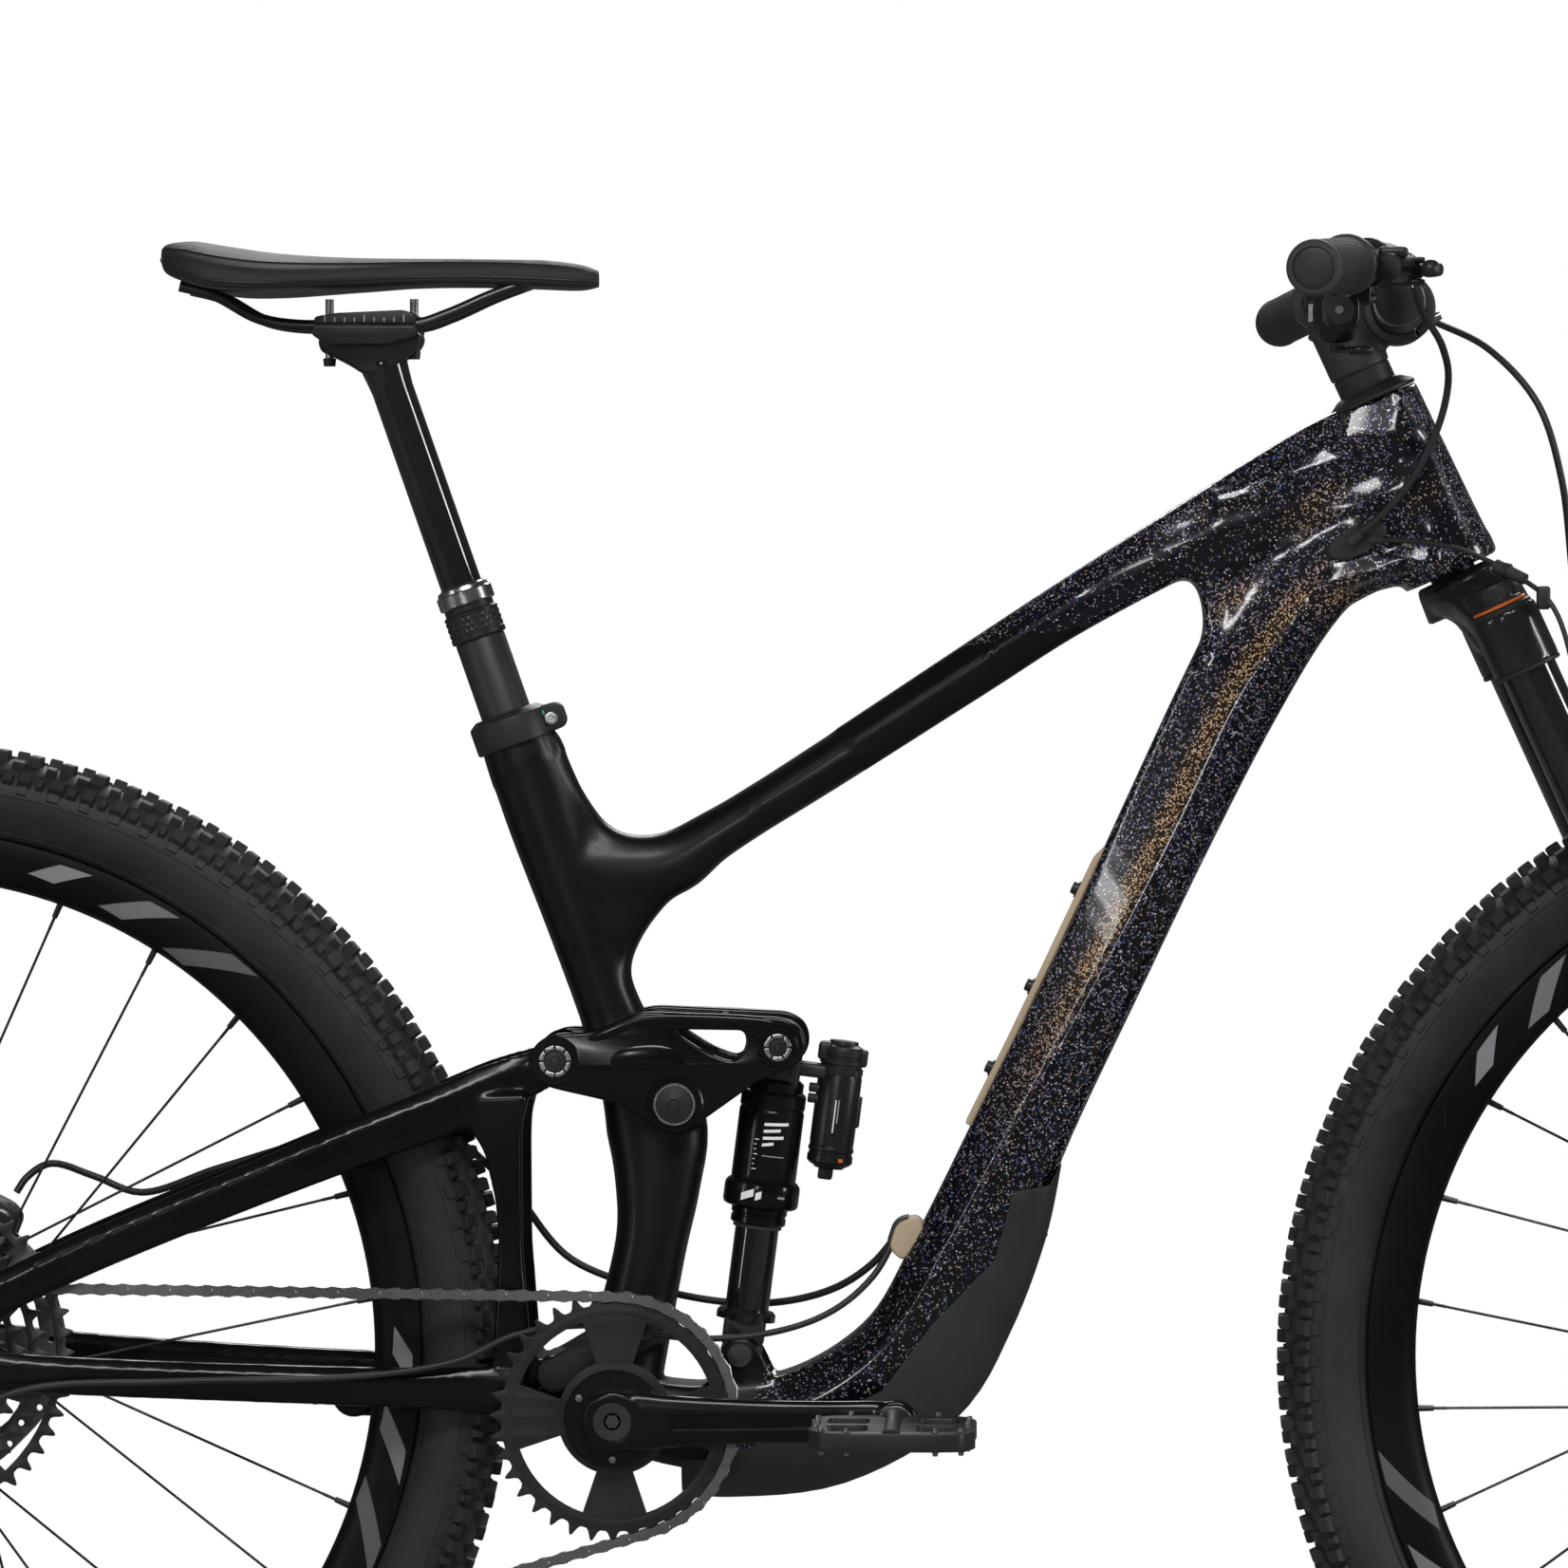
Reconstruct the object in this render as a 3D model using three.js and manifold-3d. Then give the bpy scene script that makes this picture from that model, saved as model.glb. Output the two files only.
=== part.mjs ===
import * as THREE from 'three';
import { mergeVertices } from 'three/addons/utils/BufferGeometryUtils.js';
import Module from 'manifold-3d';

const wasm = await Module();
wasm.setup();

// Millimetres. +X forward, +Z up, drive side at -Y, ground at Z 0 midway between the axles.
const gap = 0.3;
const merge = 0.15;
const boreGap = 0.5;
const wheelbase = 1210;
const tyreRadius = 372;
const axleHeight = tyreRadius;
const rearAxle = [-wheelbase / 2, axleHeight];
const frontAxle = [wheelbase / 2, axleHeight];
const bottomBracket = [-167, 337];

// Rear suspension pivots in side view
const rockerPivot = [-131.5, 525.2];
const stayPivot = [-203.8, 551.2];
const shockTopPivot = [-69.1, 559.9];
const shockLowPivot = [-93, 372];
const linkFramePivot = [-150, 390];
const linkStayPivot = [-205, 361];
const pivotPin = 5;
const openPivotPlay = 2.9;

// Steering
const headAngle = 24.56 * Math.PI / 180;
const headBottom = [338, 847];
const headLength = 114;
const headRadius = 27.5;
const steererRadius = 14.3;
const forkOffset = 45.4;
const forkLength = 543;
const forkTravel = 140;
const stanchionRadius = 17;
const stanchionAhead = 14;
const stanchionSide = 68;

// Seat post
const seatAngle = 19.3 * Math.PI / 180;
const collarCentre = [-233, 751];
const postOuter = 15.45;
const postInner = 12.75;
const postTravel = 125;

// Wheels
const rim = { outer: 318, inner: 288, half: 17.5, wall: 2.8, bed: 304 };
const tyreHalf = 30.5;
const spokeCount = 28;
const spokeRadius = 1.1;
const flangeRadius = 30;
const wheelSides = 28;

// Drivetrain
const pitch = 12.7;
const ringTeeth = 36;
const cogTeeth = [10, 12, 14, 16, 18, 21, 24, 28, 32, 38, 44, 52];
const cogStep = 3.6;
const cogWide = 1.8;
const cogFirst = -71.3;
const chainCog = 5;
const chainLine = cogFirst + cogStep * chainCog;
const chainHalf = 2.45;
const chainSlot = 1.25;
const chainTall = 3.9;
const guideWheel = [-585, 262];
const tensionWheel = [-572, 172];
const guideTeeth = 12;
const tensionTeeth = 14;
const crankLength = 170;
const crankOut = 64;

// Handlebar
const barCentre = [305, 1006];
const barRadius = 15.9;
const barEnd = 11.1;
const barHalf = 386;
const gripRadius = 16;
const gripIn = 256;

// Hoses and cables
const hoseRadius = 2.6;
const housingRadius = 2;
const sensorCable = 1.6;

const group = new THREE.Group();
const steering = new THREE.Group();
const post = new THREE.Group();
const shock = new THREE.Group();
const rearWheel = new THREE.Group();
const frontWheel = new THREE.Group();
group.add(steering, post, shock, rearWheel, frontWheel);
steering.position.set(headBottom[0], 0, headBottom[1]);
steering.rotation.y = -headAngle;
post.position.set(collarCentre[0], 0, collarCentre[1]);
post.rotation.y = -seatAngle;
const shockSpan = Math.hypot(shockTopPivot[0] - shockLowPivot[0], shockTopPivot[1] - shockLowPivot[1]);
const shockTilt = Math.atan2(shockTopPivot[0] - shockLowPivot[0], shockTopPivot[1] - shockLowPivot[1]);
shock.position.set(shockLowPivot[0], 0, shockLowPivot[1]);
shock.rotation.y = shockTilt;
rearWheel.position.set(rearAxle[0], 0, rearAxle[1]);
frontWheel.position.set(frontAxle[0], 0, frontAxle[1]);

const paint = (color, roughness, metalness) => new THREE.MeshStandardMaterial({ color, roughness,
  metalness });
const carbon = () => paint(0x0d1118, 0.25, 0.3);
const gloss = () => paint(0x0a0a0b, 0.2, 0.2);
const anodised = () => paint(0x17181a, 0.4, 0.6);
const grey = () => paint(0x4a4c4f, 0.4, 0.7);
const steel = () => paint(0xa9abae, 0.3, 0.9);
const rubber = () => paint(0x1b1a19, 0.85, 0);

function solid(geometry) {
  const plain = geometry.index ? geometry.clone() : mergeVertices(geometry);
  plain.deleteAttribute('normal');
  plain.deleteAttribute('uv');
  const welded = mergeVertices(plain, 1e-4);
  const at = welded.attributes.position.array;
  const kept = [];
  const index = welded.index.array;
  let volume = 0;
  for (let i = 0; i < index.length; i += 3) {
    const [a, b, c] = [index[i], index[i + 1], index[i + 2]];
    if (a === b || b === c || a === c) continue;
    kept.push(a, b, c);
    const [p, q, r] = [a, b, c].map(k => new THREE.Vector3(at[3 * k], at[3 * k + 1], at[3 * k + 2]));
    volume += p.dot(q.cross(r));
  }
  if (volume < 0) {
    for (let i = 0; i < kept.length; i += 3) [kept[i + 1], kept[i + 2]] = [kept[i + 2], kept[i + 1]];
  }
  const mesh = new wasm.Mesh({ numProp: 3, vertProperties: Float32Array.from(at),
    triVerts: Uint32Array.from(kept) });
  return new wasm.Manifold(mesh);
}

function add(name, body, material, parent = group) {
  const mesh = body.simplify(merge).getMesh();
  const geometry = new THREE.BufferGeometry();
  geometry.setAttribute('position', new THREE.BufferAttribute(Float32Array.from(mesh.vertProperties), 3));
  geometry.setIndex(Array.from(mesh.triVerts));
  geometry.computeVertexNormals();
  const node = new THREE.Mesh(geometry, material);
  node.name = name;
  parent.add(node);
  return node;
}

const join = (...parts) => parts.reduce((all, part) => all.add(part));
const cut = (body, ...tools) => tools.reduce((left, tool) => left.subtract(tool), body);
const mirrored = body => body.mirror([0, 1, 0]);
const both = body => join(body, mirrored(body));

const sidesFor = radius => radius < 6 ? 8 : radius < 12 ? 10 : radius < 18 ? 12 : 14;
// Radius of a hole whose flats still clear a shaft turning in it
const holeFor = radius => (radius + gap) / Math.cos(Math.PI / sidesFor(radius));
function rod(from, to, radius, radiusTo = radius, sides = sidesFor(Math.max(radius, radiusTo))) {
  const [a, b] = [new THREE.Vector3(...from), new THREE.Vector3(...to)];
  const length = a.distanceTo(b);
  const geometry = new THREE.CylinderGeometry(radiusTo, radius, length, sides);
  const turn = new THREE.Quaternion().setFromUnitVectors(new THREE.Vector3(0, 1, 0),
    b.clone().sub(a).normalize());
  geometry.applyQuaternion(turn);
  geometry.translate(...a.add(b).multiplyScalar(0.5).toArray());
  return solid(geometry);
}

const across = ([x, z], radius, from, to, sides) => rod([x, from, z], [x, to, z], radius, radius, sides);
const upright = (radius, from, to, x = 0, y = 0) => rod([x, y, from], [x, y, to], radius);

function box(x0, x1, y0, y1, z0, z1) {
  const geometry = new THREE.BoxGeometry(x1 - x0, y1 - y0, z1 - z0);
  geometry.translate((x0 + x1) / 2, (y0 + y1) / 2, (z0 + z1) / 2);
  return solid(geometry);
}

// A flat outline in side view, given its thickness along Y
function slab(points, from, to, holes = []) {
  const outline = points.map(([x, z]) => new THREE.Vector2(x, z));
  if (THREE.ShapeUtils.isClockWise(outline)) outline.reverse();
  const shape = new THREE.Shape(outline);
  for (const hole of holes) shape.holes.push(new THREE.Path(hole.map(([x, z]) => new THREE.Vector2(x, z))));
  const geometry = new THREE.ExtrudeGeometry(shape, { depth: to - from, bevelEnabled: false,
    curveSegments: 12 });
  geometry.rotateX(Math.PI / 2);
  geometry.translate(0, to, 0);
  return solid(geometry);
}

function turned(profile, sides = 24) {
  const points = profile.map(([radius, y]) => new THREE.Vector2(radius, y));
  points.push(points[0].clone());
  return solid(new THREE.LatheGeometry(points, sides));
}

// Rings of a rounded section through a row of stations [x, y, z, half tall, half wide], closed at both ends
function loft(stations, sides = 12, squareness = 2.4, sideways = [0, 1, 0]) {
  const positions = [];
  const index = [];
  const wide = new THREE.Vector3(...sideways);
  const centres = stations.map(s => new THREE.Vector3(s[0], s[1], s[2]));
  stations.forEach((station, i) => {
    const before = centres[Math.max(0, i - 1)];
    const after = centres[Math.min(stations.length - 1, i + 1)];
    const along = after.clone().sub(before).normalize();
    const tall = along.clone().cross(wide).normalize();
    const level = tall.clone().cross(along).normalize();
    for (let k = 0; k < sides; k++) {
      const angle = 2 * Math.PI * k / sides;
      const [c, s] = [Math.cos(angle), Math.sin(angle)];
      const up = station[3] * Math.sign(s) * Math.abs(s) ** (2 / squareness);
      const out = station[4] * Math.sign(c) * Math.abs(c) ** (2 / squareness);
      positions.push(...centres[i].clone().addScaledVector(tall, up).addScaledVector(level, out).toArray());
    }
  });
  for (let i = 0; i + 1 < stations.length; i++) {
    for (let k = 0; k < sides; k++) {
      const [a, b] = [i * sides + k, i * sides + (k + 1) % sides];
      index.push(a, b, b + sides, a, b + sides, a + sides);
    }
  }
  const last = (stations.length - 1) * sides;
  for (let k = 1; k + 1 < sides; k++) {
    index.push(0, k + 1, k, last, last + k, last + k + 1);
  }
  const geometry = new THREE.BufferGeometry();
  geometry.setAttribute('position', new THREE.Float32BufferAttribute(positions, 3));
  geometry.setIndex(index);
  return solid(geometry);
}

function cord(points, radius, sides = 8, every = 2.9, grown = 0) {
  const curve = new THREE.CatmullRomCurve3(points.map(p => new THREE.Vector3(...p)), false, 'centripetal');
  const shape = new THREE.Shape(Array.from({ length: sides }, (_, k) => {
    const angle = 2 * Math.PI * k / sides;
    return new THREE.Vector2((radius + grown) * Math.cos(angle), (radius + grown) * Math.sin(angle));
  }));
  const steps = Math.max(4, Math.round(curve.getLength() / (every * 2 * radius)));
  return solid(new THREE.ExtrudeGeometry(shape, { steps, extrudePath: curve, bevelEnabled: false }));
}

const circle = (x, z, radius, sides) => Array.from({ length: sides }, (_, k) => {
  const angle = -2 * Math.PI * k / sides;
  return [x + radius * Math.cos(angle), z + radius * Math.sin(angle)];
});

const along = (axis, t, x = 0) => [
  axis.at[0] - t * Math.sin(axis.tilt) + x * Math.cos(axis.tilt),
  axis.at[1] + t * Math.cos(axis.tilt) + x * Math.sin(axis.tilt)
];
const seatAxis = { at: collarCentre, tilt: seatAngle };
const steerAxis = { at: headBottom, tilt: headAngle };
const flat = ([x, z], y = 0) => [x, y, z];

// Front frame: one moulded shell of tubes, with bores for what passes through it
const seatBore = holeFor(postOuter);
const seatTop = 10;
const seatRadius = 20;
const postDepth = 215;
const bossHalf = 32;
const linkIn = 30.5;
const linkOut = 36.5;
const shellHalf = 36.5;
const shellRadius = 24;
const cupRadius = 20;
const spindleRadius = 14;
const headTop = along(steerAxis, headLength);

const seatTube = loft([
  [...flat(along(seatAxis, seatTop)), seatRadius, seatRadius],
  [...flat(along(seatAxis, -16)), 22, 21],
  [...flat(along(seatAxis, -60)), 22.5, 21],
  [...flat(along(seatAxis, -120)), 20.5, 21],
  [...flat(along(seatAxis, -175)), 19.5, 21],
  [-160, 0, 550, 23, 22],
  [-145, 0, 512, 31, 24],
  [-144, 0, 473, 26, 25],
  [-148, 0, 438, 22, 25],
  [-158, 0, 390, 23, 26],
  [-166, 0, 350, 24, 32],
  [-167, 0, 325, 22, 34]
], 8, 2.3);
const topTube = loft([
  [-196, 0, 668, 18, 17],
  [-141, 0, 668, 20, 18],
  [-112, 0, 683, 17, 18],
  [-85, 0, 700, 15.5, 18.5],
  [-41, 0, 729.5, 15.2, 19],
  [46, 0, 786, 16.2, 20.5],
  [112, 0, 828.5, 17, 22],
  [200, 0, 879, 22, 24],
  [262, 0, 908, 30, 26],
  [304, 0, 921, 36, 25]
], 8, 2.8);
const downTube = loft([
  [303, 0, 915, 22, 22],
  [292, 0, 889, 36, 26],
  [250, 0, 838, 39, 27],
  [206, 0, 776, 31, 28],
  [164, 0, 690, 29, 29],
  [123.5, 0, 603, 28, 29.5],
  [81.5, 0, 516, 29, 30.5],
  [43, 0, 430, 32.5, 32],
  [8, 0, 371, 32, 33],
  [-48, 0, 336, 29, 34],
  [-110, 0, 327, 26, 35],
  [-168, 0, 336, 22, 35]
], 8, 2.9);
const headTube = join(
  rod(flat(headBottom), flat(headTop), headRadius + 2, headRadius),
  rod(flat(along(steerAxis, 0)), flat(along(steerAxis, 14)), headRadius + 3, headRadius + 2)
);
const gusset = slab([
  [-53.5, 712.7], [-111.3, 675.1], [-140.2, 654.9], [-156.4, 640.5], [-164.5, 623.1], [-166.2, 605.8],
    [-162, 585],
  [-185, 570], [-205, 660], [-120, 690]
], -14, 14);
const seatWeb = slab([
  [-203, 745], [-190.5, 716], [-178, 697], [-168, 689], [-152, 686], [-130, 686], [-150, 660], [-210, 680]
], -11, 11);
const shockEars = both(slab([[-124, 330], [-106, 372], [-99, 383], [-87, 383], [-80, 374], [-62, 334]],
  15.4, 22));
const pivotBore = 8;
let frame = join(
  seatTube, topTube, downTube, headTube, gusset, seatWeb, shockEars,
  across(bottomBracket, shellRadius, -shellHalf, shellHalf),
  across(rockerPivot, 17, -bossHalf, bossHalf),
  across(linkFramePivot, 13, -linkIn + gap, linkIn - gap)
);
frame = cut(
  frame,
  rod(flat(along(steerAxis, headLength)), flat(along(steerAxis, headLength + 40)), 60),
  rod(flat(along(steerAxis, -40)), flat(along(steerAxis, 0)), 52),
  rod(flat(along(seatAxis, -postDepth - 1)), flat(along(seatAxis, seatTop + 5)), seatBore, seatBore),
  rod(flat(along(steerAxis, -5)), flat(along(steerAxis, headLength + 5)), holeFor(steererRadius)),
  rod(flat(along(steerAxis, 16)), flat(along(steerAxis, headLength - 16)), steererRadius + 5),
  across(bottomBracket, cupRadius + gap, -shellHalf - 1, shellHalf + 1),
  across(rockerPivot, holeFor(pivotBore), -60, 60)
);
const fixedPins = join(
  across(linkFramePivot, pivotPin + 1, -linkOut - 1, linkOut + 1),
  both(across(linkFramePivot, 8.5, linkOut + gap, linkOut + 2.5)),
  across(shockLowPivot, pivotPin, -23, 23),
  both(across(shockLowPivot, 8, 21.5, 25))
);
frame = join(frame, fixedPins);
add('front_frame', frame, carbon());

// Bottom bracket: two bearing cups on one sleeve
add('bottom_bracket', cut(
  join(across(bottomBracket, cupRadius, -shellHalf - 1, shellHalf + 1),
    both(across(bottomBracket, 21.5, shellHalf + gap, shellHalf + 8))),
  across(bottomBracket, holeFor(spindleRadius), -60, 60)
), anodised());

// Seat collar with its clamp bolt, in the post's own frame: Z along the post
const collarRadius = 24.5;
const collarLow = -14;
const collarHigh = 16;
const clampEars = box(16, 33, -7, 7, -8, 10);
let collar = join(upright(collarRadius, collarLow, collarHigh), clampEars);
collar = cut(
  collar,
  upright(23.4, collarLow - 1, seatTop + gap),
  upright(seatBore, collarLow - 1, collarHigh + 1),
  box(20, 40, -1, 1, collarLow - 1, collarHigh + 1)
);
add('seat_collar', join(collar, rod([28, -12, 1], [28, 12, 1], 3.4)), anodised(), post);

const sealLow = 59;
const sealMid = 75.5;
const sealHigh = 92.5;
const innerBottom = postTravel - postDepth + 35;
const innerTop = sealHigh + postTravel + 32.5;
add('dropper_outer_tube', cut(
  join(upright(postOuter, -postDepth, sealLow), upright(17, sealLow, sealMid),
    upright(16.2, sealMid, sealHigh)),
  upright(holeFor(postInner), -postDepth - 1, sealHigh + 1)
), anodised(), post);
add('dropper_inner_tube', join(
  cut(upright(postInner, innerBottom, innerTop - 18), upright(postInner - 2, innerBottom - 1, innerTop - 40)),
  upright(15, innerTop - 30, innerTop - 12)
), gloss(), post);

// Saddle clamp and rails, in world axes at the top of the post
const clampAt = along(seatAxis, innerTop - 5);
const railGauge = 22;
const railRadius = 3.5;
const railLevel = 996.5;
const cradleLow = 981;
const railPoints = [
  [-432, 30, 1020], [-410, 28, 1014], [-386, 23, 1001], [-362, railGauge, railLevel],
    [-330, railGauge, railLevel],
  [-292, railGauge, railLevel], [-270, 20.5, 1003], [-245, 17, 1014], [-226, 13, 1021], [-218, 0, 1023]
];
const railLoop = [...railPoints, ...railPoints.slice(0, -1).reverse().map(([x, y, z]) => [x, -y, z])];
const rails = cord(railLoop, railRadius);
const railsRoom = cord(railLoop, railRadius, 8, 2.9, gap + 0.05);
const cradle = slab([
  [-352, railLevel], [-352, 988], [-338, cradleLow + 4], [-302, 980], [-288, 988], [-288, railLevel]
], -29, 29);
const topClamp = slab([
  [-352, railLevel + gap], [-288, railLevel + gap], [-292, 1006], [-302, 1009], [-340, 1009], [-350, 1004]
], -29, 29);
const clampBolts = join(
  rod([-344, 0, 972], [-344, 0, 1012], 3.6),
  rod([-291, 0, 978], [-291, 0, 1012], 3.6)
);
const headTopHole = rod(flat(along(seatAxis, innerTop - 31)), flat(along(seatAxis, innerTop - 11.6)), 15.4,
  15.4);
add('saddle_clamp', join(cut(join(cradle, topClamp), railsRoom, headTopHole), clampBolts), anodised());
add('saddle_rails', rails, steel());

// Saddle: base and padded cover as one crowned form
const saddleRings = [
  [-446, 8, 30, 1034, 1044], [-440, 36, 30, 1027, 1047], [-424, 62, 28, 1022, 1048],
    [-404, 71, 26, 1019, 1045],
  [-376, 69, 25, 1019, 1041], [-348, 58, 24, 1019, 1039], [-320, 43, 23, 1019, 1038],
    [-290, 31, 22, 1020, 1038],
  [-255, 24, 21, 1020, 1038], [-220, 20, 18, 1019, 1037], [-192, 17, 14, 1018, 1034], [-180, 9, 8, 1020, 1030]
];
function saddleForm() {
  const sides = 12;
  const positions = [];
  const index = [];
  for (const [x, half, , low, high] of saddleRings) {
    for (let k = 0; k < sides; k++) {
      const angle = 2 * Math.PI * k / sides;
      const [c, s] = [Math.cos(angle), Math.sin(angle)];
      const y = half * Math.sign(c) * Math.abs(c) ** 0.8;
      const mid = low + (high - low) * 0.35;
      const crown = s > 0 ? (high - mid) * s ** 0.7 : -(mid - low) * (-s) ** 0.6;
      const skirt = -7 * (Math.abs(y) / 71) ** 2;
      positions.push(x, y, mid + crown + skirt);
    }
  }
  for (let i = 0; i + 1 < saddleRings.length; i++) {
    for (let k = 0; k < sides; k++) {
      const [a, b] = [i * sides + k, i * sides + (k + 1) % sides];
      index.push(a, b, b + sides, a, b + sides, a + sides);
    }
  }
  const last = (saddleRings.length - 1) * sides;
  for (let k = 1; k + 1 < sides; k++) index.push(0, k + 1, k, last, last + k, last + k + 1);
  const geometry = new THREE.BufferGeometry();
  geometry.setAttribute('position', new THREE.Float32BufferAttribute(positions, 3));
  geometry.setIndex(index);
  return solid(geometry);
}
add('saddle', cut(saddleForm(), railsRoom), rubber());

// Routes of the hoses and cables, with the room each needs where it passes through something
const cords = {
  cockpit_hose: [hoseRadius, [[301, -196.2, 1021.3], [302, -184, 1020], [306, -168, 1016], [314, -130, 999],
    [328, -84, 980], [333, -52, 960], [328, -41, 935], [312, -37, 902], [294, -36, 881], [279, -34, 868]]],
  front_brake_hose: [hoseRadius, [[301, 196.2, 1021.3], [302, 184, 1020], [308, 166, 1016], [334, 130, 1003],
    [366, 92, 984], [394, 70, 950], [408, 66, 905], [415, 74, 850], [421, 90, 790], [432, 96, 715],
      [446, 96, 640],
    [454, 95, 570], [464, 86, 508], [476, 66, 468], [486, 50, 456], [493, 37, 442], [502.4, 33, 433.2],
      [513, 33, 427.7]]],
  fork_sensor_cable: [sensorCable, [[293, -33, 866], [312, -44, 865], [340, -54, 860], [366, -66, 848],
    [392, -88, 828], [405, -96, 790], [413, -95, 720], [433.9, -92.5, 670.9], [452, -92.5, 631.2]]],
  rear_brake_hose: [hoseRadius, [[4, 8, 446], [-14, 18, 424], [-40, 30, 407], [-80, 39, 398],
    [-130, 43.5, 402],
    [-200, 46, 424], [-240, 50, 470], [-280, 58, 500], [-340, 66, 500], [-420, 70, 478], [-470, 76, 462],
    [-500, 78, 472], [-526, 74, 480], [-540, 66, 472], [-546, 62, 463]]],
  derailleur_housing: [housingRadius, [[2, -8, 444], [-12, -18, 420], [-36, -30, 400], [-70, -39, 388],
    [-120, -43.5, 384],
    [-180, -46, 392], [-228, -47.5, 386], [-262, -52, 371], [-320, -60, 362], [-430, -76, 360],
      [-520, -90, 356],
    [-568, -97, 334]]]
};

// Down tube trim: accessory rail, guard, port gaskets
const upperEdge = [[125.6, 672], [93, 603], [72, 559], [50.5, 519]];
const railStrip = slab([
  [133, 679], [129, 681], ...upperEdge.map(([x, z]) => [x - 6, z + 3]), [44, 513], [50, 509],
  ...upperEdge.map(([x, z]) => [x + 3, z - 1.4]).reverse()
], -9, 9);
const railBolts = [[110.2, 652], [85.3, 593], [58.1, 543.3]].map(([x, z]) =>
  rod([x, 0, z], [x - 10, 0, z + 4.6], 4));
const clearOfFrame = body => cut(body, downTube.translate([-gap, 0, gap]),
  downTube.translate([gap, 0, -gap]), downTube);
add('bottle_rail', clearOfFrame(join(railStrip, ...railBolts)), paint(0xb09a7c, 0.5, 0.1));

const guardShell = loft([
  [92, 0, 486, 27, 27], [72, 0, 446, 31, 29], [46, 0, 398, 34, 31], [14, 0, 356, 34, 32],
    [-40, 0, 322, 31, 33],
  [-100, 0, 312, 28, 33], [-128, 0, 311, 24, 31]
], 8, 2.9);
add('downtube_guard', cut(
  guardShell, downTube, downTube.translate([-gap, 0, gap]), downTube.translate([gap, 0, -gap]),
  slab([[40, 560], [76, 486], [24, 392], [-6, 352], [-48, 330], [-170, 330], [-170, 600]], -60, 60),
  across(bottomBracket, shellRadius + 1, -60, 60)
), paint(0x2e3033, 0.6, 0.1));

const sidePort = cut(
  slab([[262, 862], [266, 854], [290, 866], [299, 874], [296, 882], [272, 872]], 24, 31),
  frame, frame.translate([0, gap, 0])
);
const shelfPort = cut(
  slab([[2, 455], [20, 462], [32, 452], [10, 424], [-4, 436]], -14, 14),
  frame, frame.translate([-gap, 0, gap])
);
add('head_port', mirrored(sidePort), rubber());
const portHoles = [
  rod([16, 8, 460], [3, 8, 445], hoseRadius + 2 * gap), rod([7, 6.3, 449.7], [-14, 18, 424],
    hoseRadius + 3 * gap),
  rod([14, -8, 458], [1, -8, 443], housingRadius + 2 * gap), rod([4, -6, 448.8], [-12, -18, 420],
    housingRadius + 1.6)
];
add('shelf_port', cut(shelfPort, ...portHoles), rubber());

// Rocker link: two plates tied by a bridge and the shock pin, turning on the main axle
const plateIn = 33;
const plateOut = 41;
const rockerOutline = [
  [-221, 545], [-217, 560], [-204, 568.5], [-183.5, 568.2], [-156.4, 579.8], [-146, 581.5], [-65, 578],
  [-54.6, 571.1], [-52.2, 559.5], [-56.4, 549.1], [-79.5, 540.5], [-105.5, 522], [-119.9, 511.6],
  [-133.2, 507.5], [-146, 513.3], [-163.3, 524.9], [-177.2, 528.3], [-203, 534], [-216, 538]
];
const rockerWindow = [[-126, 568], [-103, 554], [-96, 556], [-92.5, 567]];
const shockEyeHalf = 13;
const rockerPlate = slab(rockerOutline, plateIn, plateOut, [rockerWindow]);
const rocker = cut(
  join(both(rockerPlate),
    both(across(shockTopPivot, 9, shockEyeHalf + gap, plateIn + 1)),
    across([-101, 571], 5.5, -plateIn - 1, plateIn + 1)),
  across(rockerPivot, holeFor(pivotBore), -60, 60)
);
const stayPin = join(
  across(stayPivot, pivotPin, 24.8, plateOut + 1),
  across(stayPivot, 9.5, plateOut - 1, plateOut + 3)
);
add('rocker_link', join(
  rocker, both(stayPin),
  across(shockTopPivot, pivotPin, -plateOut - 1, plateOut + 1),
  both(across(shockTopPivot, 8.2, plateOut - 1, plateOut + 3))
), gloss());

// Main axle of the rocker, with a cap on each side
add('rocker_axle', join(
  across(rockerPivot, pivotBore, -plateOut - 1, plateOut + 1),
  both(rod([rockerPivot[0], plateOut + gap, rockerPivot[1]],
    [rockerPivot[0], plateOut + 4.5, rockerPivot[1]], 13, 10))
), grey());

// Shock, in its own frame: Z up from the lower eye
const bodyRadius = 19.8;
const shaftRadius = 13.3;
const shaftTop = 106;
const sealBottom = 78.6;
const canTop = 160;
const reservoirAt = 38.5;
let can = join(
  upright(16.8, sealBottom, 90), upright(23, 89, 107), upright(bodyRadius, 106, canTop),
  upright(17.5, canTop - 1, canTop + 8),
  box(-15, 15, -shockEyeHalf, shockEyeHalf, canTop, shockSpan),
  across([0, shockSpan], 15, -shockEyeHalf, shockEyeHalf),
  box(8, reservoirAt + 12, -11, 11, canTop + 2, canTop + 21),
  rod([reservoirAt, 0, 110], [reservoirAt, 0, canTop + 4], 13.6, 13.6),
  rod([reservoirAt, 0, 104], [reservoirAt, 0, 111], 9, 12.5),
  rod([reservoirAt - 12, -6, 150], [reservoirAt - 17, -6, 150], 5)
);
can = cut(can, upright(holeFor(shaftRadius), sealBottom - 1, canTop - 1),
  across([0, shockSpan], holeFor(pivotPin), -30, 30));
add('shock_body', can, anodised(), shock);
const eyePlay = holeFor(pivotPin + openPivotPlay);
add('shock_shaft', cut(
  join(upright(shaftRadius, 22, shaftTop), upright(18, 16, 26), box(-12.5, 12.5, -15, 15, 0, 20),
    across([0, 0], 12.5, -15, 15)),
  across([0, 0], eyePlay, -30, 30)
), steel(), shock);

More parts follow.
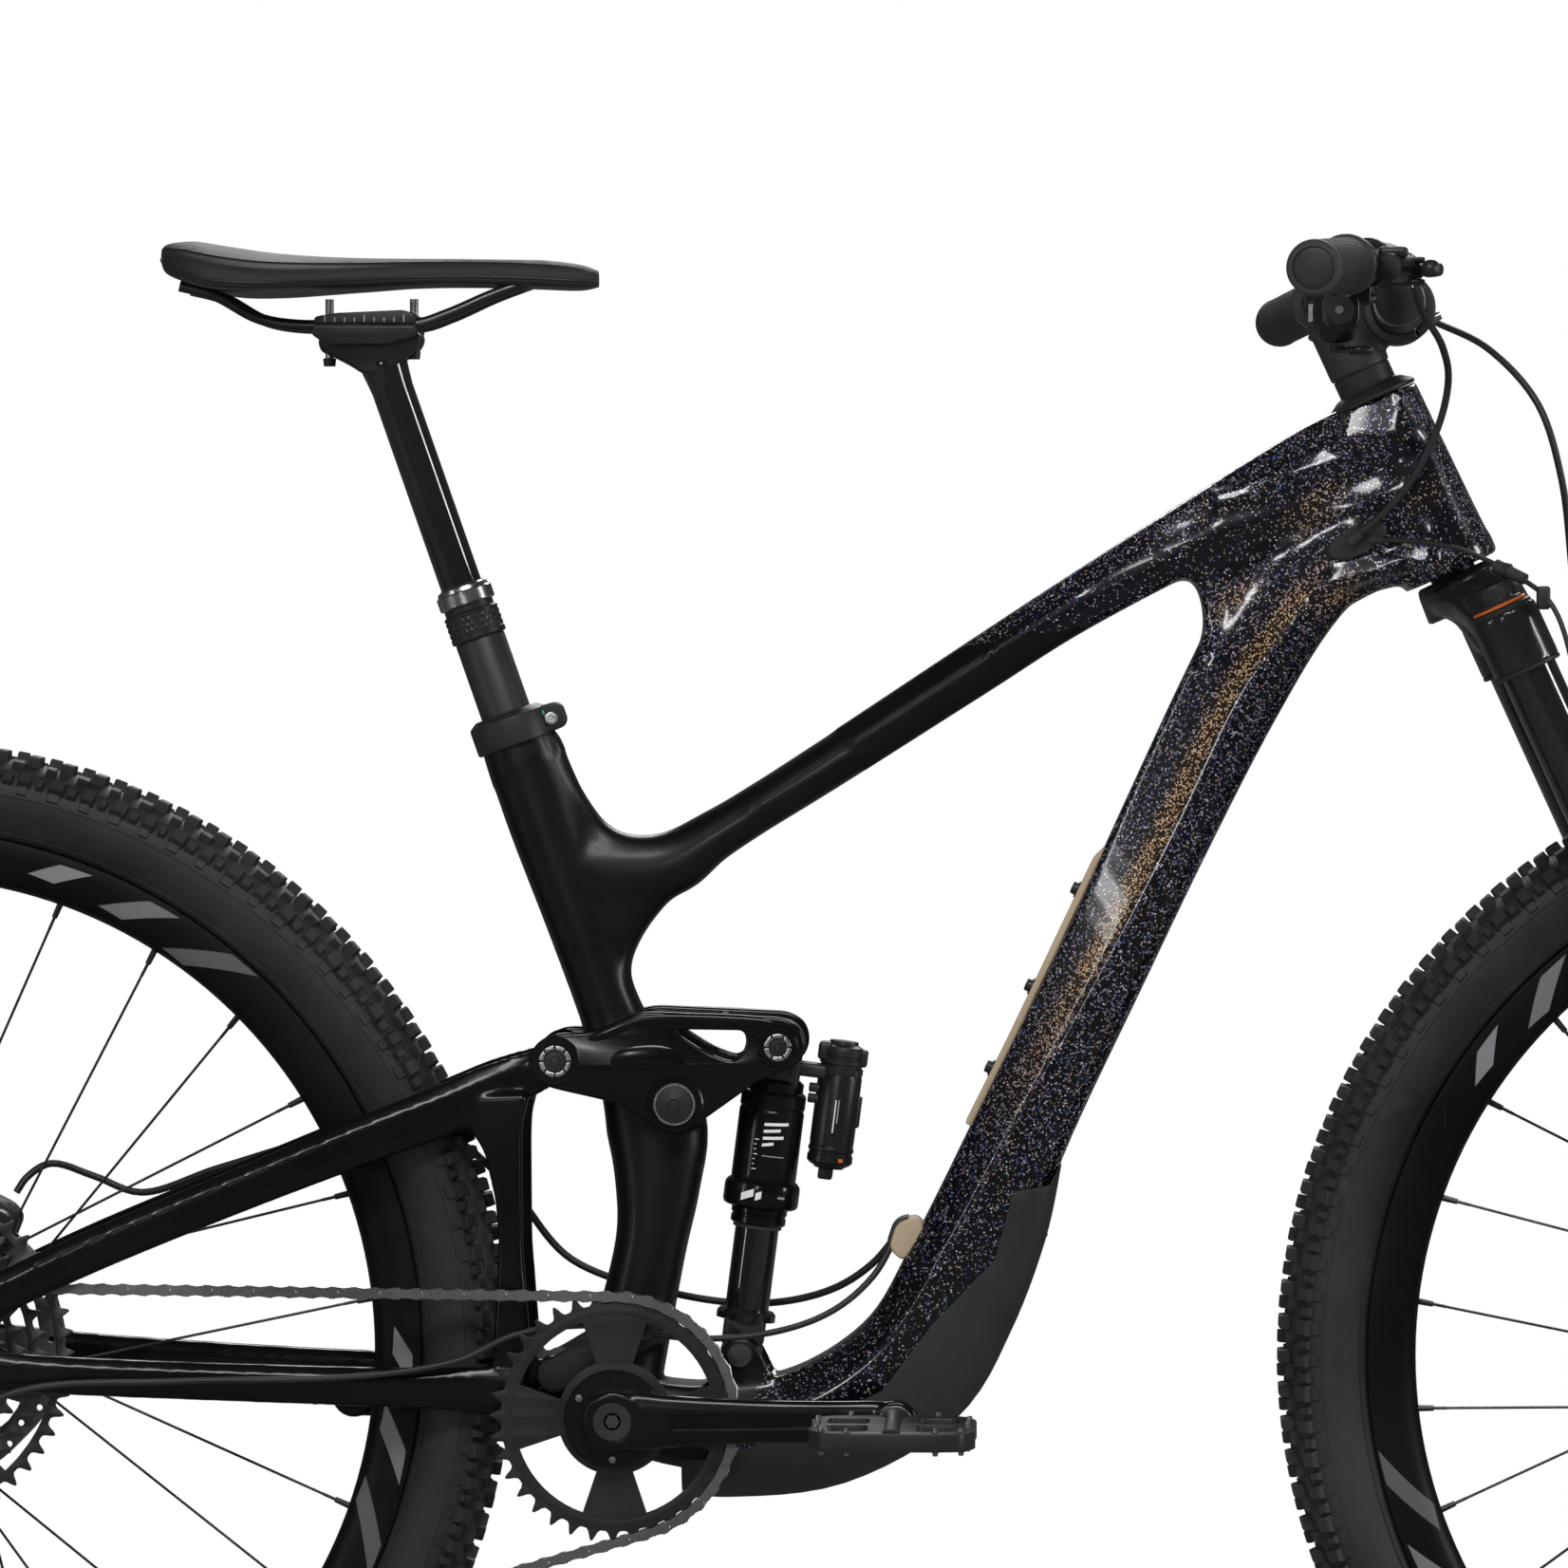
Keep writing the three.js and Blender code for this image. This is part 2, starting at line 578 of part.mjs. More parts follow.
// Rear triangle
const dropIn = 74 + gap;
const dropOut = 84;
const rearAxleRadius = 6;
const seatStay = loft([
  [-205, 28.6, 549, 11, 3.9], [-225, 28.6, 540.5, 14, 3.9], [-246, 33.5, 532, 15.5, 6.5],
  [-272, 39, 521, 15.5, 8], [-320, 46.5, 503, 14.5, 8], [-403, 57, 470, 13, 8],
  [-493, 70, 432.5, 12.5, 7.5], [-560, 79, 400, 13, 5.5], [-600, 79.2, 376, 15, 4.8]
], 8, 2.8);
const chainStay = loft([
  [-226, 38, 352, 15, 6], [-246, 39.6, 352, 14, 5], [-268, 42, 353, 13, 6],
  [-300, 46, 354, 12, 8], [-400, 58, 358, 11.5, 8], [-500, 71.5, 363, 11.5, 7.5],
  [-560, 79, 368, 12, 5.5], [-602, 79.2, 371, 14, 4.8]
], 8, 2.8);
const uprightStrut = slab([
  [-219, 532], [-224, 500], [-223.5, 438], [-219, 380], [-222, 338], [-238, 336], [-242, 372], [-238, 438],
  [-243, 480], [-258, 513], [-262, 530]
], 31, 42);
const yoke = join(
  across(linkStayPivot, 11, -linkIn + gap, linkIn - gap),
  slab([[-217, 380], [-214.5, 352], [-217, 340], [-227.5, 338], [-228, 352], [-227.5, 380]], -35, 35)
);
const seatBridge = slab([[-262, 531], [-258, 536], [-246, 529], [-240, 508], [-244, 498], [-249, 512]], -36,
  36);
const dropout = slab([
  [-622, 364], [-622, 380], [-612, 391], [-596, 391], [-582, 384], [-580, 364], [-592, 357], [-614, 357]
], dropIn, dropOut);
const calliperPosts = cut(
  join(slab([[-550, 402], [-566, 396], [-566, 452], [-550, 452]], 64.5, 80),
    slab([[-579, 388], [-593, 382], [-593, 458], [-579, 458]], 64.5, 80)),
  slab([[-535, 418.6 - gap], [-610, 456.8 - gap], [-610, 490], [-535, 490]], 60, 90)
);
const hanger = slab([[-606, 362], [-588, 362], [-588, 340], [-594, 333], [-602, 336]], -84, -76);
const linkCheek = slab([
  [-220.5, 361], [-217, 371], [-209, 377], [-150, 406], [-137, 402], [-134, 390], [-138, 380], [-148, 374],
  [-200, 347], [-212, 346], [-219, 352]
], linkIn - gap, linkOut + gap);
const oneSide = join(seatStay, chainStay, uprightStrut, dropout, across(stayPivot, 13.5, 24.8, 32.7));
let rearTriangle = join(both(oneSide), calliperPosts, yoke, seatBridge, hanger, across([-595, 347], 9, -84,
  -76));
rearTriangle = cut(
  rearTriangle,
  across(stayPivot, holeFor(pivotPin), -60, 60),
  across(linkStayPivot, holeFor(pivotPin + openPivotPlay), -60, 60),
  across(rearAxle, holeFor(rearAxleRadius), -100, 100),
  across([-595, 347], holeFor(4), -100, -60),
  box(-700, -540, -dropIn, dropIn, 300, 460),
  both(linkCheek)
);
const axleHead = 9;
add('rear_triangle', rearTriangle, gloss());
add('rear_axle', join(across(rearAxle, rearAxleRadius, -dropOut + 2, dropOut + 1),
  across(rearAxle, axleHead, dropOut + gap, dropOut + 4)), anodised());

// Lower link
const linkPlate = slab([
  [-216, 361], [-213, 368.5], [-206, 371.5], [-158, 400], [-150, 403], [-141, 399.5], [-137, 390],
    [-140, 381],
  [-146, 377.5], [-198, 352.5], [-205, 350], [-213, 353.5]
], linkIn, linkOut);
const lowerLink = cut(
  join(both(linkPlate), across(linkStayPivot, pivotPin, -linkOut, linkOut)),
  across(linkFramePivot, holeFor(pivotPin + 1), -60, 60)
);
add('lower_link', lowerLink, anodised());

// Wheels, around Y at the axle
const pitchRadius = teeth => pitch / (2 * Math.sin(Math.PI / teeth));
const tyreProfile = [
  [rim.bed + gap, 6], [346, 22], [346, -22], [rim.bed + gap, -6], [rim.bed + gap, -14.3],
    [rim.outer + 1, -14.3],
  [344, -tyreHalf], [tyreRadius, -11], [tyreRadius, 11], [344, tyreHalf], [rim.outer + 1, 14.3],
    [rim.bed + gap, 14.3]
];
const rimProfile = [
  [rim.outer, rim.half], [rim.outer, rim.half - rim.wall], [rim.bed, rim.half - rim.wall],
  [rim.bed, rim.wall - rim.half], [rim.outer, rim.wall - rim.half], [rim.outer, -rim.half],
  [rim.bed - 2, -rim.half], [rim.inner, -7], [rim.inner, 7], [rim.bed - 2, rim.half]
];
const hubs = {
  front: { ends: 55, bore: 7.5, left: 24, right: -34, disc: 39.2, end: 10.5, barrel: 14 },
  rear: { ends: 74, bore: rearAxleRadius, left: 32, right: -22.5, disc: 58.2, end: 9.7, barrel: 17 }
};
function hubSolid(hub, driveSide) {
  const half = 1.5;
  const right = driveSide
    ? [[hub.end, -hub.ends], [hub.end, hub.right - 5], [18, hub.right - 5], [18, hub.right - half]]
    : [[hub.end, -hub.ends], [16, hub.right - 5], [18, hub.right - half]];
  return turned([
    [hub.bore + gap, -hub.ends], ...right, [flangeRadius, hub.right - half],
    [flangeRadius, hub.right + half], [hub.barrel, hub.right + 2], [hub.barrel, hub.left - 2],
    [flangeRadius, hub.left - half], [flangeRadius, hub.left + half], [18, hub.left + half],
    [20, hub.disc - gap], [12, hub.disc - gap], [12, hub.disc + 6], [hub.end, hub.ends],
    [hub.bore + gap, hub.ends]
  ], 12);
}
function spokeSet(hub) {
  const spokes = [];
  for (let i = 0; i < spokeCount; i++) {
    const side = i % 2 ? 1 : -1;
    const lead = Math.floor(i / 2) % 2 ? 1 : -1;
    const flangeY = side > 0 ? hub.left : hub.right;
    const y = flangeY + side * (lead > 0 ? 4.8 : -3);
    const outer = 2 * Math.PI * (i + 0.5) / spokeCount;
    const inner = outer + lead * 1.25;
    const from = [27 * Math.sin(inner), y, 27 * Math.cos(inner)];
    const reach = rim.inner + 3;
    const to = [reach * Math.sin(outer), side * 3, reach * Math.cos(outer)];
    spokes.push(rod(from, to, spokeRadius, spokeRadius, 3));
  }
  return join(...spokes);
}
function disc(hub, outer) {
  const windows = [];
  for (let k = 0; k < 6; k++) {
    const turn = k * Math.PI / 3;
    const corner = (radius, angle) => [radius * Math.cos(turn + angle), radius * Math.sin(turn + angle)];
    windows.push([
      corner(outer - 15, 0.02), corner(outer - 15, 0.3), corner(outer - 15, 0.58), corner(outer - 15, 0.86),
      corner(26, 0.5), corner(26, -0.1)
    ].reverse());
  }
  return slab(circle(0, 0, outer, 28).reverse(), hub.disc, hub.disc + 1.8,
    [circle(0, 0, 12 + 2 * gap, 14), ...windows]);
}
const discRadius = { front: 101.5, rear: 90 };
for (const [end, parent] of [['rear', rearWheel], ['front', frontWheel]]) {
  add(`${end}_tyre`, turned(tyreProfile, wheelSides), rubber(), parent);
  add(`${end}_laced_rim`, join(turned(rimProfile, wheelSides), spokeSet(hubs[end])), paint(0x232426, 0.45,
    0.3), parent);
  add(`${end}_hub`, hubSolid(hubs[end], end === 'rear'), anodised(), parent);
  add(`${end}_disc`, disc(hubs[end], discRadius[end]), steel(), parent);
}

// Cassette on its freehub
const freehubRoom = holeFor(hubs.rear.end) + gap;
const cogProfile = [[freehubRoom, cogFirst - cogWide / 2]];
cogTeeth.forEach((teeth, i) => {
  const tip = pitchRadius(teeth) + 3;
  const y = cogFirst + cogStep * i;
  const next = i + 1 < cogTeeth.length ? y + cogStep - cogWide / 2 : y + cogWide / 2;
  cogProfile.push([tip, y - cogWide / 2]);
  if (i === chainCog || i === chainCog - 1) {
    const root = pitchRadius(cogTeeth[chainCog]) - 6.5;
    cogProfile.push([tip, y + cogWide / 2], [root, y + cogWide / 2], [root, next]);
  } else {
    cogProfile.push([tip, next]);
  }
});
cogProfile.push([freehubRoom, cogFirst + cogStep * (cogTeeth.length - 1) + cogWide / 2]);
add('cassette', turned(cogProfile, 12), steel(), rearWheel);

// Belt geometry for the chain: arcs round toothed wheels and the straight runs between them
const wheelsOnChain = {
  ring: { at: bottomBracket, radius: pitchRadius(ringTeeth) },
  cog: { at: rearAxle, radius: pitchRadius(cogTeeth[chainCog]) },
  guide: { at: guideWheel, radius: pitchRadius(guideTeeth) },
  tension: { at: tensionWheel, radius: pitchRadius(tensionTeeth) }
};
// Tangent from wheel a to wheel b; sense +1 keeps the wheel on the right of travel, -1 on its left
function tangent(a, b, senseA, senseB) {
  const [dx, dz] = [b.at[0] - a.at[0], b.at[1] - a.at[1]];
  const span = Math.hypot(dx, dz);
  const heading = Math.atan2(dz, dx) - Math.asin((senseB * b.radius - senseA * a.radius) / span) * -1;
  const normal = [-Math.sin(heading), Math.cos(heading)];
  return {
    heading,
    from: [a.at[0] + senseA * a.radius * normal[0], a.at[1] + senseA * a.radius * normal[1]],
    to: [b.at[0] + senseB * b.radius * normal[0], b.at[1] + senseB * b.radius * normal[1]]
  };
}
function arc(wheel, from, to, sense, steps) {
  const start = Math.atan2(from[1] - wheel.at[1], from[0] - wheel.at[0]);
  let sweep = Math.atan2(to[1] - wheel.at[1], to[0] - wheel.at[0]) - start;
  if (sense > 0) while (sweep > 0) sweep -= 2 * Math.PI;
  else while (sweep < 0) sweep += 2 * Math.PI;
  return Array.from({ length: steps + 1 }, (_, k) => {
    const angle = start + sweep * k / steps;
    return [wheel.at[0] + wheel.radius * Math.cos(angle), wheel.at[1] + wheel.radius * Math.sin(angle)];
  });
}
function ribbon(points) {
  const offset = side => points.map((p, i) => {
    const before = points[Math.max(0, i - 1)];
    const after = points[Math.min(points.length - 1, i + 1)];
    const length = Math.hypot(after[0] - before[0], after[1] - before[1]);
    const normal = [-(after[1] - before[1]) / length, (after[0] - before[0]) / length];
    return [p[0] + side * chainTall * normal[0], p[1] + side * chainTall * normal[1]];
  });
  return slab([...offset(1), ...offset(-1).reverse()], chainLine - chainHalf, chainLine + chainHalf);
}
const slotRoom = wheel => across(wheel.at, wheel.radius + 8, chainLine - chainSlot, chainLine + chainSlot,
  32);
const { ring, cog, guide, tension } = wheelsOnChain;
const topRun = tangent(cog, ring, 1, 1);
const lowerRun = tangent(ring, tension, 1, 1);
const cageRun = tangent(tension, guide, 1, -1);
const cogRun = tangent(guide, cog, -1, 1);
const between = (a, b, t) => [a[0] + (b[0] - a[0]) * t, a[1] + (b[1] - a[1]) * t];
const shorten = (a, b, by) => {
  const span = Math.hypot(b[0] - a[0], b[1] - a[1]);
  return between(a, b, by / span);
};
const chainGap = 0.8;
const loopPath = [
  shorten(topRun.from, topRun.to, chainGap), ...arc(ring, topRun.to, lowerRun.from, 1, 12),
  shorten(lowerRun.to, lowerRun.from, chainGap)
];
add('chain_loop', cut(ribbon(loopPath), slotRoom(ring), slotRoom(tension), slotRoom(cog)), steel());
const cagePath = [
  ...arc(tension, lowerRun.to, cageRun.from, 1, 10),
  ...arc(guide, cageRun.to, cogRun.from, -1, 6)
];
add('chain_cage_wrap', cut(ribbon(cagePath), slotRoom(tension), slotRoom(guide)), steel());
const rearPath = [shorten(cogRun.from, cogRun.to, chainGap), ...arc(cog, cogRun.to, topRun.from, 1, 12)];
add('chain_rear_wrap', cut(ribbon(rearPath), slotRoom(cog), slotRoom(guide)), steel());

// Chainring and cranks
const ringTip = ring.radius + 3;
const ringHoles = Array.from({ length: 4 }, (_, k) => {
  const turn = Math.PI / 4 + k * Math.PI / 2;
  const corner = (radius, angle) => [
    bottomBracket[0] + radius * Math.cos(turn + angle), bottomBracket[1] + radius * Math.sin(turn + angle)
  ];
  return [corner(61, -0.5), corner(61, 0), corner(61, 0.5), corner(34, 0.4), corner(34, -0.4)].reverse();
});
add('chainring', slab(
  circle(...bottomBracket, ringTip, 30).reverse(), chainLine - 1, chainLine + 1,
  [circle(...bottomBracket, 20 + 2 * gap, 16), ...ringHoles]
), anodised());
const pedalSpot = side => [bottomBracket[0] - side * crankLength, bottomBracket[1]];
function crankArm(side) {
  const tip = pedalSpot(side);
  const y = side * (crankOut + 7);
  const stations = [0, 0.12, 0.5, 0.88, 1].map((t, i) => {
    const [x, z] = between(bottomBracket, tip, t);
    return [x, y + side * 3 * t, z, [19, 17.5, 13.5, 14, 13.5][i], [7, 7, 6, 6.5, 6.5][i]];
  });
  const arm = join(
    loft(stations, 8, 3),
    across(bottomBracket, 19, y - 7.5, y + 7.5),
    across(tip, 14, y + side * 3 - 6.5, y + side * 3 + 6.5)
  );
  return cut(arm, across(tip, holeFor(5), -120, 120));
}
add('crank_arms', join(
  crankArm(-1), crankArm(1), across(bottomBracket, spindleRadius, -crankOut - 4, crankOut + 4),
  cut(across(bottomBracket, 30, -crankOut - 1, chainLine - 1 - gap), across(bottomBracket, 10, -80, 80)),
  cut(across(bottomBracket, 20, chainLine - 2, chainLine + 3, 16), across(bottomBracket, 10, -80, 80))
), gloss());
function pedal(side) {
  const [x, z] = pedalSpot(side);
  const inner = crankOut + 7 + 3 + 6.5;
  const [y0, y1] = side > 0 ? [inner + 3, inner + 105] : [-inner - 105, -inner - 3];
  const frameBox = cut(
    box(x - 50, x + 50, y0, y1, z - 8, z + 8),
    box(x - 40, x - 14, y0 + 16, y1 - 14, z - 20, z + 20),
    box(x + 14, x + 40, y0 + 16, y1 - 14, z - 20, z + 20)
  );
  const shaftEnds = side > 0 ? [inner - 16, inner + 4] : [-inner - 4, -inner + 16];
  return join(frameBox, across([x, z], 5, ...shaftEnds));
}
add('right_pedal', pedal(-1), anodised());
add('left_pedal', pedal(1), anodised());

// Derailleur: body on the hanger, cage with two jockey wheels
const cageOuter = [chainLine - chainHalf - 2.2, chainLine - chainHalf - gap];
const cageInner = [chainLine + chainHalf + gap, chainLine + chainHalf + 2];
const derailleurBolt = [-595, 347];
add('derailleur_body', join(
  across(derailleurBolt, 4, -90, -74.5),
  across(derailleurBolt, 10, -94, -84 - gap),
  loft([[-593, -90, 346, 9, 5], [-585, -91, 322, 10, 6], [-574, -86, 300, 12, 8], [-570, -78, 284, 13, 8],
    [-576, -72, 268, 13, 8], [guideWheel[0], -67, guideWheel[1], 12, 8]], 10, 2.8, [0, 1, 0]),
  across(guideWheel, 15, -75, cageOuter[0] - gap)
), anodised());
const cagePlate = [
  [guideWheel[0] - 15, guideWheel[1] + 4], [guideWheel[0] - 7, guideWheel[1] + 14],
    [guideWheel[0] + 7, guideWheel[1] + 14],
  [guideWheel[0] + 15, guideWheel[1] + 4], [tensionWheel[0] + 16, tensionWheel[1] + 8],
  [tensionWheel[0] + 14, tensionWheel[1] - 9], [tensionWheel[0], tensionWheel[1] - 15],
  [tensionWheel[0] - 14, tensionWheel[1] - 8]
];
const cageWindow = [
  between(guideWheel, tensionWheel, 0.34), between(guideWheel, tensionWheel, 0.66)
].flatMap(([x, z], i) => i ? [[x + 6, z], [x - 6, z]] : [[x - 6, z], [x + 6, z]]);
add('derailleur_cage', join(
  slab(cagePlate, ...cageOuter, [cageWindow]), slab(cagePlate, ...cageInner, [cageWindow]),
  across(guideWheel, 3, cageOuter[0], cageInner[1], 10), across(tensionWheel, 3, cageOuter[0], cageInner[1],
    10)
), anodised());
for (const [name, wheel] of [['upper_jockey_wheel', guide], ['lower_jockey_wheel', tension]]) {
  const tip = wheel.radius + 2.3;
  add(name, cut(
    across(wheel.at, tip, chainLine - 1.05, chainLine + 1.05), across(wheel.at, holeFor(3), -70, -40)
  ), rubber());
}

// Fork, in the steering frame: Z up the steering axis from the lower headset race, X forward
const socketLow = -70;
const socketHigh = -33;
const crownTop = -2;
const lowersTop = -222;
const legBottom = -forkLength - 20;
const socket = join(
  rod([stanchionAhead, stanchionSide, socketLow], [stanchionAhead, stanchionSide, socketHigh], 23, 22.5),
  rod([stanchionAhead, stanchionSide, socketHigh - 1], [stanchionAhead, stanchionSide, socketHigh + 4], 19,
    18)
);
const crownArm = loft([
  [2, -4, -14, 11, 27], [6, 24, -15, 12, 26], [11, 44, -24, 17, 22], [stanchionAhead, 62, -44, 22, 19],
  [stanchionAhead, stanchionSide, -52, 17, 15]
], 8, 3, [1, 0, 0]);
const steererTop = headLength + 66;
const tubeTop = socketHigh + 3;
const capTop = socketHigh + 3;
const topCap = join(
  upright(14.5, capTop, capTop + 6, stanchionAhead, stanchionSide),
  upright(10, capTop + 5, capTop + 17, stanchionAhead, stanchionSide)
);
let crown = join(
  both(socket), both(crownArm), both(topCap), rod([0, 0, -24], [0, 0, crownTop], 26, 24),
  upright(steererRadius, crownTop - 4, steererTop)
);
crown = cut(
  crown,
  upright(10.5, -30, steererTop + 1)
);
const stanchionLow = lowersTop - 110;
const stanchion = cut(
  upright(stanchionRadius, stanchionLow, tubeTop - 4, stanchionAhead, stanchionSide),
  upright(stanchionRadius - 2, stanchionLow - 1, tubeTop - 12, stanchionAhead, stanchionSide)
);
add('fork_upper', join(crown, both(stanchion)), paint(0x0b0b0c, 0.12, 0.8), steering);

const legTaper = loft([
  [stanchionAhead, stanchionSide, lowersTop, 21, 21],
    [stanchionAhead, stanchionSide, lowersTop - 30, 20.6, 20.6],
  [stanchionAhead, stanchionSide, -430, 19.5, 20], [stanchionAhead + 4, stanchionSide, -495, 18, 18],
  [stanchionAhead + 14, stanchionSide, -530, 17, 14],
    [stanchionAhead + 22, stanchionSide, legBottom + 4, 13, 11]
], 8, 2.1);
const lug = join(
  across([forkOffset, -forkLength], 17, 55 + gap, 80),
  loft([[stanchionAhead + 6, stanchionSide, -510, 16, 12],
    [forkOffset, stanchionSide, -forkLength, 15, 11]], 10, 2.4)
);
const archHalf = loft([
  [stanchionAhead + 12, 60, lowersTop - 28, 13, 9], [stanchionAhead + 27, 58, lowersTop - 2, 11, 7],
  [stanchionAhead + 38, 48, lowersTop + 38, 9, 6.5], [stanchionAhead + 42, 24, lowersTop + 62, 9, 6],
  [stanchionAhead + 43, -3, lowersTop + 68, 9, 6]
], 8, 2.6, [1, 0, 0]);
const brakeMount = join(
  box(-32, 18, 46, 64, -508, -496.5), box(-32, 10, 46, 62, -445.5, -434)
);
const frontAxleRadius = 7.5;
const sensorBoss = box(6, 22, -97, -84, -258, -244);
let lowers = join(both(join(legTaper, lug, archHalf)), brakeMount, sensorBoss);
lowers = cut(
  lowers,
  ...[1, -1].map(s => upright(stanchionRadius + boreGap, stanchionLow - forkTravel - 4, lowersTop + 70,
    stanchionAhead,
    s * stanchionSide)),
  across([forkOffset, -forkLength], frontAxleRadius + gap, -100, 100),
  box(-60, 120, -55 - gap, 55 + gap, -forkLength - 30, -forkLength + 30)
);
add('fork_lowers', lowers, gloss(), steering);
add('front_axle', join(
  across([forkOffset, -forkLength], frontAxleRadius, -79, 82),
  across([forkOffset, -forkLength], 10, 80 + gap, 84)
), anodised(), steering);

// Callipers straddle the discs
function calliper(hub, room) {
  const mid = hub.disc + 0.9;
  return cut(
    join(box(-24, 24, mid - 14.5, mid + 15.5, -13, 15), rod([-14, mid - 15.5, 2], [-14, mid + 17, 2], 9),
      rod([12, mid - 15.5, 2], [12, mid + 17, 2], 9)),
    box(-40, 40, mid - 2, mid + 2, -40, room)
  );
}
const discAngle = Math.atan2(69, 88);
const frontCalliperAt = [forkOffset - 92 * Math.sin(discAngle), -forkLength + 92 * Math.cos(discAngle)];
const frontCalliper = calliper(hubs.front, 11)
  .rotate([0, -discAngle * 180 / Math.PI, 0]).translate([frontCalliperAt[0], 0, frontCalliperAt[1]]);
add('front_calliper', cut(
  frontCalliper, upright(22, -600, -300, stanchionAhead, stanchionSide), box(-60, 60, 44, 80, -620, -496),
  box(-60, 60, 44, 80, -446, -300)
), anodised(), steering);
const rearCalliper = calliper(hubs.rear, 11).rotate([0, 27, 0]).translate([-566, 0, 449]);
add('rear_calliper', cut(rearCalliper, rearTriangle, rearTriangle.translate([0, -gap, gap])), anodised());

// Stem, spacers and top cap
const stemLow = headLength + 19;
const stemHigh = headLength + 58;
const barLocal = [
  (barCentre[0] - headBottom[0]) * Math.cos(headAngle) + (barCentre[1] - headBottom[1]) * Math.sin(headAngle),
  -(barCentre[0] - headBottom[0]) * Math.sin(headAngle) + (barCentre[1] - headBottom[1]) * Math.cos(headAngle)
];
let stem = join(
  upright(19, stemLow, stemHigh),
  loft([[0, 0, (stemLow + stemHigh) / 2, 17, 15],
    [barLocal[0] * 0.5, 0, (barLocal[1] + stemLow + 18) / 2, 15, 13],
    [barLocal[0], 0, barLocal[1], 17, 20]], 10, 3),
  across(barLocal, 22, -24, 24),
  upright(16.5, stemHigh - 1, stemHigh + 3)
);
stem = cut(stem, upright(steererRadius + gap, stemLow - 1, steererTop + 0.4),
  across(barLocal, barRadius + 2 * gap, -60, 60));
add('stem', join(stem, cut(
  join(upright(18, headLength + 8, stemLow + 1),
    rod([0, 0, headLength + gap], [0, 0, headLength + 8], headRadius, 20)),
  upright(steererRadius + gap, headLength - 1, stemLow + 1)
)), anodised(), steering);

// Handlebar and what it carries, in world axes
const barPath = [
  [barCentre[0], -4, barCentre[1], barRadius], [barCentre[0], 34, barCentre[1], barRadius],
  [barCentre[0] - 2, 62, barCentre[1] + 4, 14.5], [barCentre[0] - 8, 106, barCentre[1] + 19, 12.4],
  [barCentre[0] - 16, 142, barCentre[1] + 22, barEnd + 0.4],
    [barCentre[0] - 33, 220, barCentre[1] + 17, barEnd],
  [barCentre[0] - 62, barHalf, barCentre[1] + 7, barEnd]
];
const barHalfSolid = loft(barPath.map(([x, y, z, r]) => [x, y, z, r, r]), 12, 2, [1, 0, 0]);
add('handlebar', both(barHalfSolid), gloss());
function onBar(y) {
  const i = barPath.findIndex(p => p[1] >= y);
  const [a, b] = [barPath[i - 1], barPath[i]];
  const t = (y - a[1]) / (b[1] - a[1]);
  return [a[0] + (b[0] - a[0]) * t, y, a[2] + (b[2] - a[2]) * t];
}
const barEndPoint = onBar(barHalf);
const gripStart = onBar(gripIn);
const tipBeyond = new THREE.Vector3(...barEndPoint).sub(new THREE.Vector3(...gripStart)).normalize();
const beyond = (p, t) => [p[0] + tipBeyond.x * t, p[1] + tipBeyond.y * t, p[2] + tipBeyond.z * t];
const grip = cut(
  join(rod(gripStart, beyond(barEndPoint, 3.5), gripRadius), rod(gripStart, beyond(gripStart, 9), 17.5)),
  rod(beyond(gripStart, -2), beyond(barEndPoint, 0.6), barEnd + 0.8, barEnd + 0.8)
);
add('left_grip', grip, rubber());
add('right_grip', mirrored(grip), rubber());

// Brake lever bodies: a bar clamp and a master cylinder ahead of the bar
const barRoom = loft(barPath.slice(3).map(([x, y, z, r]) => [x, y, z, r + 0.5, r + 0.5]), 12, 2, [1, 0, 0]);
const clampRing = (y, wide, radius) => rod(onBar(y - wide / 2), onBar(y + wide / 2), radius);
const leverSpot = onBar(232);
const leverPivot = [leverSpot[0] + 34, 205, leverSpot[2] - 3];
const brakeBody = join(
  clampRing(232, 14, 15),
  rod([onBar(197)[0] + 24, 197, leverSpot[2] - 1], [onBar(253)[0] + 22.5, 253, leverSpot[2] - 3], 9, 8),
  box(leverSpot[0] + 11, leverSpot[0] + 24, 226, 238, leverSpot[2] - 8, leverSpot[2] + 6),
  cut(box(leverPivot[0] - 12, leverPivot[0] + 8, 197, 213, leverPivot[2] - 8, leverPivot[2] + 8),
    box(leverPivot[0] - 9, leverPivot[0] + 20, 190, 220, leverPivot[2] - 4.4, leverPivot[2] + 4.4))
);
const leverRoom = join(
  rod([leverPivot[0], 205, leverPivot[2] - 4.4], [leverPivot[0], 205, leverPivot[2] + 4.4], 9.6),
  box(leverPivot[0] - 2.5, leverPivot[0] + 30, 205, 258, leverPivot[2] - 4.4, leverPivot[2] + 4.4)
);
const leverPinRoom = rod([leverPivot[0], 205, leverPivot[2] - 12], [leverPivot[0], 205, leverPivot[2] + 12],
  2.3);
const brakeBodyCut = cut(brakeBody, barRoom, leverRoom, leverPinRoom);
const blade = join(
  rod([leverPivot[0], 205, leverPivot[2] - 4], [leverPivot[0], 205, leverPivot[2] + 4], 7, 7),
  loft([[leverPivot[0] + 2, 206, leverPivot[2], 3.4, 4], [leverPivot[0] + 11, 230, leverPivot[2], 3.8, 4],
    [leverPivot[0] + 12, 270, leverPivot[2] - 2, 4, 4], [leverPivot[0] + 6, 310, leverPivot[2] - 4, 4.4, 4.6],
    [leverPivot[0] + 6, 328, leverPivot[2] - 4, 5, 5]], 8, 2.4, [1, 0, 0]),
  rod([leverPivot[0], 205, leverPivot[2] - 9.5], [leverPivot[0], 205, leverPivot[2] + 9.5], 1.9)
);
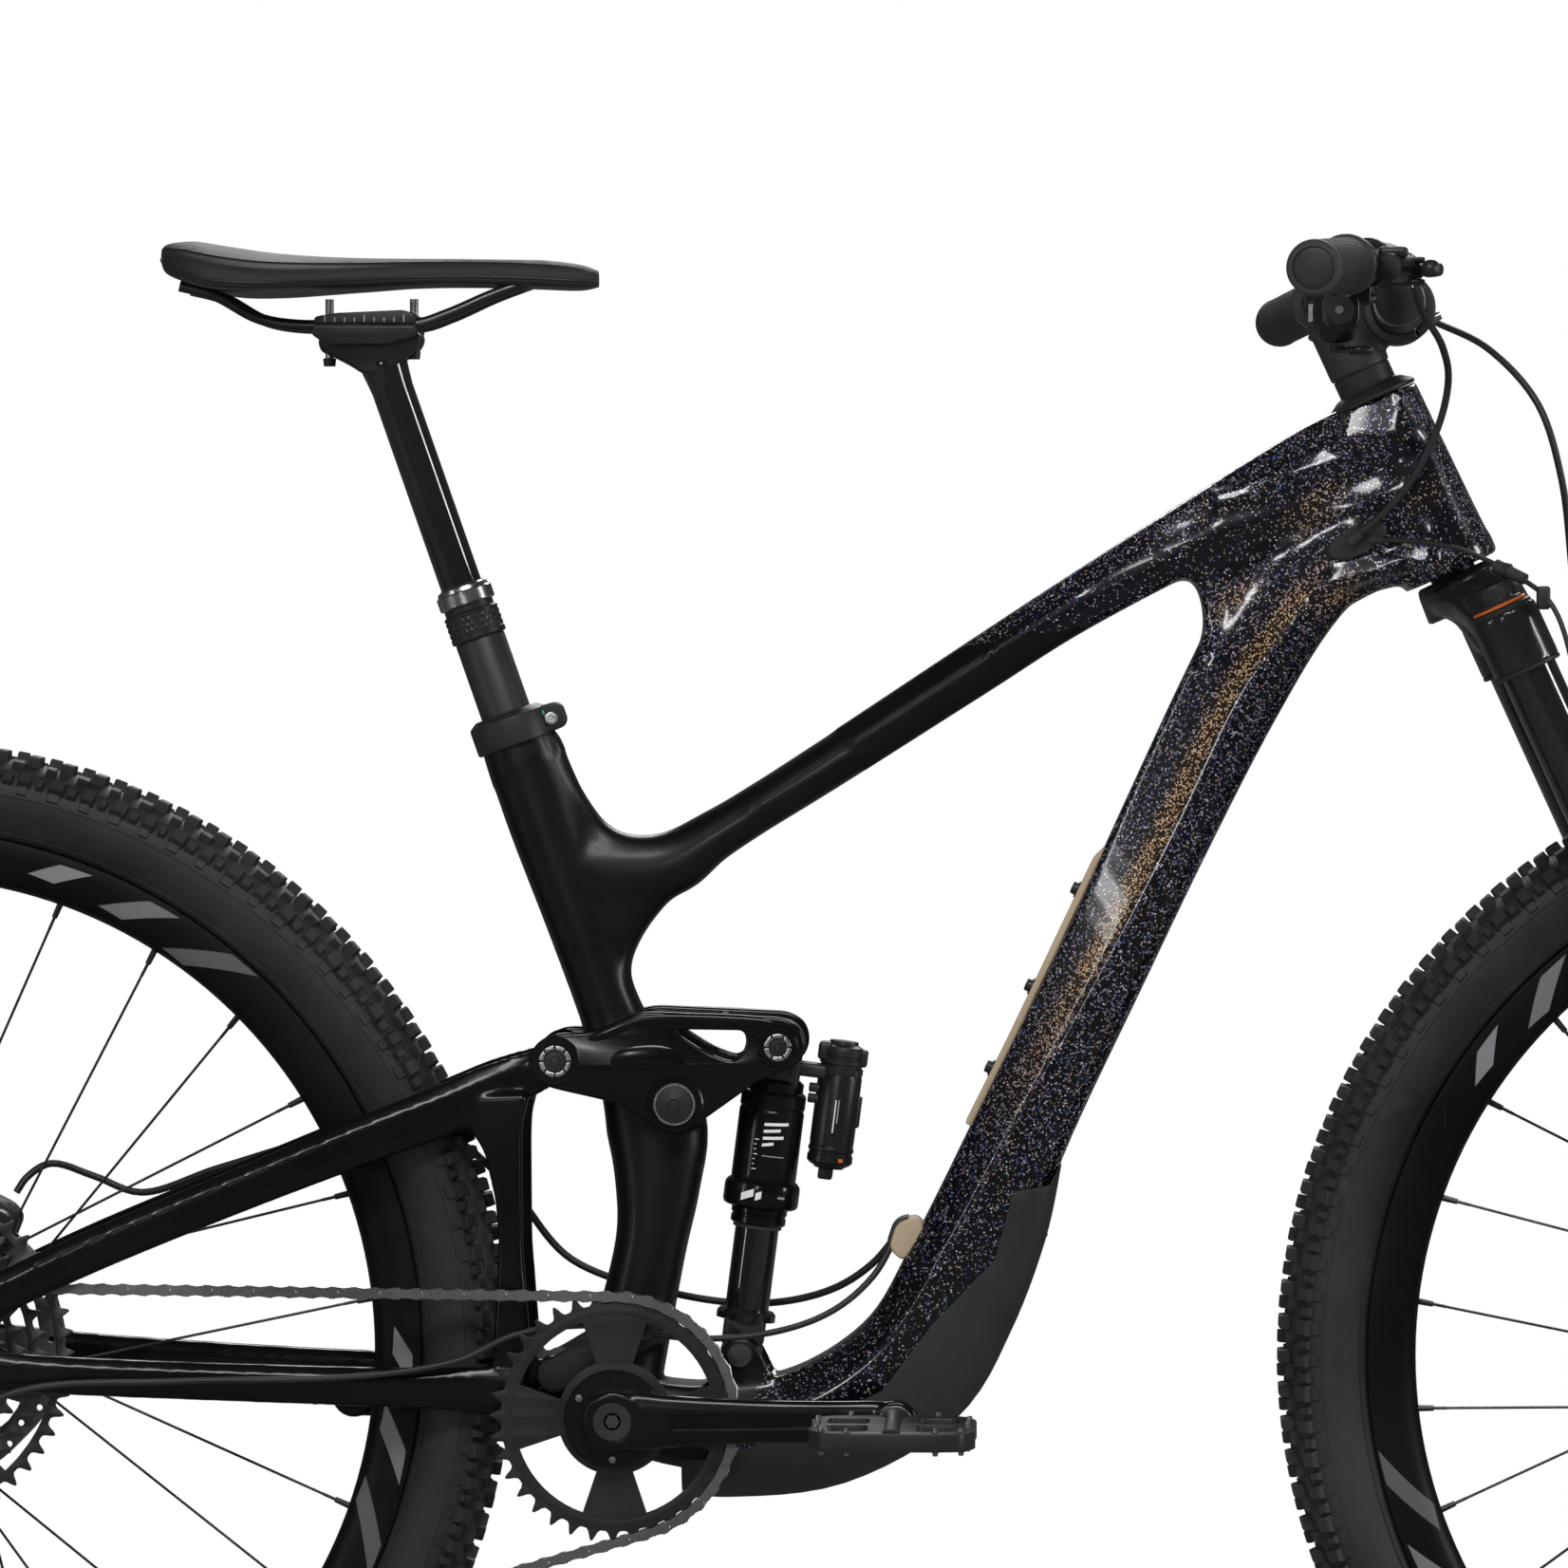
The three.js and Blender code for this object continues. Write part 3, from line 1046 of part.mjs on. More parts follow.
add('right_brake_body', mirrored(brakeBodyCut), anodised());
add('left_brake_lever', blade, anodised());
add('right_brake_lever', mirrored(blade), anodised());

// Shifter under the right side of the bar, dropper remote under the left
const podY = 184;
const podSpot = onBar(podY);
const podBody = join(
  clampRing(podY, 9, 14.5),
  loft([[podSpot[0] - 22, podY - 14, podSpot[2] - 28, 13, 10],
    [podSpot[0] - 18, podY + 2, podSpot[2] - 29, 18, 15],
    [podSpot[0] - 16, podY + 18, podSpot[2] - 28, 13, 11]], 8, 2.6, [1, 0, 0]),
  box(podSpot[0] - 16, podSpot[0] + 2, podY - 4.4, podY + 4.4, podSpot[2] - 24, podSpot[2] - 9)
);
add('shifter_body', mirrored(cut(podBody, barRoom)), anodised());
const paddlePivot = [podSpot[0] - 16, podY, podSpot[2] - 28];
const paddleAt = paddlePivot[2] - 19.6;
const paddle = join(
  rod([paddlePivot[0], podY, paddleAt - 4.5], [paddlePivot[0], podY, paddleAt], 6, 6),
  loft([[paddlePivot[0], podY, paddleAt - 3, 2, 5], [paddlePivot[0] + 8, podY + 20, paddleAt - 4, 2, 5],
    [paddlePivot[0] + 10, podY + 44, paddleAt - 5, 2.4, 8],
      [paddlePivot[0] + 10, podY + 56, paddleAt - 5, 2.4, 7]],
  8, 2.6, [1, 0, 0])
);
add('shift_paddle', mirrored(paddle), anodised());
const remoteBody = join(
  clampRing(podY, 9, 14.5),
  box(podSpot[0] - 14, podSpot[0] + 2, podY - 6, podY + 6, podSpot[2] - 22, podSpot[2] - 9),
  box(podSpot[0] - 9, podSpot[0] - 1, podY, 232, podSpot[2] - 21, podSpot[2] - 15)
);
add('left_controls', join(brakeBodyCut, cut(remoteBody, barRoom)), anodised());
const remoteAt = podSpot[2] - 22 - gap;
add('dropper_lever', join(
  rod([podSpot[0] - 6, podY, remoteAt - 5], [podSpot[0] - 6, podY, remoteAt], 7, 7),
  loft([[podSpot[0] - 6, podY + 2, remoteAt - 2.6, 2.2, 5], [podSpot[0] - 8, podY + 24, remoteAt - 3, 2.2, 6],
    [podSpot[0] - 12, podY + 50, remoteAt - 5, 2.4, 10], [podSpot[0] - 13, podY + 60, remoteAt - 6, 2.4, 8]],
  8, 2.6, [1, 0, 0])
), anodised());

// Hoses and cables
for (const [name, [radius, points]] of Object.entries(cords)) add(name, cord(points, radius), rubber());

export default group;
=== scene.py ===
import bmesh
import bpy
import math
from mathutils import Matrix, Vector

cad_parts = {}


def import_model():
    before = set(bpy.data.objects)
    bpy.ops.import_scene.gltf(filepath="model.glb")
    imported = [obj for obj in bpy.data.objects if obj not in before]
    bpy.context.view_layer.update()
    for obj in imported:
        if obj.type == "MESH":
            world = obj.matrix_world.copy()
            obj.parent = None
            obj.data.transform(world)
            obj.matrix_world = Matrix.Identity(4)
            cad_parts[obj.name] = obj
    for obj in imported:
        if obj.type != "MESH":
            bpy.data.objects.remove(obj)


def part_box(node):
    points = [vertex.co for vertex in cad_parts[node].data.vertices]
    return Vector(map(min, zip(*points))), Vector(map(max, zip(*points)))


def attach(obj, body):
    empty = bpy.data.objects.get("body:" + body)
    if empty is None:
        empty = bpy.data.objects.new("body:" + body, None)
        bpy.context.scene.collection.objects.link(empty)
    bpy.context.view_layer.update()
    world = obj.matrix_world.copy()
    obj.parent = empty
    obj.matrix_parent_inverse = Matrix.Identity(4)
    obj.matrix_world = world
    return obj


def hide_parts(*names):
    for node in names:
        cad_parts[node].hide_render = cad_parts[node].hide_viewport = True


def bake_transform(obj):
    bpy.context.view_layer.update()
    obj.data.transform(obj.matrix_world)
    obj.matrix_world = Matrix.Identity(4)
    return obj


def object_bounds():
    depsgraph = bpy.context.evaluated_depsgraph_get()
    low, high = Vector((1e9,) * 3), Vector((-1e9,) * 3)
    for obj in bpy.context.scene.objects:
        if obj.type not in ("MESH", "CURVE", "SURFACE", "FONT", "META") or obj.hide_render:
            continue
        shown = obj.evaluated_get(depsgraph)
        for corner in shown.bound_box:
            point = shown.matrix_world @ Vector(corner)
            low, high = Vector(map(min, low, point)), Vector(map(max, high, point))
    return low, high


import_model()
cadBox = [list(corner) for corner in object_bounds()]
print("frame loaded")

# Side view points are millimetres (x forward, z up); the drive side is at -y.
axles = {"rear": (-605, 372), "front": (605, 372)}
bottomBracket = (-167, 337)
pivots = {"rocker": (-131.5, 525.2), "stay": (-203.8, 551.2), "shockTop": (-69.1, 559.9),
    "shockLow": (-93, 372), "linkFrame": (-150, 390), "linkStay": (-205, 361)}
headAngle = math.radians(24.56)
seatAngle = math.radians(19.3)
headBottom = (338, 847)
collarAt = (-233, 751)
hangerAt = (-595, 347)
guideAt = (-585, 262)
tensionAt = (-572, 172)
crankLength = 170


def m(x, y, z):
    return Vector((x, y, z)) / 1000


# local x and z turned by an angle about a point of the side view
def leaning(angle, at):
    c, s = math.cos(angle), math.sin(angle)
    return lambda x, y, z: Vector((at[0] + x * c - z * s, y, at[1] + x * s + z * c))


shockTilt = math.atan2(-69.1 + 93, 559.9 - 372)
fromSteerer = leaning(headAngle, headBottom)
fromPost = leaning(seatAngle, collarAt)
fromShock = leaning(-shockTilt, pivots["shockLow"])


def world(x, y, z):
    return Vector((x, y, z))


# Making meshes
def makeObject(name, vertices, faces, material, smooth=True):
    mesh = bpy.data.meshes.new(name)
    mesh.from_pydata([Vector(v) / 1000 for v in vertices], [], faces)
    mesh.validate()
    cleanMesh(mesh)
    obj = bpy.data.objects.new(name, mesh)
    bpy.context.scene.collection.objects.link(obj)
    if material:
        mesh.materials.append(material)
    mesh.shade_smooth() if smooth else mesh.shade_flat()
    return obj


def cleanMesh(mesh, merge=0.0, dissolve=False):
    bm = bmesh.new()
    bm.from_mesh(mesh)
    if merge:
        bmesh.ops.remove_doubles(bm, verts=bm.verts, dist=merge)
    if dissolve:
        bmesh.ops.dissolve_degenerate(bm, edges=bm.edges, dist=merge)
    bmesh.ops.recalc_face_normals(bm, faces=bm.faces)
    bm.to_mesh(mesh)
    bm.free()


def joinObjects(name, objects):
    kept = objects[0]
    with bpy.context.temp_override(active_object=kept, object=kept, selected_objects=objects,
            selected_editable_objects=objects):
        bpy.ops.object.join()
    kept.name = name
    kept.data.name = name
    return kept


def applyModifiers(obj):
    graph = bpy.context.evaluated_depsgraph_get()
    mesh = bpy.data.meshes.new_from_object(obj.evaluated_get(graph))
    old = obj.data
    obj.modifiers.clear()
    obj.data = mesh
    mesh.name = obj.name
    bpy.data.meshes.remove(old)
    return obj


def sharpen(obj, angle=35):
    obj.data.shade_smooth()
    obj.data.set_sharp_from_angle(angle=math.radians(angle))
    return obj


def bevel(obj, width, segments=2, angle=35):
    modifier = obj.modifiers.new("bevel", "BEVEL")
    modifier.width = width / 1000
    modifier.segments = segments
    modifier.limit_method = "ANGLE"
    modifier.angle_limit = math.radians(angle)
    applyModifiers(obj)
    return sharpen(obj, 40)


def blendTogether(obj, voxel, rounds=3, factor=0.5):
    remesh = obj.modifiers.new("remesh", "REMESH")
    remesh.mode = "VOXEL"
    remesh.voxel_size = voxel / 1000
    remesh.use_smooth_shade = True
    smooth = obj.modifiers.new("smooth", "SMOOTH")
    smooth.iterations = rounds
    smooth.factor = factor
    materials = list(obj.data.materials)
    applyModifiers(obj)
    obj.data.materials.clear()
    for material in materials[:1]:
        obj.data.materials.append(material)
    obj.data.shade_smooth()
    return obj


def clamp(value):
    return min(1, max(0, value))


def onCircle(centre, radius, angle):
    return centre[0] + radius * math.cos(angle), centre[1] + radius * math.sin(angle)


def turns(count):
    return [2 * math.pi * k / count for k in range(count)]


# the rows before and after one row
def beside(rows, i):
    return rows[max(0, i - 1)], rows[min(len(rows) - 1, i + 1)]


def headingAt(rows, i):
    a, b = beside(rows, i)
    return Vector((b[0] - a[0], b[1] - a[1], b[2] - a[2])).normalized()


# height and width of a soft oval at even turns
def ovalSection(sides, power):
    return [(math.copysign(abs(math.sin(a)) ** power, math.sin(a)),
        math.copysign(abs(math.cos(a)) ** power, math.cos(a))) for a in turns(sides)]


def ovalRing(centre, up, out, tall, broad, section):
    return [centre + up * tall * s + out * broad * c for s, c in section]


def roundRing(centre, side, up, radius, count):
    return [centre + side * radius * math.cos(a) + up * radius * math.sin(a) for a in turns(count)]


def loftRings(rings):
    vertices = [point for ring in rings for point in ring]
    count = len(rings[0])
    faces = []
    for i in range(len(rings) - 1):
        for k in range(count):
            a, b = i * count + k, i * count + (k + 1) % count
            faces.append((a, b, b + count, a + count))
    faces.append(tuple(range(count - 1, -1, -1)))
    faces.append(tuple(range((len(rings) - 1) * count, len(rings) * count)))
    return vertices, faces


# rows of equal length, passed through by a smooth curve
def smoothRow(rows, steps):
    out = []
    for i in range(len(rows) - 1):
        p0 = rows[max(0, i - 1)]
        p1, p2 = rows[i], rows[i + 1]
        p3 = rows[min(len(rows) - 1, i + 2)]
        for k in range(steps):
            t = k / steps
            out.append([0.5 * (2 * b + (c - a) * t + (2 * a - 5 * b + 4 * c - d) * t * t
                + (3 * b - a - 3 * c + d) * t ** 3) for a, b, c, d in zip(p0, p1, p2, p3)])
    out.append(list(rows[-1]))
    return out


# stations: x, z, up, down, creaseUp, halfWide, topHalf, lowHalf; the section is a soft octagon
def tubeOfFacets(name, stations, material, steps=5, y=0):
    rows = smoothRow(stations, steps)
    rings = []
    for i, (x, z, up, down, crease, wide, topHalf, lowHalf) in enumerate(rows):
        a, b = beside(rows, i)
        length = math.hypot(b[0] - a[0], b[1] - a[1])
        nx, nz = -(b[1] - a[1]) / length, (b[0] - a[0]) / length
        half = [(up, topHalf), (crease, wide), (-down * 0.68, wide * 0.93), (-down, lowHalf)]
        ring = half + [(u, -v) for u, v in reversed(half)]
        rings.append([(x + nx * u, y + v, z + nz * u) for u, v in ring])
    return makeObject(name, *loftRings(rings), material)


# stations: x, y, z, half tall, half wide
def ovalTube(name, stations, material, sides=20, squareness=2.4, steps=5, sideways=(0, 1, 0)):
    rows = smoothRow(stations, steps)
    wide = Vector(sideways)
    section = ovalSection(sides, 2 / squareness)
    rings = []
    for i, (x, y, z, tall, broad) in enumerate(rows):
        along = headingAt(rows, i)
        up = along.cross(wide).normalized()
        out = up.cross(along).normalized()
        rings.append([Vector((x, y, z)) + up * (tall * s) + out * (broad * c) for s, c in section])
    return makeObject(name, *loftRings(rings), material)


# profile: radius, distance along the axis; place turns local millimetres into world ones
def turnedAbout(name, profile, place, material, axis="z", at=(0, 0, 0), segments=48, closed=False,
        crisp=30):
    vertices, faces = [], []
    count = len(profile)
    for angle in turns(segments):
        c, s = math.cos(angle), math.sin(angle)
        for radius, t in profile:
            if axis == "z":
                local = (at[0] + radius * c, at[1] + radius * s, at[2] + t)
            elif axis == "y":
                local = (at[0] + radius * c, at[1] + t, at[2] + radius * s)
            else:
                local = (at[0] + t, at[1] + radius * c, at[2] + radius * s)
            vertices.append(place(*local))
    last = count if closed else count - 1
    for k in range(segments):
        n = (k + 1) % segments
        for i in range(last):
            j = (i + 1) % count
            faces.append((k * count + i, k * count + j, n * count + j, n * count + i))
    if not closed:
        if profile[0][0] > 1e-6:
            faces.append(tuple(k * count for k in range(segments)))
        if profile[-1][0] > 1e-6:
            faces.append(tuple(k * count + count - 1 for k in reversed(range(segments))))
    obj = makeObject(name, vertices, faces, material)
    cleanMesh(obj.data, 1e-7, True)
    return sharpen(obj, crisp)


# a form turned about the cross axis through a point of the side view
def turnedAcross(name, profile, at, material, segments=48, closed=False, crisp=30):
    return turnedAbout(name, profile, world, material, "y", (at[0], 0, at[1]), segments, closed, crisp)


# cuts each corner of a turned profile by a small chamfer
def softProfile(profile, radius):
    out = [profile[0]]
    for i in range(1, len(profile) - 1):
        a, b, c = (Vector(profile[j]) for j in (i - 1, i, i + 1))
        before = min(radius, (a - b).length * 0.45)
        after = min(radius, (c - b).length * 0.45)
        p = b + (a - b).normalized() * before
        q = b + (c - b).normalized() * after
        middle = (p + q + b * 0.8) / 2.8
        out += [tuple(p), tuple(middle), tuple(q)]
    out.append(profile[-1])
    return out


def roundedOutline(points, radius, steps=4):
    out = []
    count = len(points)
    for i in range(count):
        a, b, c = (Vector(points[j % count]) for j in (i - 1, i, i + 1))
        reach = min(radius, (a - b).length * 0.48, (c - b).length * 0.48)
        p = b + (a - b).normalized() * reach
        q = b + (c - b).normalized() * reach
        for k in range(steps + 1):
            t = k / steps
            out.append(tuple(p * (1 - t) ** 2 + b * 2 * t * (1 - t) + q * t * t))
    return out


# a flat piece cut from an outline in side view, with softened edges
def plate(name, outline, y0, y1, material, holes=(), soft=0.8, place=world, corner=6):
    curve = bpy.data.curves.new(name, "CURVE")
    curve.dimensions = "2D"
    curve.fill_mode = "BOTH"
    curve.extrude = abs(y1 - y0) / 2 - soft
    curve.bevel_depth = soft
    curve.bevel_resolution = 2
    curve.offset = -soft
    for points in [outline, *holes]:
        ring = roundedOutline(points, corner) if corner else points
        spline = curve.splines.new("POLY")
        spline.points.add(len(ring) - 1)
        for point, (x, z) in zip(spline.points, ring):
            point.co = (x, z, 0, 1)
        spline.use_cyclic_u = True
    holder = bpy.data.objects.new(name, curve)
    bpy.context.scene.collection.objects.link(holder)
    graph = bpy.context.evaluated_depsgraph_get()
    mesh = bpy.data.meshes.new_from_object(holder.evaluated_get(graph))
    bpy.data.objects.remove(holder)
    bpy.data.curves.remove(curve)
    middle = (y0 + y1) / 2
    vertices = [place(v.co.x, middle - v.co.z, v.co.y) for v in mesh.vertices]
    faces = [tuple(p.vertices) for p in mesh.polygons]
    bpy.data.meshes.remove(mesh)
    obj = makeObject(name, vertices, faces, material)
    cleanMesh(obj.data, 2e-6)
    return sharpen(obj, 32)


def block(name, x0, x1, y0, y1, z0, z1, material, soft=1.5, place=world):
    corners = [(x, y, z) for x in (x0, x1) for y in sorted((y0, y1)) for z in (z0, z1)]
    faces = [(0, 1, 3, 2), (4, 6, 7, 5), (0, 4, 5, 1), (2, 3, 7, 6), (0, 2, 6, 4), (1, 5, 7, 3)]
    obj = makeObject(name, [place(*c) for c in corners], faces, material)
    return bevel(obj, soft, 3)


def rodBetween(name, start, end, radius, material, endRadius=None, segments=16):
    a, b = Vector(start), Vector(end)
    along = (b - a).normalized()
    side = along.orthogonal().normalized()
    other = along.cross(side)
    endRadius = radius if endRadius is None else endRadius
    rings = []
    for centre, r in ((a, radius), (b, endRadius)):
        rings.append(roundRing(centre, side, other, r, segments))
    return sharpen(makeObject(name, *loftRings(rings), material), 40)


# a round tube through rows of points, thinned to an even spacing
def roundTube(name, rows, radius, material, up, sides, every):
    rows = [Vector(row) for row in rows]
    thinned = [rows[0]]
    for row in rows[1:-1]:
        if (row - thinned[-1]).length >= every:
            thinned.append(row)
    thinned.append(rows[-1])
    rings = []
    for i, row in enumerate(thinned):
        a, b = beside(thinned, i)
        along = (b - a).normalized()
        side = along.cross(up)
        side = side.normalized() if side.length > 1e-4 else along.orthogonal().normalized()
        up = side.cross(along).normalized()
        rings.append(roundRing(row, side, up, radius, sides))
    return sharpen(makeObject(name, *loftRings(rings), material), 60)


def hoseAlong(name, points, radius, material, sides=14, every=5):
    rows = smoothRow([list(p) for p in points], 14)
    return roundTube(name, rows, radius, material, Vector((0, 0, 1)), sides, every)


# Materials
class Net:
    def __init__(self, tree):
        self.tree = tree

    def add(self, kind, inputs=None, **settings):
        node = self.tree.nodes.new("ShaderNode" + kind)
        for key, value in settings.items():
            setattr(node, key, value)
        for key, value in (inputs or {}).items():
            if isinstance(value, bpy.types.NodeSocket):
                self.tree.links.new(value, node.inputs[key])
            else:
                node.inputs[key].default_value = value
        return node

    def math(self, operation, a, b=0.0, c=None):
        inputs = {0: a, 1: b}
        if c is not None:
            inputs[2] = c
        return self.add("Math", inputs, operation=operation).outputs[0]

    def mix(self, factor, a, b):
        return self.add("Mix", {"Factor": factor, 6: a, 7: b}, data_type="RGBA").outputs[2]

    def range(self, value, low, high, toLow=0.0, toHigh=1.0, smooth=False):
        node = self.add("MapRange", {"Value": value, "From Min": low, "From Max": high, "To Min": toLow,
            "To Max": toHigh})
        node.interpolation_type = "SMOOTHSTEP" if smooth else "LINEAR"
        return node.outputs[0]

    def ground(self):
        return self.add("TexCoord").outputs["Object"]


def newGroup(name, inputs, outputs):
    tree = bpy.data.node_groups.new(name, "ShaderNodeTree")
    kinds = {"f": "NodeSocketFloat", "c": "NodeSocketColor", "v": "NodeSocketVector"}
    for label, kind in inputs:
        tree.interface.new_socket(label, in_out="INPUT", socket_type=kinds[kind])
    for label, kind in outputs:
        tree.interface.new_socket(label, in_out="OUTPUT", socket_type=kinds[kind])
    start = tree.nodes.new("NodeGroupInput")
    end = tree.nodes.new("NodeGroupOutput")
    return tree, Net(tree), start.outputs, end.inputs


def send(net, socket, target):
    net.tree.links.new(socket, target)


# cloudy tone, small scuffs and a fine grain for any plain surface
def makeGrain():
    tree, net, given, out = newGroup("grain",
        [("Color", "c"), ("Second Color", "c"), ("Roughness", "f"), ("Variation", "f"), ("Scale", "f"),
        ("Scuffs", "f")], [("Color", "c"), ("Roughness", "f"), ("Height", "f")])
    at = net.ground()
    cloud = net.add("TexNoise", {"Vector": at, "Scale": 9.0, "Detail": 4.0, "Roughness": 0.6}).outputs[0]
    fine = net.add("TexNoise", {"Vector": at, "Scale": given["Scale"], "Detail": 3.0,
        "Roughness": 0.7}).outputs[0]
    stretched = net.add("Mapping", {"Vector": at, "Scale": (30, 210, 60),
        "Rotation": (0.3, 0.9, 0.2)}).outputs[0]
    scratch = net.add("TexNoise", {"Vector": stretched, "Scale": 2.4, "Detail": 6.0, "Roughness": 0.75,
        "Distortion": 0.4}).outputs[0]
    scuff = net.math("MULTIPLY", net.range(scratch, 0.6, 0.76, smooth=True), given["Scuffs"])
    tone = net.range(cloud, 0.35, 0.68)
    worn = net.math("MULTIPLY", net.math("ADD", tone, scuff), given["Variation"])
    send(net, net.mix(net.math("MINIMUM", worn, 1.0), given["Color"], given["Second Color"]), out["Color"])
    rough = net.math("ADD", given["Roughness"],
        net.math("MULTIPLY", net.range(cloud, 0.3, 0.7, -0.5, 0.5), 0.12))
    rough = net.math("ADD", rough, net.math("MULTIPLY", net.range(fine, 0.3, 0.7, -0.5, 0.5), 0.1))
    send(net, net.math("ADD", rough, net.math("MULTIPLY", scuff, 0.25)), out["Roughness"])
    send(net, net.math("ADD", fine, net.math("MULTIPLY", scratch, 0.4)), out["Height"])
    return tree


# metal flakes of several colours under lacquer
def makeFlakes():
    tree, net, given, out = newGroup("flakes",
        [("Base", "c"), ("Size", "f"), ("Density", "f"), ("Warmth", "f")],
        [("Color", "c"), ("Height", "f")])
    at = net.ground()
    dots = net.add("TexVoronoi", {"Vector": at, "Scale": given["Size"], "Randomness": 1.0})
    part = net.add("SeparateColor", {"Color": dots.outputs["Color"]}).outputs
    chosen = net.math("LESS_THAN", part[0], given["Density"])
    amount = net.math("MULTIPLY", chosen, net.range(dots.outputs["Distance"], 0.62, 0.42))
    hue = net.add("ValToRGB", {"Fac": part[1]})
    ramp = hue.color_ramp
    ramp.interpolation = "CONSTANT"
    stops = [(0.0, (0.3, 0.29, 0.36, 1)), (0.34, (0.06, 0.1, 0.34, 1)), (0.46, (0.26, 0.16, 0.32, 1)),
        (0.6, (0.6, 0.6, 0.64, 1)), (0.72, (0.4, 0.25, 0.14, 1)), (0.86, (0.1, 0.16, 0.2, 1))]
    while len(ramp.elements) < len(stops):
        ramp.elements.new(1.0)
    for element, (place, colour) in zip(ramp.elements, stops):
        element.position = place
        element.color = colour
    warm = net.mix(part[2], (0.62, 0.3, 0.1, 1), (0.85, 0.62, 0.36, 1))
    colour = net.mix(given["Warmth"], hue.outputs["Color"], warm)
    send(net, net.mix(amount, given["Base"], colour), out["Color"])
    send(net, net.math("MULTIPLY", net.math("SUBTRACT", 1.0, dots.outputs["Distance"]), part[0]),
        out["Height"])
    return tree


# fine rings left by a lathe or a brush, along one axis
def makeTurned():
    tree, net, given, out = newGroup("turned", [("Direction", "v"), ("Scale", "f")],
        [("Roughness", "f"), ("Height", "f")])
    at = net.ground()
    t = net.add("VectorMath", {0: at, 1: given["Direction"]}, operation="DOT_PRODUCT").outputs["Value"]
    line = net.add("TexNoise", {"W": t, "Scale": given["Scale"], "Detail": 2.0},
        noise_dimensions="1D").outputs[0]
    send(net, net.range(line, 0.3, 0.7, -0.08, 0.1), out["Roughness"])
    send(net, line, out["Height"])
    return tree


groups = {"grain": makeGrain(), "flakes": makeFlakes(), "turned": makeTurned()}


def startMaterial(name):
    material = bpy.data.materials.new(name)
    material.use_nodes = True
    tree = material.node_tree
    tree.nodes.clear()
    net = Net(tree)
    surface = net.add("BsdfPrincipled")
    output = net.add("OutputMaterial")
    tree.links.new(surface.outputs[0], output.inputs["Surface"])
    return material, net, surface


def useGroup(net, name, inputs):
    return net.add("Group", inputs, node_tree=groups[name]).outputs


def bump(net, surface, height, strength, distance=0.0004):
    node = net.add("Bump", {"Height": height, "Strength": strength, "Distance": distance})
    net.tree.links.new(node.outputs[0], surface.inputs["Normal"])


def plainMaterial(name, settings):
    material, net, surface = startMaterial(name)
    grain = useGroup(net, "grain", {"Color": settings["colour"], "Second Color": settings["second"],
        "Roughness": settings["rough"], "Variation": settings.get("variation", 0.5),
        "Scale": settings.get("scale", 900.0), "Scuffs": settings.get("scuffs", 0.3)})
    send(net, grain["Color"], surface.inputs["Base Color"])
    send(net, grain["Roughness"], surface.inputs["Roughness"])
    for socket, key, usual in (("Metallic", "metal", 0.0), ("Specular IOR Level", "specular", 0.4),
            ("Coat Weight", "coat", 0.0), ("Coat Roughness", "coatRough", 0.05)):
        surface.inputs[socket].default_value = settings.get(key, usual)
    bump(net, surface, grain["Height"], settings.get("bump", 0.15), settings.get("depth", 0.0003))
    return material


def grey(value, warm=0.0):
    return (value * (1 + warm), value, value * (1 - warm), 1)


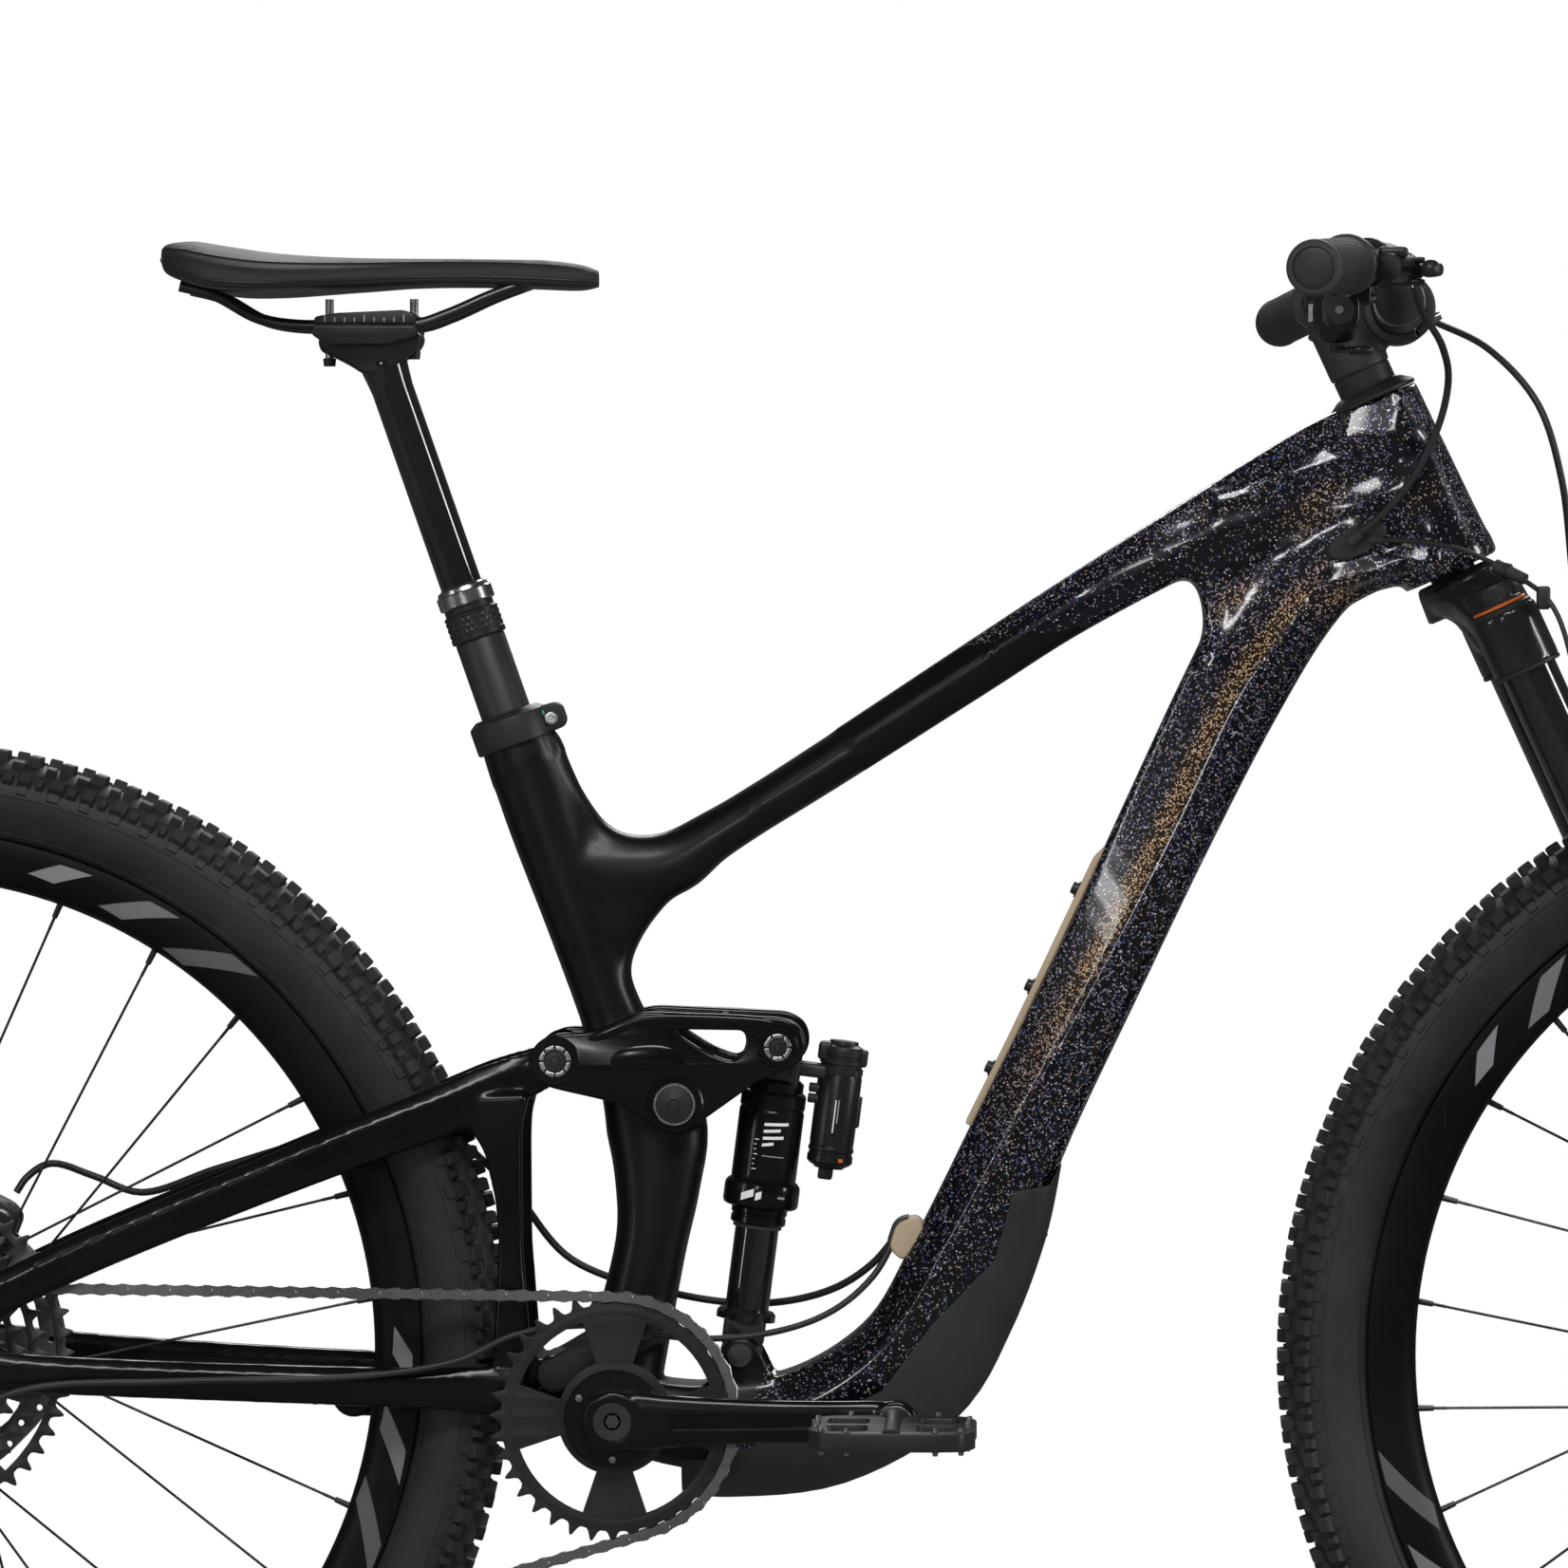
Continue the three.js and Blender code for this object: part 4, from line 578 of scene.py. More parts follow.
paints = {
    "glossBlack": {"colour": grey(0.0022, 0.1), "second": grey(0.006, 0.35), "rough": 0.2, "scale": 500.0,
        "scuffs": 0.08, "specular": 0.28, "coat": 0.12, "coatRough": 0.06, "bump": 0.02},
    "blackAlloy": {"colour": grey(0.02), "second": grey(0.05), "rough": 0.36, "metal": 0.55,
        "scale": 2600.0, "bump": 0.22},
    "satinBlack": {"colour": grey(0.012), "second": grey(0.03), "rough": 0.42, "scale": 2200.0,
        "bump": 0.16},
    "greyAlloy": {"colour": grey(0.085), "second": grey(0.17), "rough": 0.34, "metal": 0.85,
        "scale": 2400.0, "bump": 0.18},
    "paleAlloy": {"colour": grey(0.5), "second": grey(0.7), "rough": 0.26, "variation": 0.6, "metal": 1.0,
        "scale": 2400.0, "bump": 0.15},
    "steel": {"colour": grey(0.3), "second": grey(0.45), "rough": 0.32, "variation": 0.6, "metal": 1.0,
        "scale": 1900.0, "bump": 0.2},
    "rubber": {"colour": grey(0.018, 0.04), "second": grey(0.034, 0.05), "rough": 0.62, "variation": 0.7,
        "scale": 1500.0, "bump": 0.4},
    "hose": {"colour": grey(0.012), "second": grey(0.03), "rough": 0.45, "variation": 0.6, "scale": 1800.0,
        "bump": 0.25},
    "cover": {"colour": grey(0.012), "second": grey(0.022), "rough": 0.55, "variation": 0.6,
        "scale": 3200.0, "bump": 0.6, "depth": 0.0005},
    "beige": {"colour": (0.36, 0.27, 0.17, 1), "second": (0.48, 0.38, 0.26, 1), "rough": 0.5,
        "variation": 0.6, "scale": 1300.0, "bump": 0.25},
    "guard": {"colour": grey(0.012), "second": grey(0.026), "rough": 0.6, "variation": 0.6, "scale": 1500.0,
        "bump": 0.5},
    "orange": {"colour": (0.75, 0.16, 0.03, 1), "second": (0.85, 0.25, 0.06, 1), "rough": 0.35,
        "metal": 0.5, "scale": 2000.0, "bump": 0.12},
    "teal": {"colour": (0.02, 0.3, 0.3, 1), "second": (0.05, 0.45, 0.42, 1), "rough": 0.35,
        "scale": 2000.0},
    "markWhite": {"colour": grey(0.62), "second": grey(0.75), "rough": 0.4, "scale": 1500.0, "bump": 0.05},
    "markGrey": {"colour": grey(0.22), "second": grey(0.3), "rough": 0.4, "scale": 1500.0, "bump": 0.05},
    "mirrorBlack": {"colour": grey(0.006), "second": grey(0.012), "rough": 0.09, "scale": 800.0,
        "scuffs": 0.1, "specular": 0.75, "coat": 0.3, "coatRough": 0.03, "bump": 0.01},
}
look = {name: plainMaterial(name, settings) for name, settings in paints.items()}


def makePearl():
    material, net, surface = startMaterial("pearlCarbon")
    pearl = net.add("Attribute", attribute_name="pearl").outputs["Fac"]
    # warm gold painted sheen with denser flakes where the frame's facets catch the light; painted shade
    # thins the flakes in the dark zones
    paintedSheen = net.add("Attribute", attribute_name="paintedSheen").outputs["Fac"]
    at = net.ground()
    cloud = net.add("TexNoise", {"Vector": at, "Scale": 7.0, "Detail": 3.0}).outputs[0]
    shade = net.add("Attribute", attribute_name="shade").outputs["Fac"]
    blue = net.range(cloud, 0.42, 0.62)
    dark = net.mix(blue, (0.0016, 0.0016, 0.0022, 1), (0.0016, 0.002, 0.006, 1))
    base = net.mix(paintedSheen, dark, (0.012, 0.006, 0.003, 1))
    density = net.math("MULTIPLY_ADD", paintedSheen, 0.22, net.math("MULTIPLY_ADD", shade, -0.19, 0.28))
    flakes = useGroup(net, "flakes", {"Base": base, "Size": 960.0, "Density": density, "Warmth": paintedSheen})
    grain = useGroup(net, "grain", {"Color": grey(0.0022, 0.1), "Second Color": grey(0.006, 0.35),
        "Roughness": 0.34, "Variation": 0.5, "Scale": 500.0, "Scuffs": 0.08})
    send(net, net.mix(pearl, grain["Color"], flakes["Color"]), surface.inputs["Base Color"])
    send(net, net.math("ADD", grain["Roughness"], net.math("MULTIPLY", pearl, -0.04)),
        surface.inputs["Roughness"])
    send(net, net.math("MULTIPLY", pearl, 0.35), surface.inputs["Metallic"])
    send(net, net.math("MULTIPLY_ADD", pearl, 0.85, 0.05), surface.inputs["Coat Weight"])
    surface.inputs["Specular IOR Level"].default_value = 0.3
    surface.inputs["Coat Roughness"].default_value = 0.1
    height = net.math("MULTIPLY_ADD", net.math("MULTIPLY", flakes["Height"], pearl), 12.0, grain["Height"])
    bump(net, surface, height, 0.05)
    return material


look["pearl"] = makePearl()
print("materials made")


def put(obj, body, *nodes, slot=None):
    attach(obj, body)
    if nodes:
        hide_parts(*nodes)
    return obj


# cuts closed forms out of a closed form
def bore(obj, cutters):
    for cutter in cutters:
        modifier = obj.modifiers.new("bore", "BOOLEAN")
        modifier.operation = "DIFFERENCE"
        modifier.solver = "MANIFOLD"
        modifier.object = cutter
    applyModifiers(obj)
    for cutter in cutters:
        mesh = cutter.data
        bpy.data.objects.remove(cutter)
        bpy.data.meshes.remove(mesh)
    return obj


def setMaterial(obj, material):
    obj.data.materials.clear()
    obj.data.materials.append(material)
    obj.data.polygons.foreach_set("material_index", [0] * len(obj.data.polygons))
    obj.data.update()


def crossRod(name, at, radius, y0, y1, material, endRadius=None, segments=32):
    return rodBetween(name, (at[0], y0, at[1]), (at[0], y1, at[1]), radius, material, endRadius, segments)


# Front frame
frameStations = {
    "down": [(-168, 336, 22, 22, 4, 35, 24, 26), (-110, 327, 26, 26, 6, 35, 22, 24),
        (-48, 336, 29, 29, 10, 34, 18, 22), (8, 371, 32, 32, 15, 33, 15, 20),
        (43, 430, 32.5, 32.5, 13, 32, 13, 19), (81.5, 516, 29, 29, 6, 30.5, 12, 18),
        (123.5, 603, 28, 28, 0, 29.5, 11, 17), (164, 690, 29, 29, -5, 29, 11, 16),
        (206, 776, 31, 31, -5, 28, 11, 16), (250, 838, 42, 27, -6, 27, 12, 15),
        (292, 889, 36, 36, 2, 26, 14, 17), (303, 915, 22, 22, 2, 22, 14, 15)],
    "top": [(-196, 668, 18, 18, 4, 17, 10, 11), (-141, 668, 20, 20, 4, 18, 9, 12),
        (-112, 684, 17, 15, 4, 18, 8, 12), (-85, 701, 15.5, 14, 4, 18.5, 8, 13),
        (-41, 729.5, 15.2, 15.2, 4, 19, 8, 13), (46, 786, 16.2, 16.2, 4, 20.5, 8, 14),
        (112, 828.5, 17, 17, 3, 22, 8, 14), (200, 879, 22, 22, 4, 24, 9, 14),
        (262, 908, 30, 30, 8, 26, 12, 15), (304, 921, 36, 36, 10, 25, 16, 16)],
}


# signed distance to a polyline in side view, positive above it
def distanceTo(line, x, z):
    best = (1e9, 1)
    for (ax, az), (bx, bz) in zip(line, line[1:]):
        dx, dz = bx - ax, bz - az
        t = clamp(((x - ax) * dx + (z - az) * dz) / (dx * dx + dz * dz))
        px, pz = x - ax - t * dx, z - az - t * dz
        size = math.hypot(px, pz)
        if size < best[0]:
            best = (size, math.copysign(1, dx * pz - dz * px))
    return best[0] * best[1]


# melts the creases together near the given places
def relaxAround(obj, spots, rounds, side=0):
    bm = bmesh.new()
    bm.from_mesh(obj.data)
    chosen = [v for v in bm.verts if abs(v.co.y) * 1000 >= side
        and any(math.hypot(v.co.x * 1000 - x, v.co.z * 1000 - z) < r for (x, z), r in spots)]
    for _ in range(rounds):
        bmesh.ops.smooth_vert(bm, verts=chosen, factor=0.5, use_axis_x=True, use_axis_y=True,
            use_axis_z=True)
    bm.to_mesh(obj.data)
    bm.free()


headLines = {
    "upper": [(128, 858), (160, 872), (187, 888), (207, 893), (258, 905), (290, 917), (322, 930)],
    "lower": [(215, 862), (240, 869), (262, 884), (285, 893), (318, 903)],
}
leanBack, leanAhead = 0.334, 0.044
# each facet: outline in side view, distance from the middle plane, soft edge
headFacets = [
    ([(270, 925), (303, 929), (301, 955), (276, 943)], 27.0, 5),
    ([(258, 836), (320, 852), (324, 864), (266, 848)], 28.5, 4),
    ([(195, 889), (262, 899), (262, 904), (195, 894)], 22.5, 4),
]


# distance to any closed outline, positive inside it
def distanceInside(outline, x, z):
    edge = abs(distanceTo(outline + outline[:1], x, z))
    hits = sum((az > z) != (bz > z) and x < ax + (bx - ax) * (z - az) / (bz - az) for (ax, az),
        (bx, bz) in zip(outline, outline[1:] + outline[:1]))
    return edge if hits % 2 else -edge


# distance inside the outline of a facet, negative outside it
def insideOf(outline, x, z):
    return min(((bx - ax) * (z - az) - (bz - az) * (x - ax)) / math.hypot(bx - ax, bz - az) for (ax, az),
        (bx, bz) in zip(outline, outline[1:] + outline[:1]))


# presses the long crease into the skin and lays flat facets, leaning back, into it
def sculptHead(obj):
    for vertex in obj.data.vertices:
        x, y, z = vertex.co * 1000
        if x < 110 or z < 780 or abs(y) < 9:
            continue
        fade = clamp((x - 130) / 50) * clamp((z - 790) / 30) * clamp((322 - x) / 25)
        up = distanceTo(headLines["upper"], x, z)
        low = distanceTo(headLines["lower"], x, z)
        depth = 2.0 * math.exp(-((up - 3.5) / 5) ** 2) - 3.2 * math.exp(-((up + 8) / 7) ** 2)
        wide = abs(y) + (depth + 1.2 * math.exp(-((low + 3) / 5) ** 2)) * fade
        for outline, middle, soft in headFacets:
            share = clamp(insideOf(outline, x, z) / soft + 1)
            share = share * share * (3 - 2 * share)
            centreX = sum(p[0] for p in outline) / 4
            centreZ = sum(p[1] for p in outline) / 4
            flat = middle - leanBack * (z - centreZ) + leanAhead * (x - centreX)
            wide += (flat - wide) * share
        vertex.co.y = math.copysign(wide, y) / 1000


def buildFrame():
    down = tubeOfFacets("down", frameStations["down"], None, 6)
    top = tubeOfFacets("top", frameStations["top"], None, 6)
    seatTop = fromPost(0, 0, 10)
    rows = [(seatTop.x, 0, seatTop.z, 20, 20)]
    for t, tall, wide in ((-16, 22, 21), (-60, 22.5, 21), (-120, 20.5, 21), (-175, 19.5, 21)):
        p = fromPost(0, 0, t)
        rows.append((p.x, 0, p.z, tall, wide))
    rows += [(-160, 0, 550, 23, 22), (-145, 0, 512, 31, 24), (-144, 0, 473, 26, 25), (-148, 0, 438, 22, 25),
        (-158, 0, 390, 23, 26), (-166, 0, 350, 24, 32), (-167, 0, 325, 22, 34)]
    seat = ovalTube("seat", rows, None, 28, 2.35, 5)
    head = turnedAbout("head", [(0, 0), (30.3, 0), (30.5, 10), (29.6, 16), (29.1, 30), (27.8, 90),
        (27.5, 114), (0, 114)], fromSteerer, None, segments=64)
    ears = []
    for side in (-1, 1):
        ears.append(plate("ear", [(-124, 330), (-106, 372), (-99, 383), (-87, 383), (-80, 374), (-62, 334)],
            side * 15.4, side * 22, None))
    gusset = plate("gusset", [(-53.5, 712.7), (-108, 674), (-134, 650), (-149, 632), (-157.5, 617),
        (-162, 602), (-160, 585), (-185, 570), (-205, 660), (-120, 690)], -14, 14, None, soft=6)
    web = plate("web", [(-216, 757), (-205, 750), (-190.5, 716), (-178, 697), (-168, 689), (-152, 686),
        (-130, 686), (-150, 660), (-210, 680)], -11, 11, None, soft=6)
    neck = plate("neck", [(176, 846), (184, 837), (187.5, 822), (187, 806), (181, 786), (215, 800),
        (235, 850), (218, 866)], -17, 17, None, soft=7, corner=3)
    chin = plate("chin", [(250, 797), (258, 808.5), (273, 825), (293, 835.5), (313, 840), (330, 870),
        (290, 890), (240, 840)], -20, 20, None, soft=7, corner=4)
    parts = [down, top, seat, head, gusset, web, neck, chin, *ears,
        crossRod("shell", bottomBracket, 24, -36.5, 36.5, None),
        crossRod("main", pivots["rocker"], 17, -32, 32, None),
        crossRod("low", pivots["linkFrame"], 13, -30.2, 30.2, None)]
    shell = joinObjects("frameShell", parts)
    blendTogether(shell, 2.3, 5, 0.6)
    relaxAround(shell, [((-185, 655), 85), ((-120, 690), 60), ((205, 835), 40), ((-60, 715), 45)], 30)
    relaxAround(shell, [((240, 865), 42), ((262, 880), 38), ((290, 895), 40), ((160, 850), 50)], 34, 13)
    sculptHead(shell)
    relaxAround(shell, [((240, 865), 42), ((262, 880), 38), ((292, 900), 36), ((288, 850), 26)], 4, 13)
    cutters = [rodBetween("c", fromSteerer(0, 0, -3), fromSteerer(0, 0, 117), 14.8, None, segments=40),
        rodBetween("c", fromPost(0, 0, -216), fromPost(0, 0, 14), 15.9, None, segments=40),
        crossRod("c", bottomBracket, 20.3, -40, 40, None),
        crossRod("c", pivots["rocker"], 8.4, -60, 60, None)]
    bore(shell, cutters)
    setMaterial(shell, look["pearl"])
    paintFrame(shell.data)
    sharpen(shell, 50)
    pins = [crossRod("pin", pivots["linkFrame"], 6, -37.5, 37.5, look["blackAlloy"]),
        crossRod("pin", pivots["shockLow"], 5, -23, 23, look["blackAlloy"])]
    for side in (-1, 1):
        pins.append(crossRod("cap", pivots["linkFrame"], 8.5, side * 36.8, side * 39, look["greyAlloy"],
            7.5))
        pins.append(crossRod("cap", pivots["shockLow"], 8, side * 21.5, side * 25, look["greyAlloy"], 7))
    return shell, joinObjects("framePins", pins)


# paints per-vertex masks on the frame: the two-tone pearl boundary, a gold painted sheen along the down
# tube's upper bevel and in patches near the head where the facets catch the light, and painted shade in the
# listed dark zones and lower down
def paintFrame(mesh):
    stations = smoothRow(frameStations["down"], 6)
    shadows = [([(102, 800), (137, 843), (190, 880), (240, 893), (262, 886), (235, 862), (200, 846),
        (172, 843)], 12), ([(320, 870), (352, 862), (318, 935), (296, 938), (298, 905)], 10),
        ([(-60, 690), (60, 770), (180, 855), (150, 857), (40, 795), (-70, 722)], 8)]
    pearl, paintedSheen, shade = [], [], []
    for vertex in mesh.vertices:
        x, y, z = vertex.co * 1000
        line = z - (802.3 + (x - 41.9) * 0.173)
        seam = x - (127 + (z - 817) * 0.45)
        pearl.append(clamp(max(line, seam) / 1.4 + 0.5))
        best = min(stations, key=lambda s: (s[0] - x) ** 2 + (s[1] - z) ** 2)
        i = stations.index(best)
        a, b = stations[max(0, i - 1)], stations[min(len(stations) - 1, i + 1)]
        length = math.hypot(b[0] - a[0], b[1] - a[1])
        u = (-(b[1] - a[1]) * (x - best[0]) + (b[0] - a[0]) * (z - best[1])) / length
        inside = min((u - best[4]) / 2.5, (best[4] + 17 - u) / 8, (abs(y) - best[6] * 0.7) / 5,
            (z - 500) / 120)
        # painted highlight patches of gold sheen near the head
        sheenPatches = [1 - math.hypot((x - px) * 0.8 + (z - pz) * 0.6, ((z - pz) * 0.8 - (x - px) * 0.6) * 2.2)
            / size for px, pz, size in ((252, 884, 34), (322, 893, 22), (268, 832, 30), (206, 830, 26))]
        paintedSheen.append(clamp(inside) * clamp((860 - z) / 30) * 0.9 + 0.75 * min(1, max(0, *sheenPatches)))
        inner = max(clamp(distanceInside(outline, x, z) / soft + 0.5) for outline, soft in shadows)
        lower = clamp((500 - z) / 80) * 0.6 if x > -60 else 0.6
        shade.append(max(inner, lower))
    for name, values in (("pearl", pearl), ("paintedSheen", paintedSheen), ("shade", shade)):
        attribute = mesh.attributes.new(name, "FLOAT", "POINT")
        attribute.data.foreach_set("value", values)


frameShell, framePins = buildFrame()
put(frameShell, "frame", "front_frame", slot="frame_pearl")
put(framePins, "frame", slot="anodised_black")
print("frame made", len(frameShell.data.polygons))


# Wheels
wheelFacts = {"spokes": 28, "repeats": 112}
hubFacts = {
    "front": {"ends": 55, "bore": 7.5, "left": 24, "right": -34, "disc": 39.2, "end": 10.5, "barrel": 14,
        "discRadius": 101.5},
    "rear": {"ends": 74, "bore": 6, "left": 32, "right": -22.5, "disc": 58.2, "end": 9.7, "barrel": 17,
        "discRadius": 90}
}


def atWheel(end):
    x0, z0 = axles[end]
    return lambda x, y, z: Vector((x0 + x, y, z0 + z))


def makeRimMaterial(end):
    material, net, surface = startMaterial("rim" + end.title())
    at = net.add("SeparateXYZ", {0: net.ground()}).outputs
    x = net.math("SUBTRACT", at[0], axles[end][0] / 1000)
    z = net.math("SUBTRACT", at[2], axles[end][1] / 1000)
    radius = net.math("SQRT", net.math("ADD", net.math("MULTIPLY", x, x), net.math("MULTIPLY", z, z)))
    turn = net.math("DIVIDE", net.math("ARCTAN2", z, x), 2 * math.pi)
    slant = net.math("MULTIPLY", net.math("SUBTRACT", radius, 0.303), 4.2)
    sector = net.math("FRACT", net.math("ADD", net.math("MULTIPLY_ADD", turn, 5.0, slant), 10.3))
    bar = net.math("FRACT", net.math("MULTIPLY", sector, 7.0))
    lit = net.math("MULTIPLY", net.range(bar, 0.34, 0.37, 1, 0), net.range(sector, 0.42, 0.43, 1, 0))
    lower = net.math("MULTIPLY_ADD", sector, 0.03, 0.2915)
    upper = net.math("MULTIPLY_ADD", sector, -0.012, 0.3165)
    band = net.math("MULTIPLY", net.math("GREATER_THAN", radius, lower),
        net.math("LESS_THAN", radius, upper))
    wide = net.math("GREATER_THAN", net.math("ABSOLUTE", at[1]), 0.009)
    mask = net.math("MULTIPLY", net.math("MULTIPLY", lit, band), wide)
    shade = net.math("MULTIPLY_ADD", net.math("FLOOR", net.math("MULTIPLY", sector, 7.0)), 0.24, 0.4)
    grain = useGroup(net, "grain", {"Color": grey(0.0025), "Second Color": grey(0.006), "Roughness": 0.42,
        "Variation": 0.5, "Scale": 1700.0, "Scuffs": 0.15})
    send(net, net.mix(net.math("MULTIPLY", mask, shade), grain["Color"], (0.2, 0.2, 0.21, 1)),
        surface.inputs["Base Color"])
    send(net, grain["Roughness"], surface.inputs["Roughness"])
    surface.inputs["Specular IOR Level"].default_value = 0.2
    bump(net, surface, grain["Height"], 0.12)
    return material


def makeTyreMaterial():
    material, net, surface = startMaterial("tyreRubber")
    grain = useGroup(net, "grain", {"Color": (0.0145, 0.0128, 0.0108, 1),
        "Second Color": (0.031, 0.0275, 0.0235, 1), "Roughness": 0.6, "Variation": 0.8, "Scale": 1100.0,
        "Scuffs": 0.5})
    dust = net.add("TexNoise", {"Vector": net.ground(), "Scale": 60.0, "Detail": 5.0,
        "Roughness": 0.7}).outputs[0]
    dust = net.range(dust, 0.55, 0.75, 0, 0.35)
    send(net, net.mix(dust, grain["Color"], (0.046, 0.041, 0.036, 1)), surface.inputs["Base Color"])
    send(net, grain["Roughness"], surface.inputs["Roughness"])
    surface.inputs["Specular IOR Level"].default_value = 0.38
    bump(net, surface, grain["Height"], 0.35, 0.0004)
    return material


look["tyre"] = makeTyreMaterial()
look["rimRear"] = makeRimMaterial("rear")
look["rimFront"] = makeRimMaterial("front")


# a block on the casing: length round the tyre, width across it, height along the tilted normal
def knobBlock(vertices, faces, place, angle, radius, y, tilt, length, width, height, skew=0.0):
    c, s = math.cos(angle), math.sin(angle)
    outward = Vector((c * math.cos(tilt), math.sin(tilt), s * math.cos(tilt)))
    across = Vector((-c * math.sin(tilt), math.cos(tilt), -s * math.sin(tilt)))
    around = Vector((-s, 0, c))
    base = Vector((radius * c, y, radius * s))
    start = len(vertices)
    for level, shrink in ((-1.2, 1.06), (height * 0.84, 0.96), (height, 0.84)):
        for u, v in ((-1, -1), (1, -1), (1, 1), (-1, 1)):
            point = (base + outward * level + around * (u * length / 2 * shrink + v * skew) + across
                * (v * width / 2 * shrink))
            vertices.append(place(*point))
    for level in (0, 4):
        for k in range(4):
            a, b = start + level + k, start + level + (k + 1) % 4
            faces.append((a, b, b + 4, a + 4))
    faces.append((start + 8, start + 9, start + 10, start + 11))
    faces.append((start + 3, start + 2, start + 1, start))


def buildTyre(end):
    place = atWheel(end)
    half = [(318.6, 15.2), (321, 18.2), (326, 23.5), (334, 28.2), (342, 30.2), (349, 29.4), (354, 27.2),
        (358.5, 23.4), (362.5, 17.5), (365.5, 10), (366.8, 0)]
    outer = half + [(r, -y) for r, y in reversed(half[:-1])]
    inner = [(317.8, -12.4), (304.6, -13.2), (304.6, -8), (322, -15), (340, -24), (354, -20), (361, 0),
        (354, 20), (340, 24), (322, 15), (304.6, 8), (304.6, 13.2), (317.8, 12.4)]
    casing = turnedAbout(end + "Casing", outer + inner, place, look["tyre"], "y", segments=168, closed=True,
        crisp=50)
    vertices, faces = [], []
    repeats = wheelFacts["repeats"]
    for i in range(repeats):
        angle = 2 * math.pi * i / repeats
        step = 2 * math.pi / repeats
        odd = i % 2
        for side in (-1, 1):
            shift = angle + (step / 2 if side > 0 else 0)
            knobBlock(vertices, faces, place, shift, 366.4, side * (6.4 if odd else 8), side * 0.1, 7.8,
                7.8 if odd else 9.2, 5.5, side * 0.7)
            knobBlock(vertices, faces, place, shift + step * 0.42, 363.6, side * 16.4, side * 0.3,
                6.4 if odd else 8, 5.4, 3.9)
            big = 9.6 if odd else 7.6
            knobBlock(vertices, faces, place, shift + step * 0.08, 356.6, side * 26.1, side * 0.78, big,
                8.8, 4.2)
            knobBlock(vertices, faces, place, shift + step * 0.6, 355.4, side * 26.6, side * 0.82,
                4.6 if odd else 6, 6.4, 3.2)
            knobBlock(vertices, faces, place, shift + step * 0.1, 350.6, side * 28.6, side * 1.2, big * 0.8,
                6, 1.3)
    knobs = makeObject(end + "Knobs", vertices, faces, look["tyre"], smooth=False)
    ridges = []
    for side in (-1, 1):
        for r, y, size in ((360.6, 20.8, 0.5), (345.5, 30.1, 0.28), (322.5, 20.3, 0.5)):
            ring = [(r + size * math.cos(t), side * y + size * math.sin(t)) for t in turns(6)]
            ridges.append(turnedAbout(end + "Ridge", ring, place, look["tyre"], "y", segments=120,
                closed=True))
    return joinObjects(end + "Tyre", [casing, knobs, *ridges])


def buildRim(end):
    place = atWheel(end)
    facts = hubFacts[end]
    side = [(288, 0), (288.2, 4), (289.2, 7.6), (291.6, 11), (295.5, 13.8), (301, 16), (308, 17.2),
        (315, 17.5), (317.6, 17.2), (318, 16.4), (318, 15), (317, 14.4), (306, 14.1), (304.3, 12),
        (304.3, 6)]
    profile = side + [(303.4, 0)] + [(r, -y) for r, y in reversed(side[1:])]
    hoop = turnedAbout(end + "Hoop", profile, place, look["rim" + end.title()], "y", segments=180,
        closed=True, crisp=35)
    parts = [hoop]
    count = wheelFacts["spokes"]
    for i in range(count):
        hand = 1 if i % 2 else -1
        lead = 1 if (i // 2) % 2 else -1
        y = (facts["left"] if hand > 0 else facts["right"]) + hand * (4.8 if lead > 0 else -3)
        out = 2 * math.pi * (i + 0.5) / count
        inn = out + lead * 1.25
        start = Vector((27 * math.sin(inn), y, 27 * math.cos(inn)))
        stop = Vector((291 * math.sin(out), hand * 3, 291 * math.cos(out)))
        along = (stop - start).normalized()
        points = [start, start + along * 8, stop - along * 20, stop - along * 6]
        for a, b, r0, r1 in ((0, 1, 1.15, 1.0), (1, 2, 0.85, 0.85), (2, 3, 1.0, 1.0)):
            parts.append(rodBetween("spoke", place(*points[a]), place(*points[b]), r0, look["blackAlloy"],
                r1, 8))
        parts.append(rodBetween("nipple", place(*(stop - along * 12)), place(*stop), 1.75,
            look["blackAlloy"], 2.1, 8))
        head = -1 if lead > 0 else 1
        parts.append(rodBetween("elbow", place(start.x, start.y - head * hand * 1.0, start.z),
            place(start.x, start.y + head * hand * 1.0, start.z), 2.1, look["blackAlloy"], 1.6, 8))
    parts.append(rodBetween("valve", place(0, 0, -289), place(0, 0, -252), 3, look["blackAlloy"], 2.2, 12))
    return joinObjects(end + "LacedRim", parts)


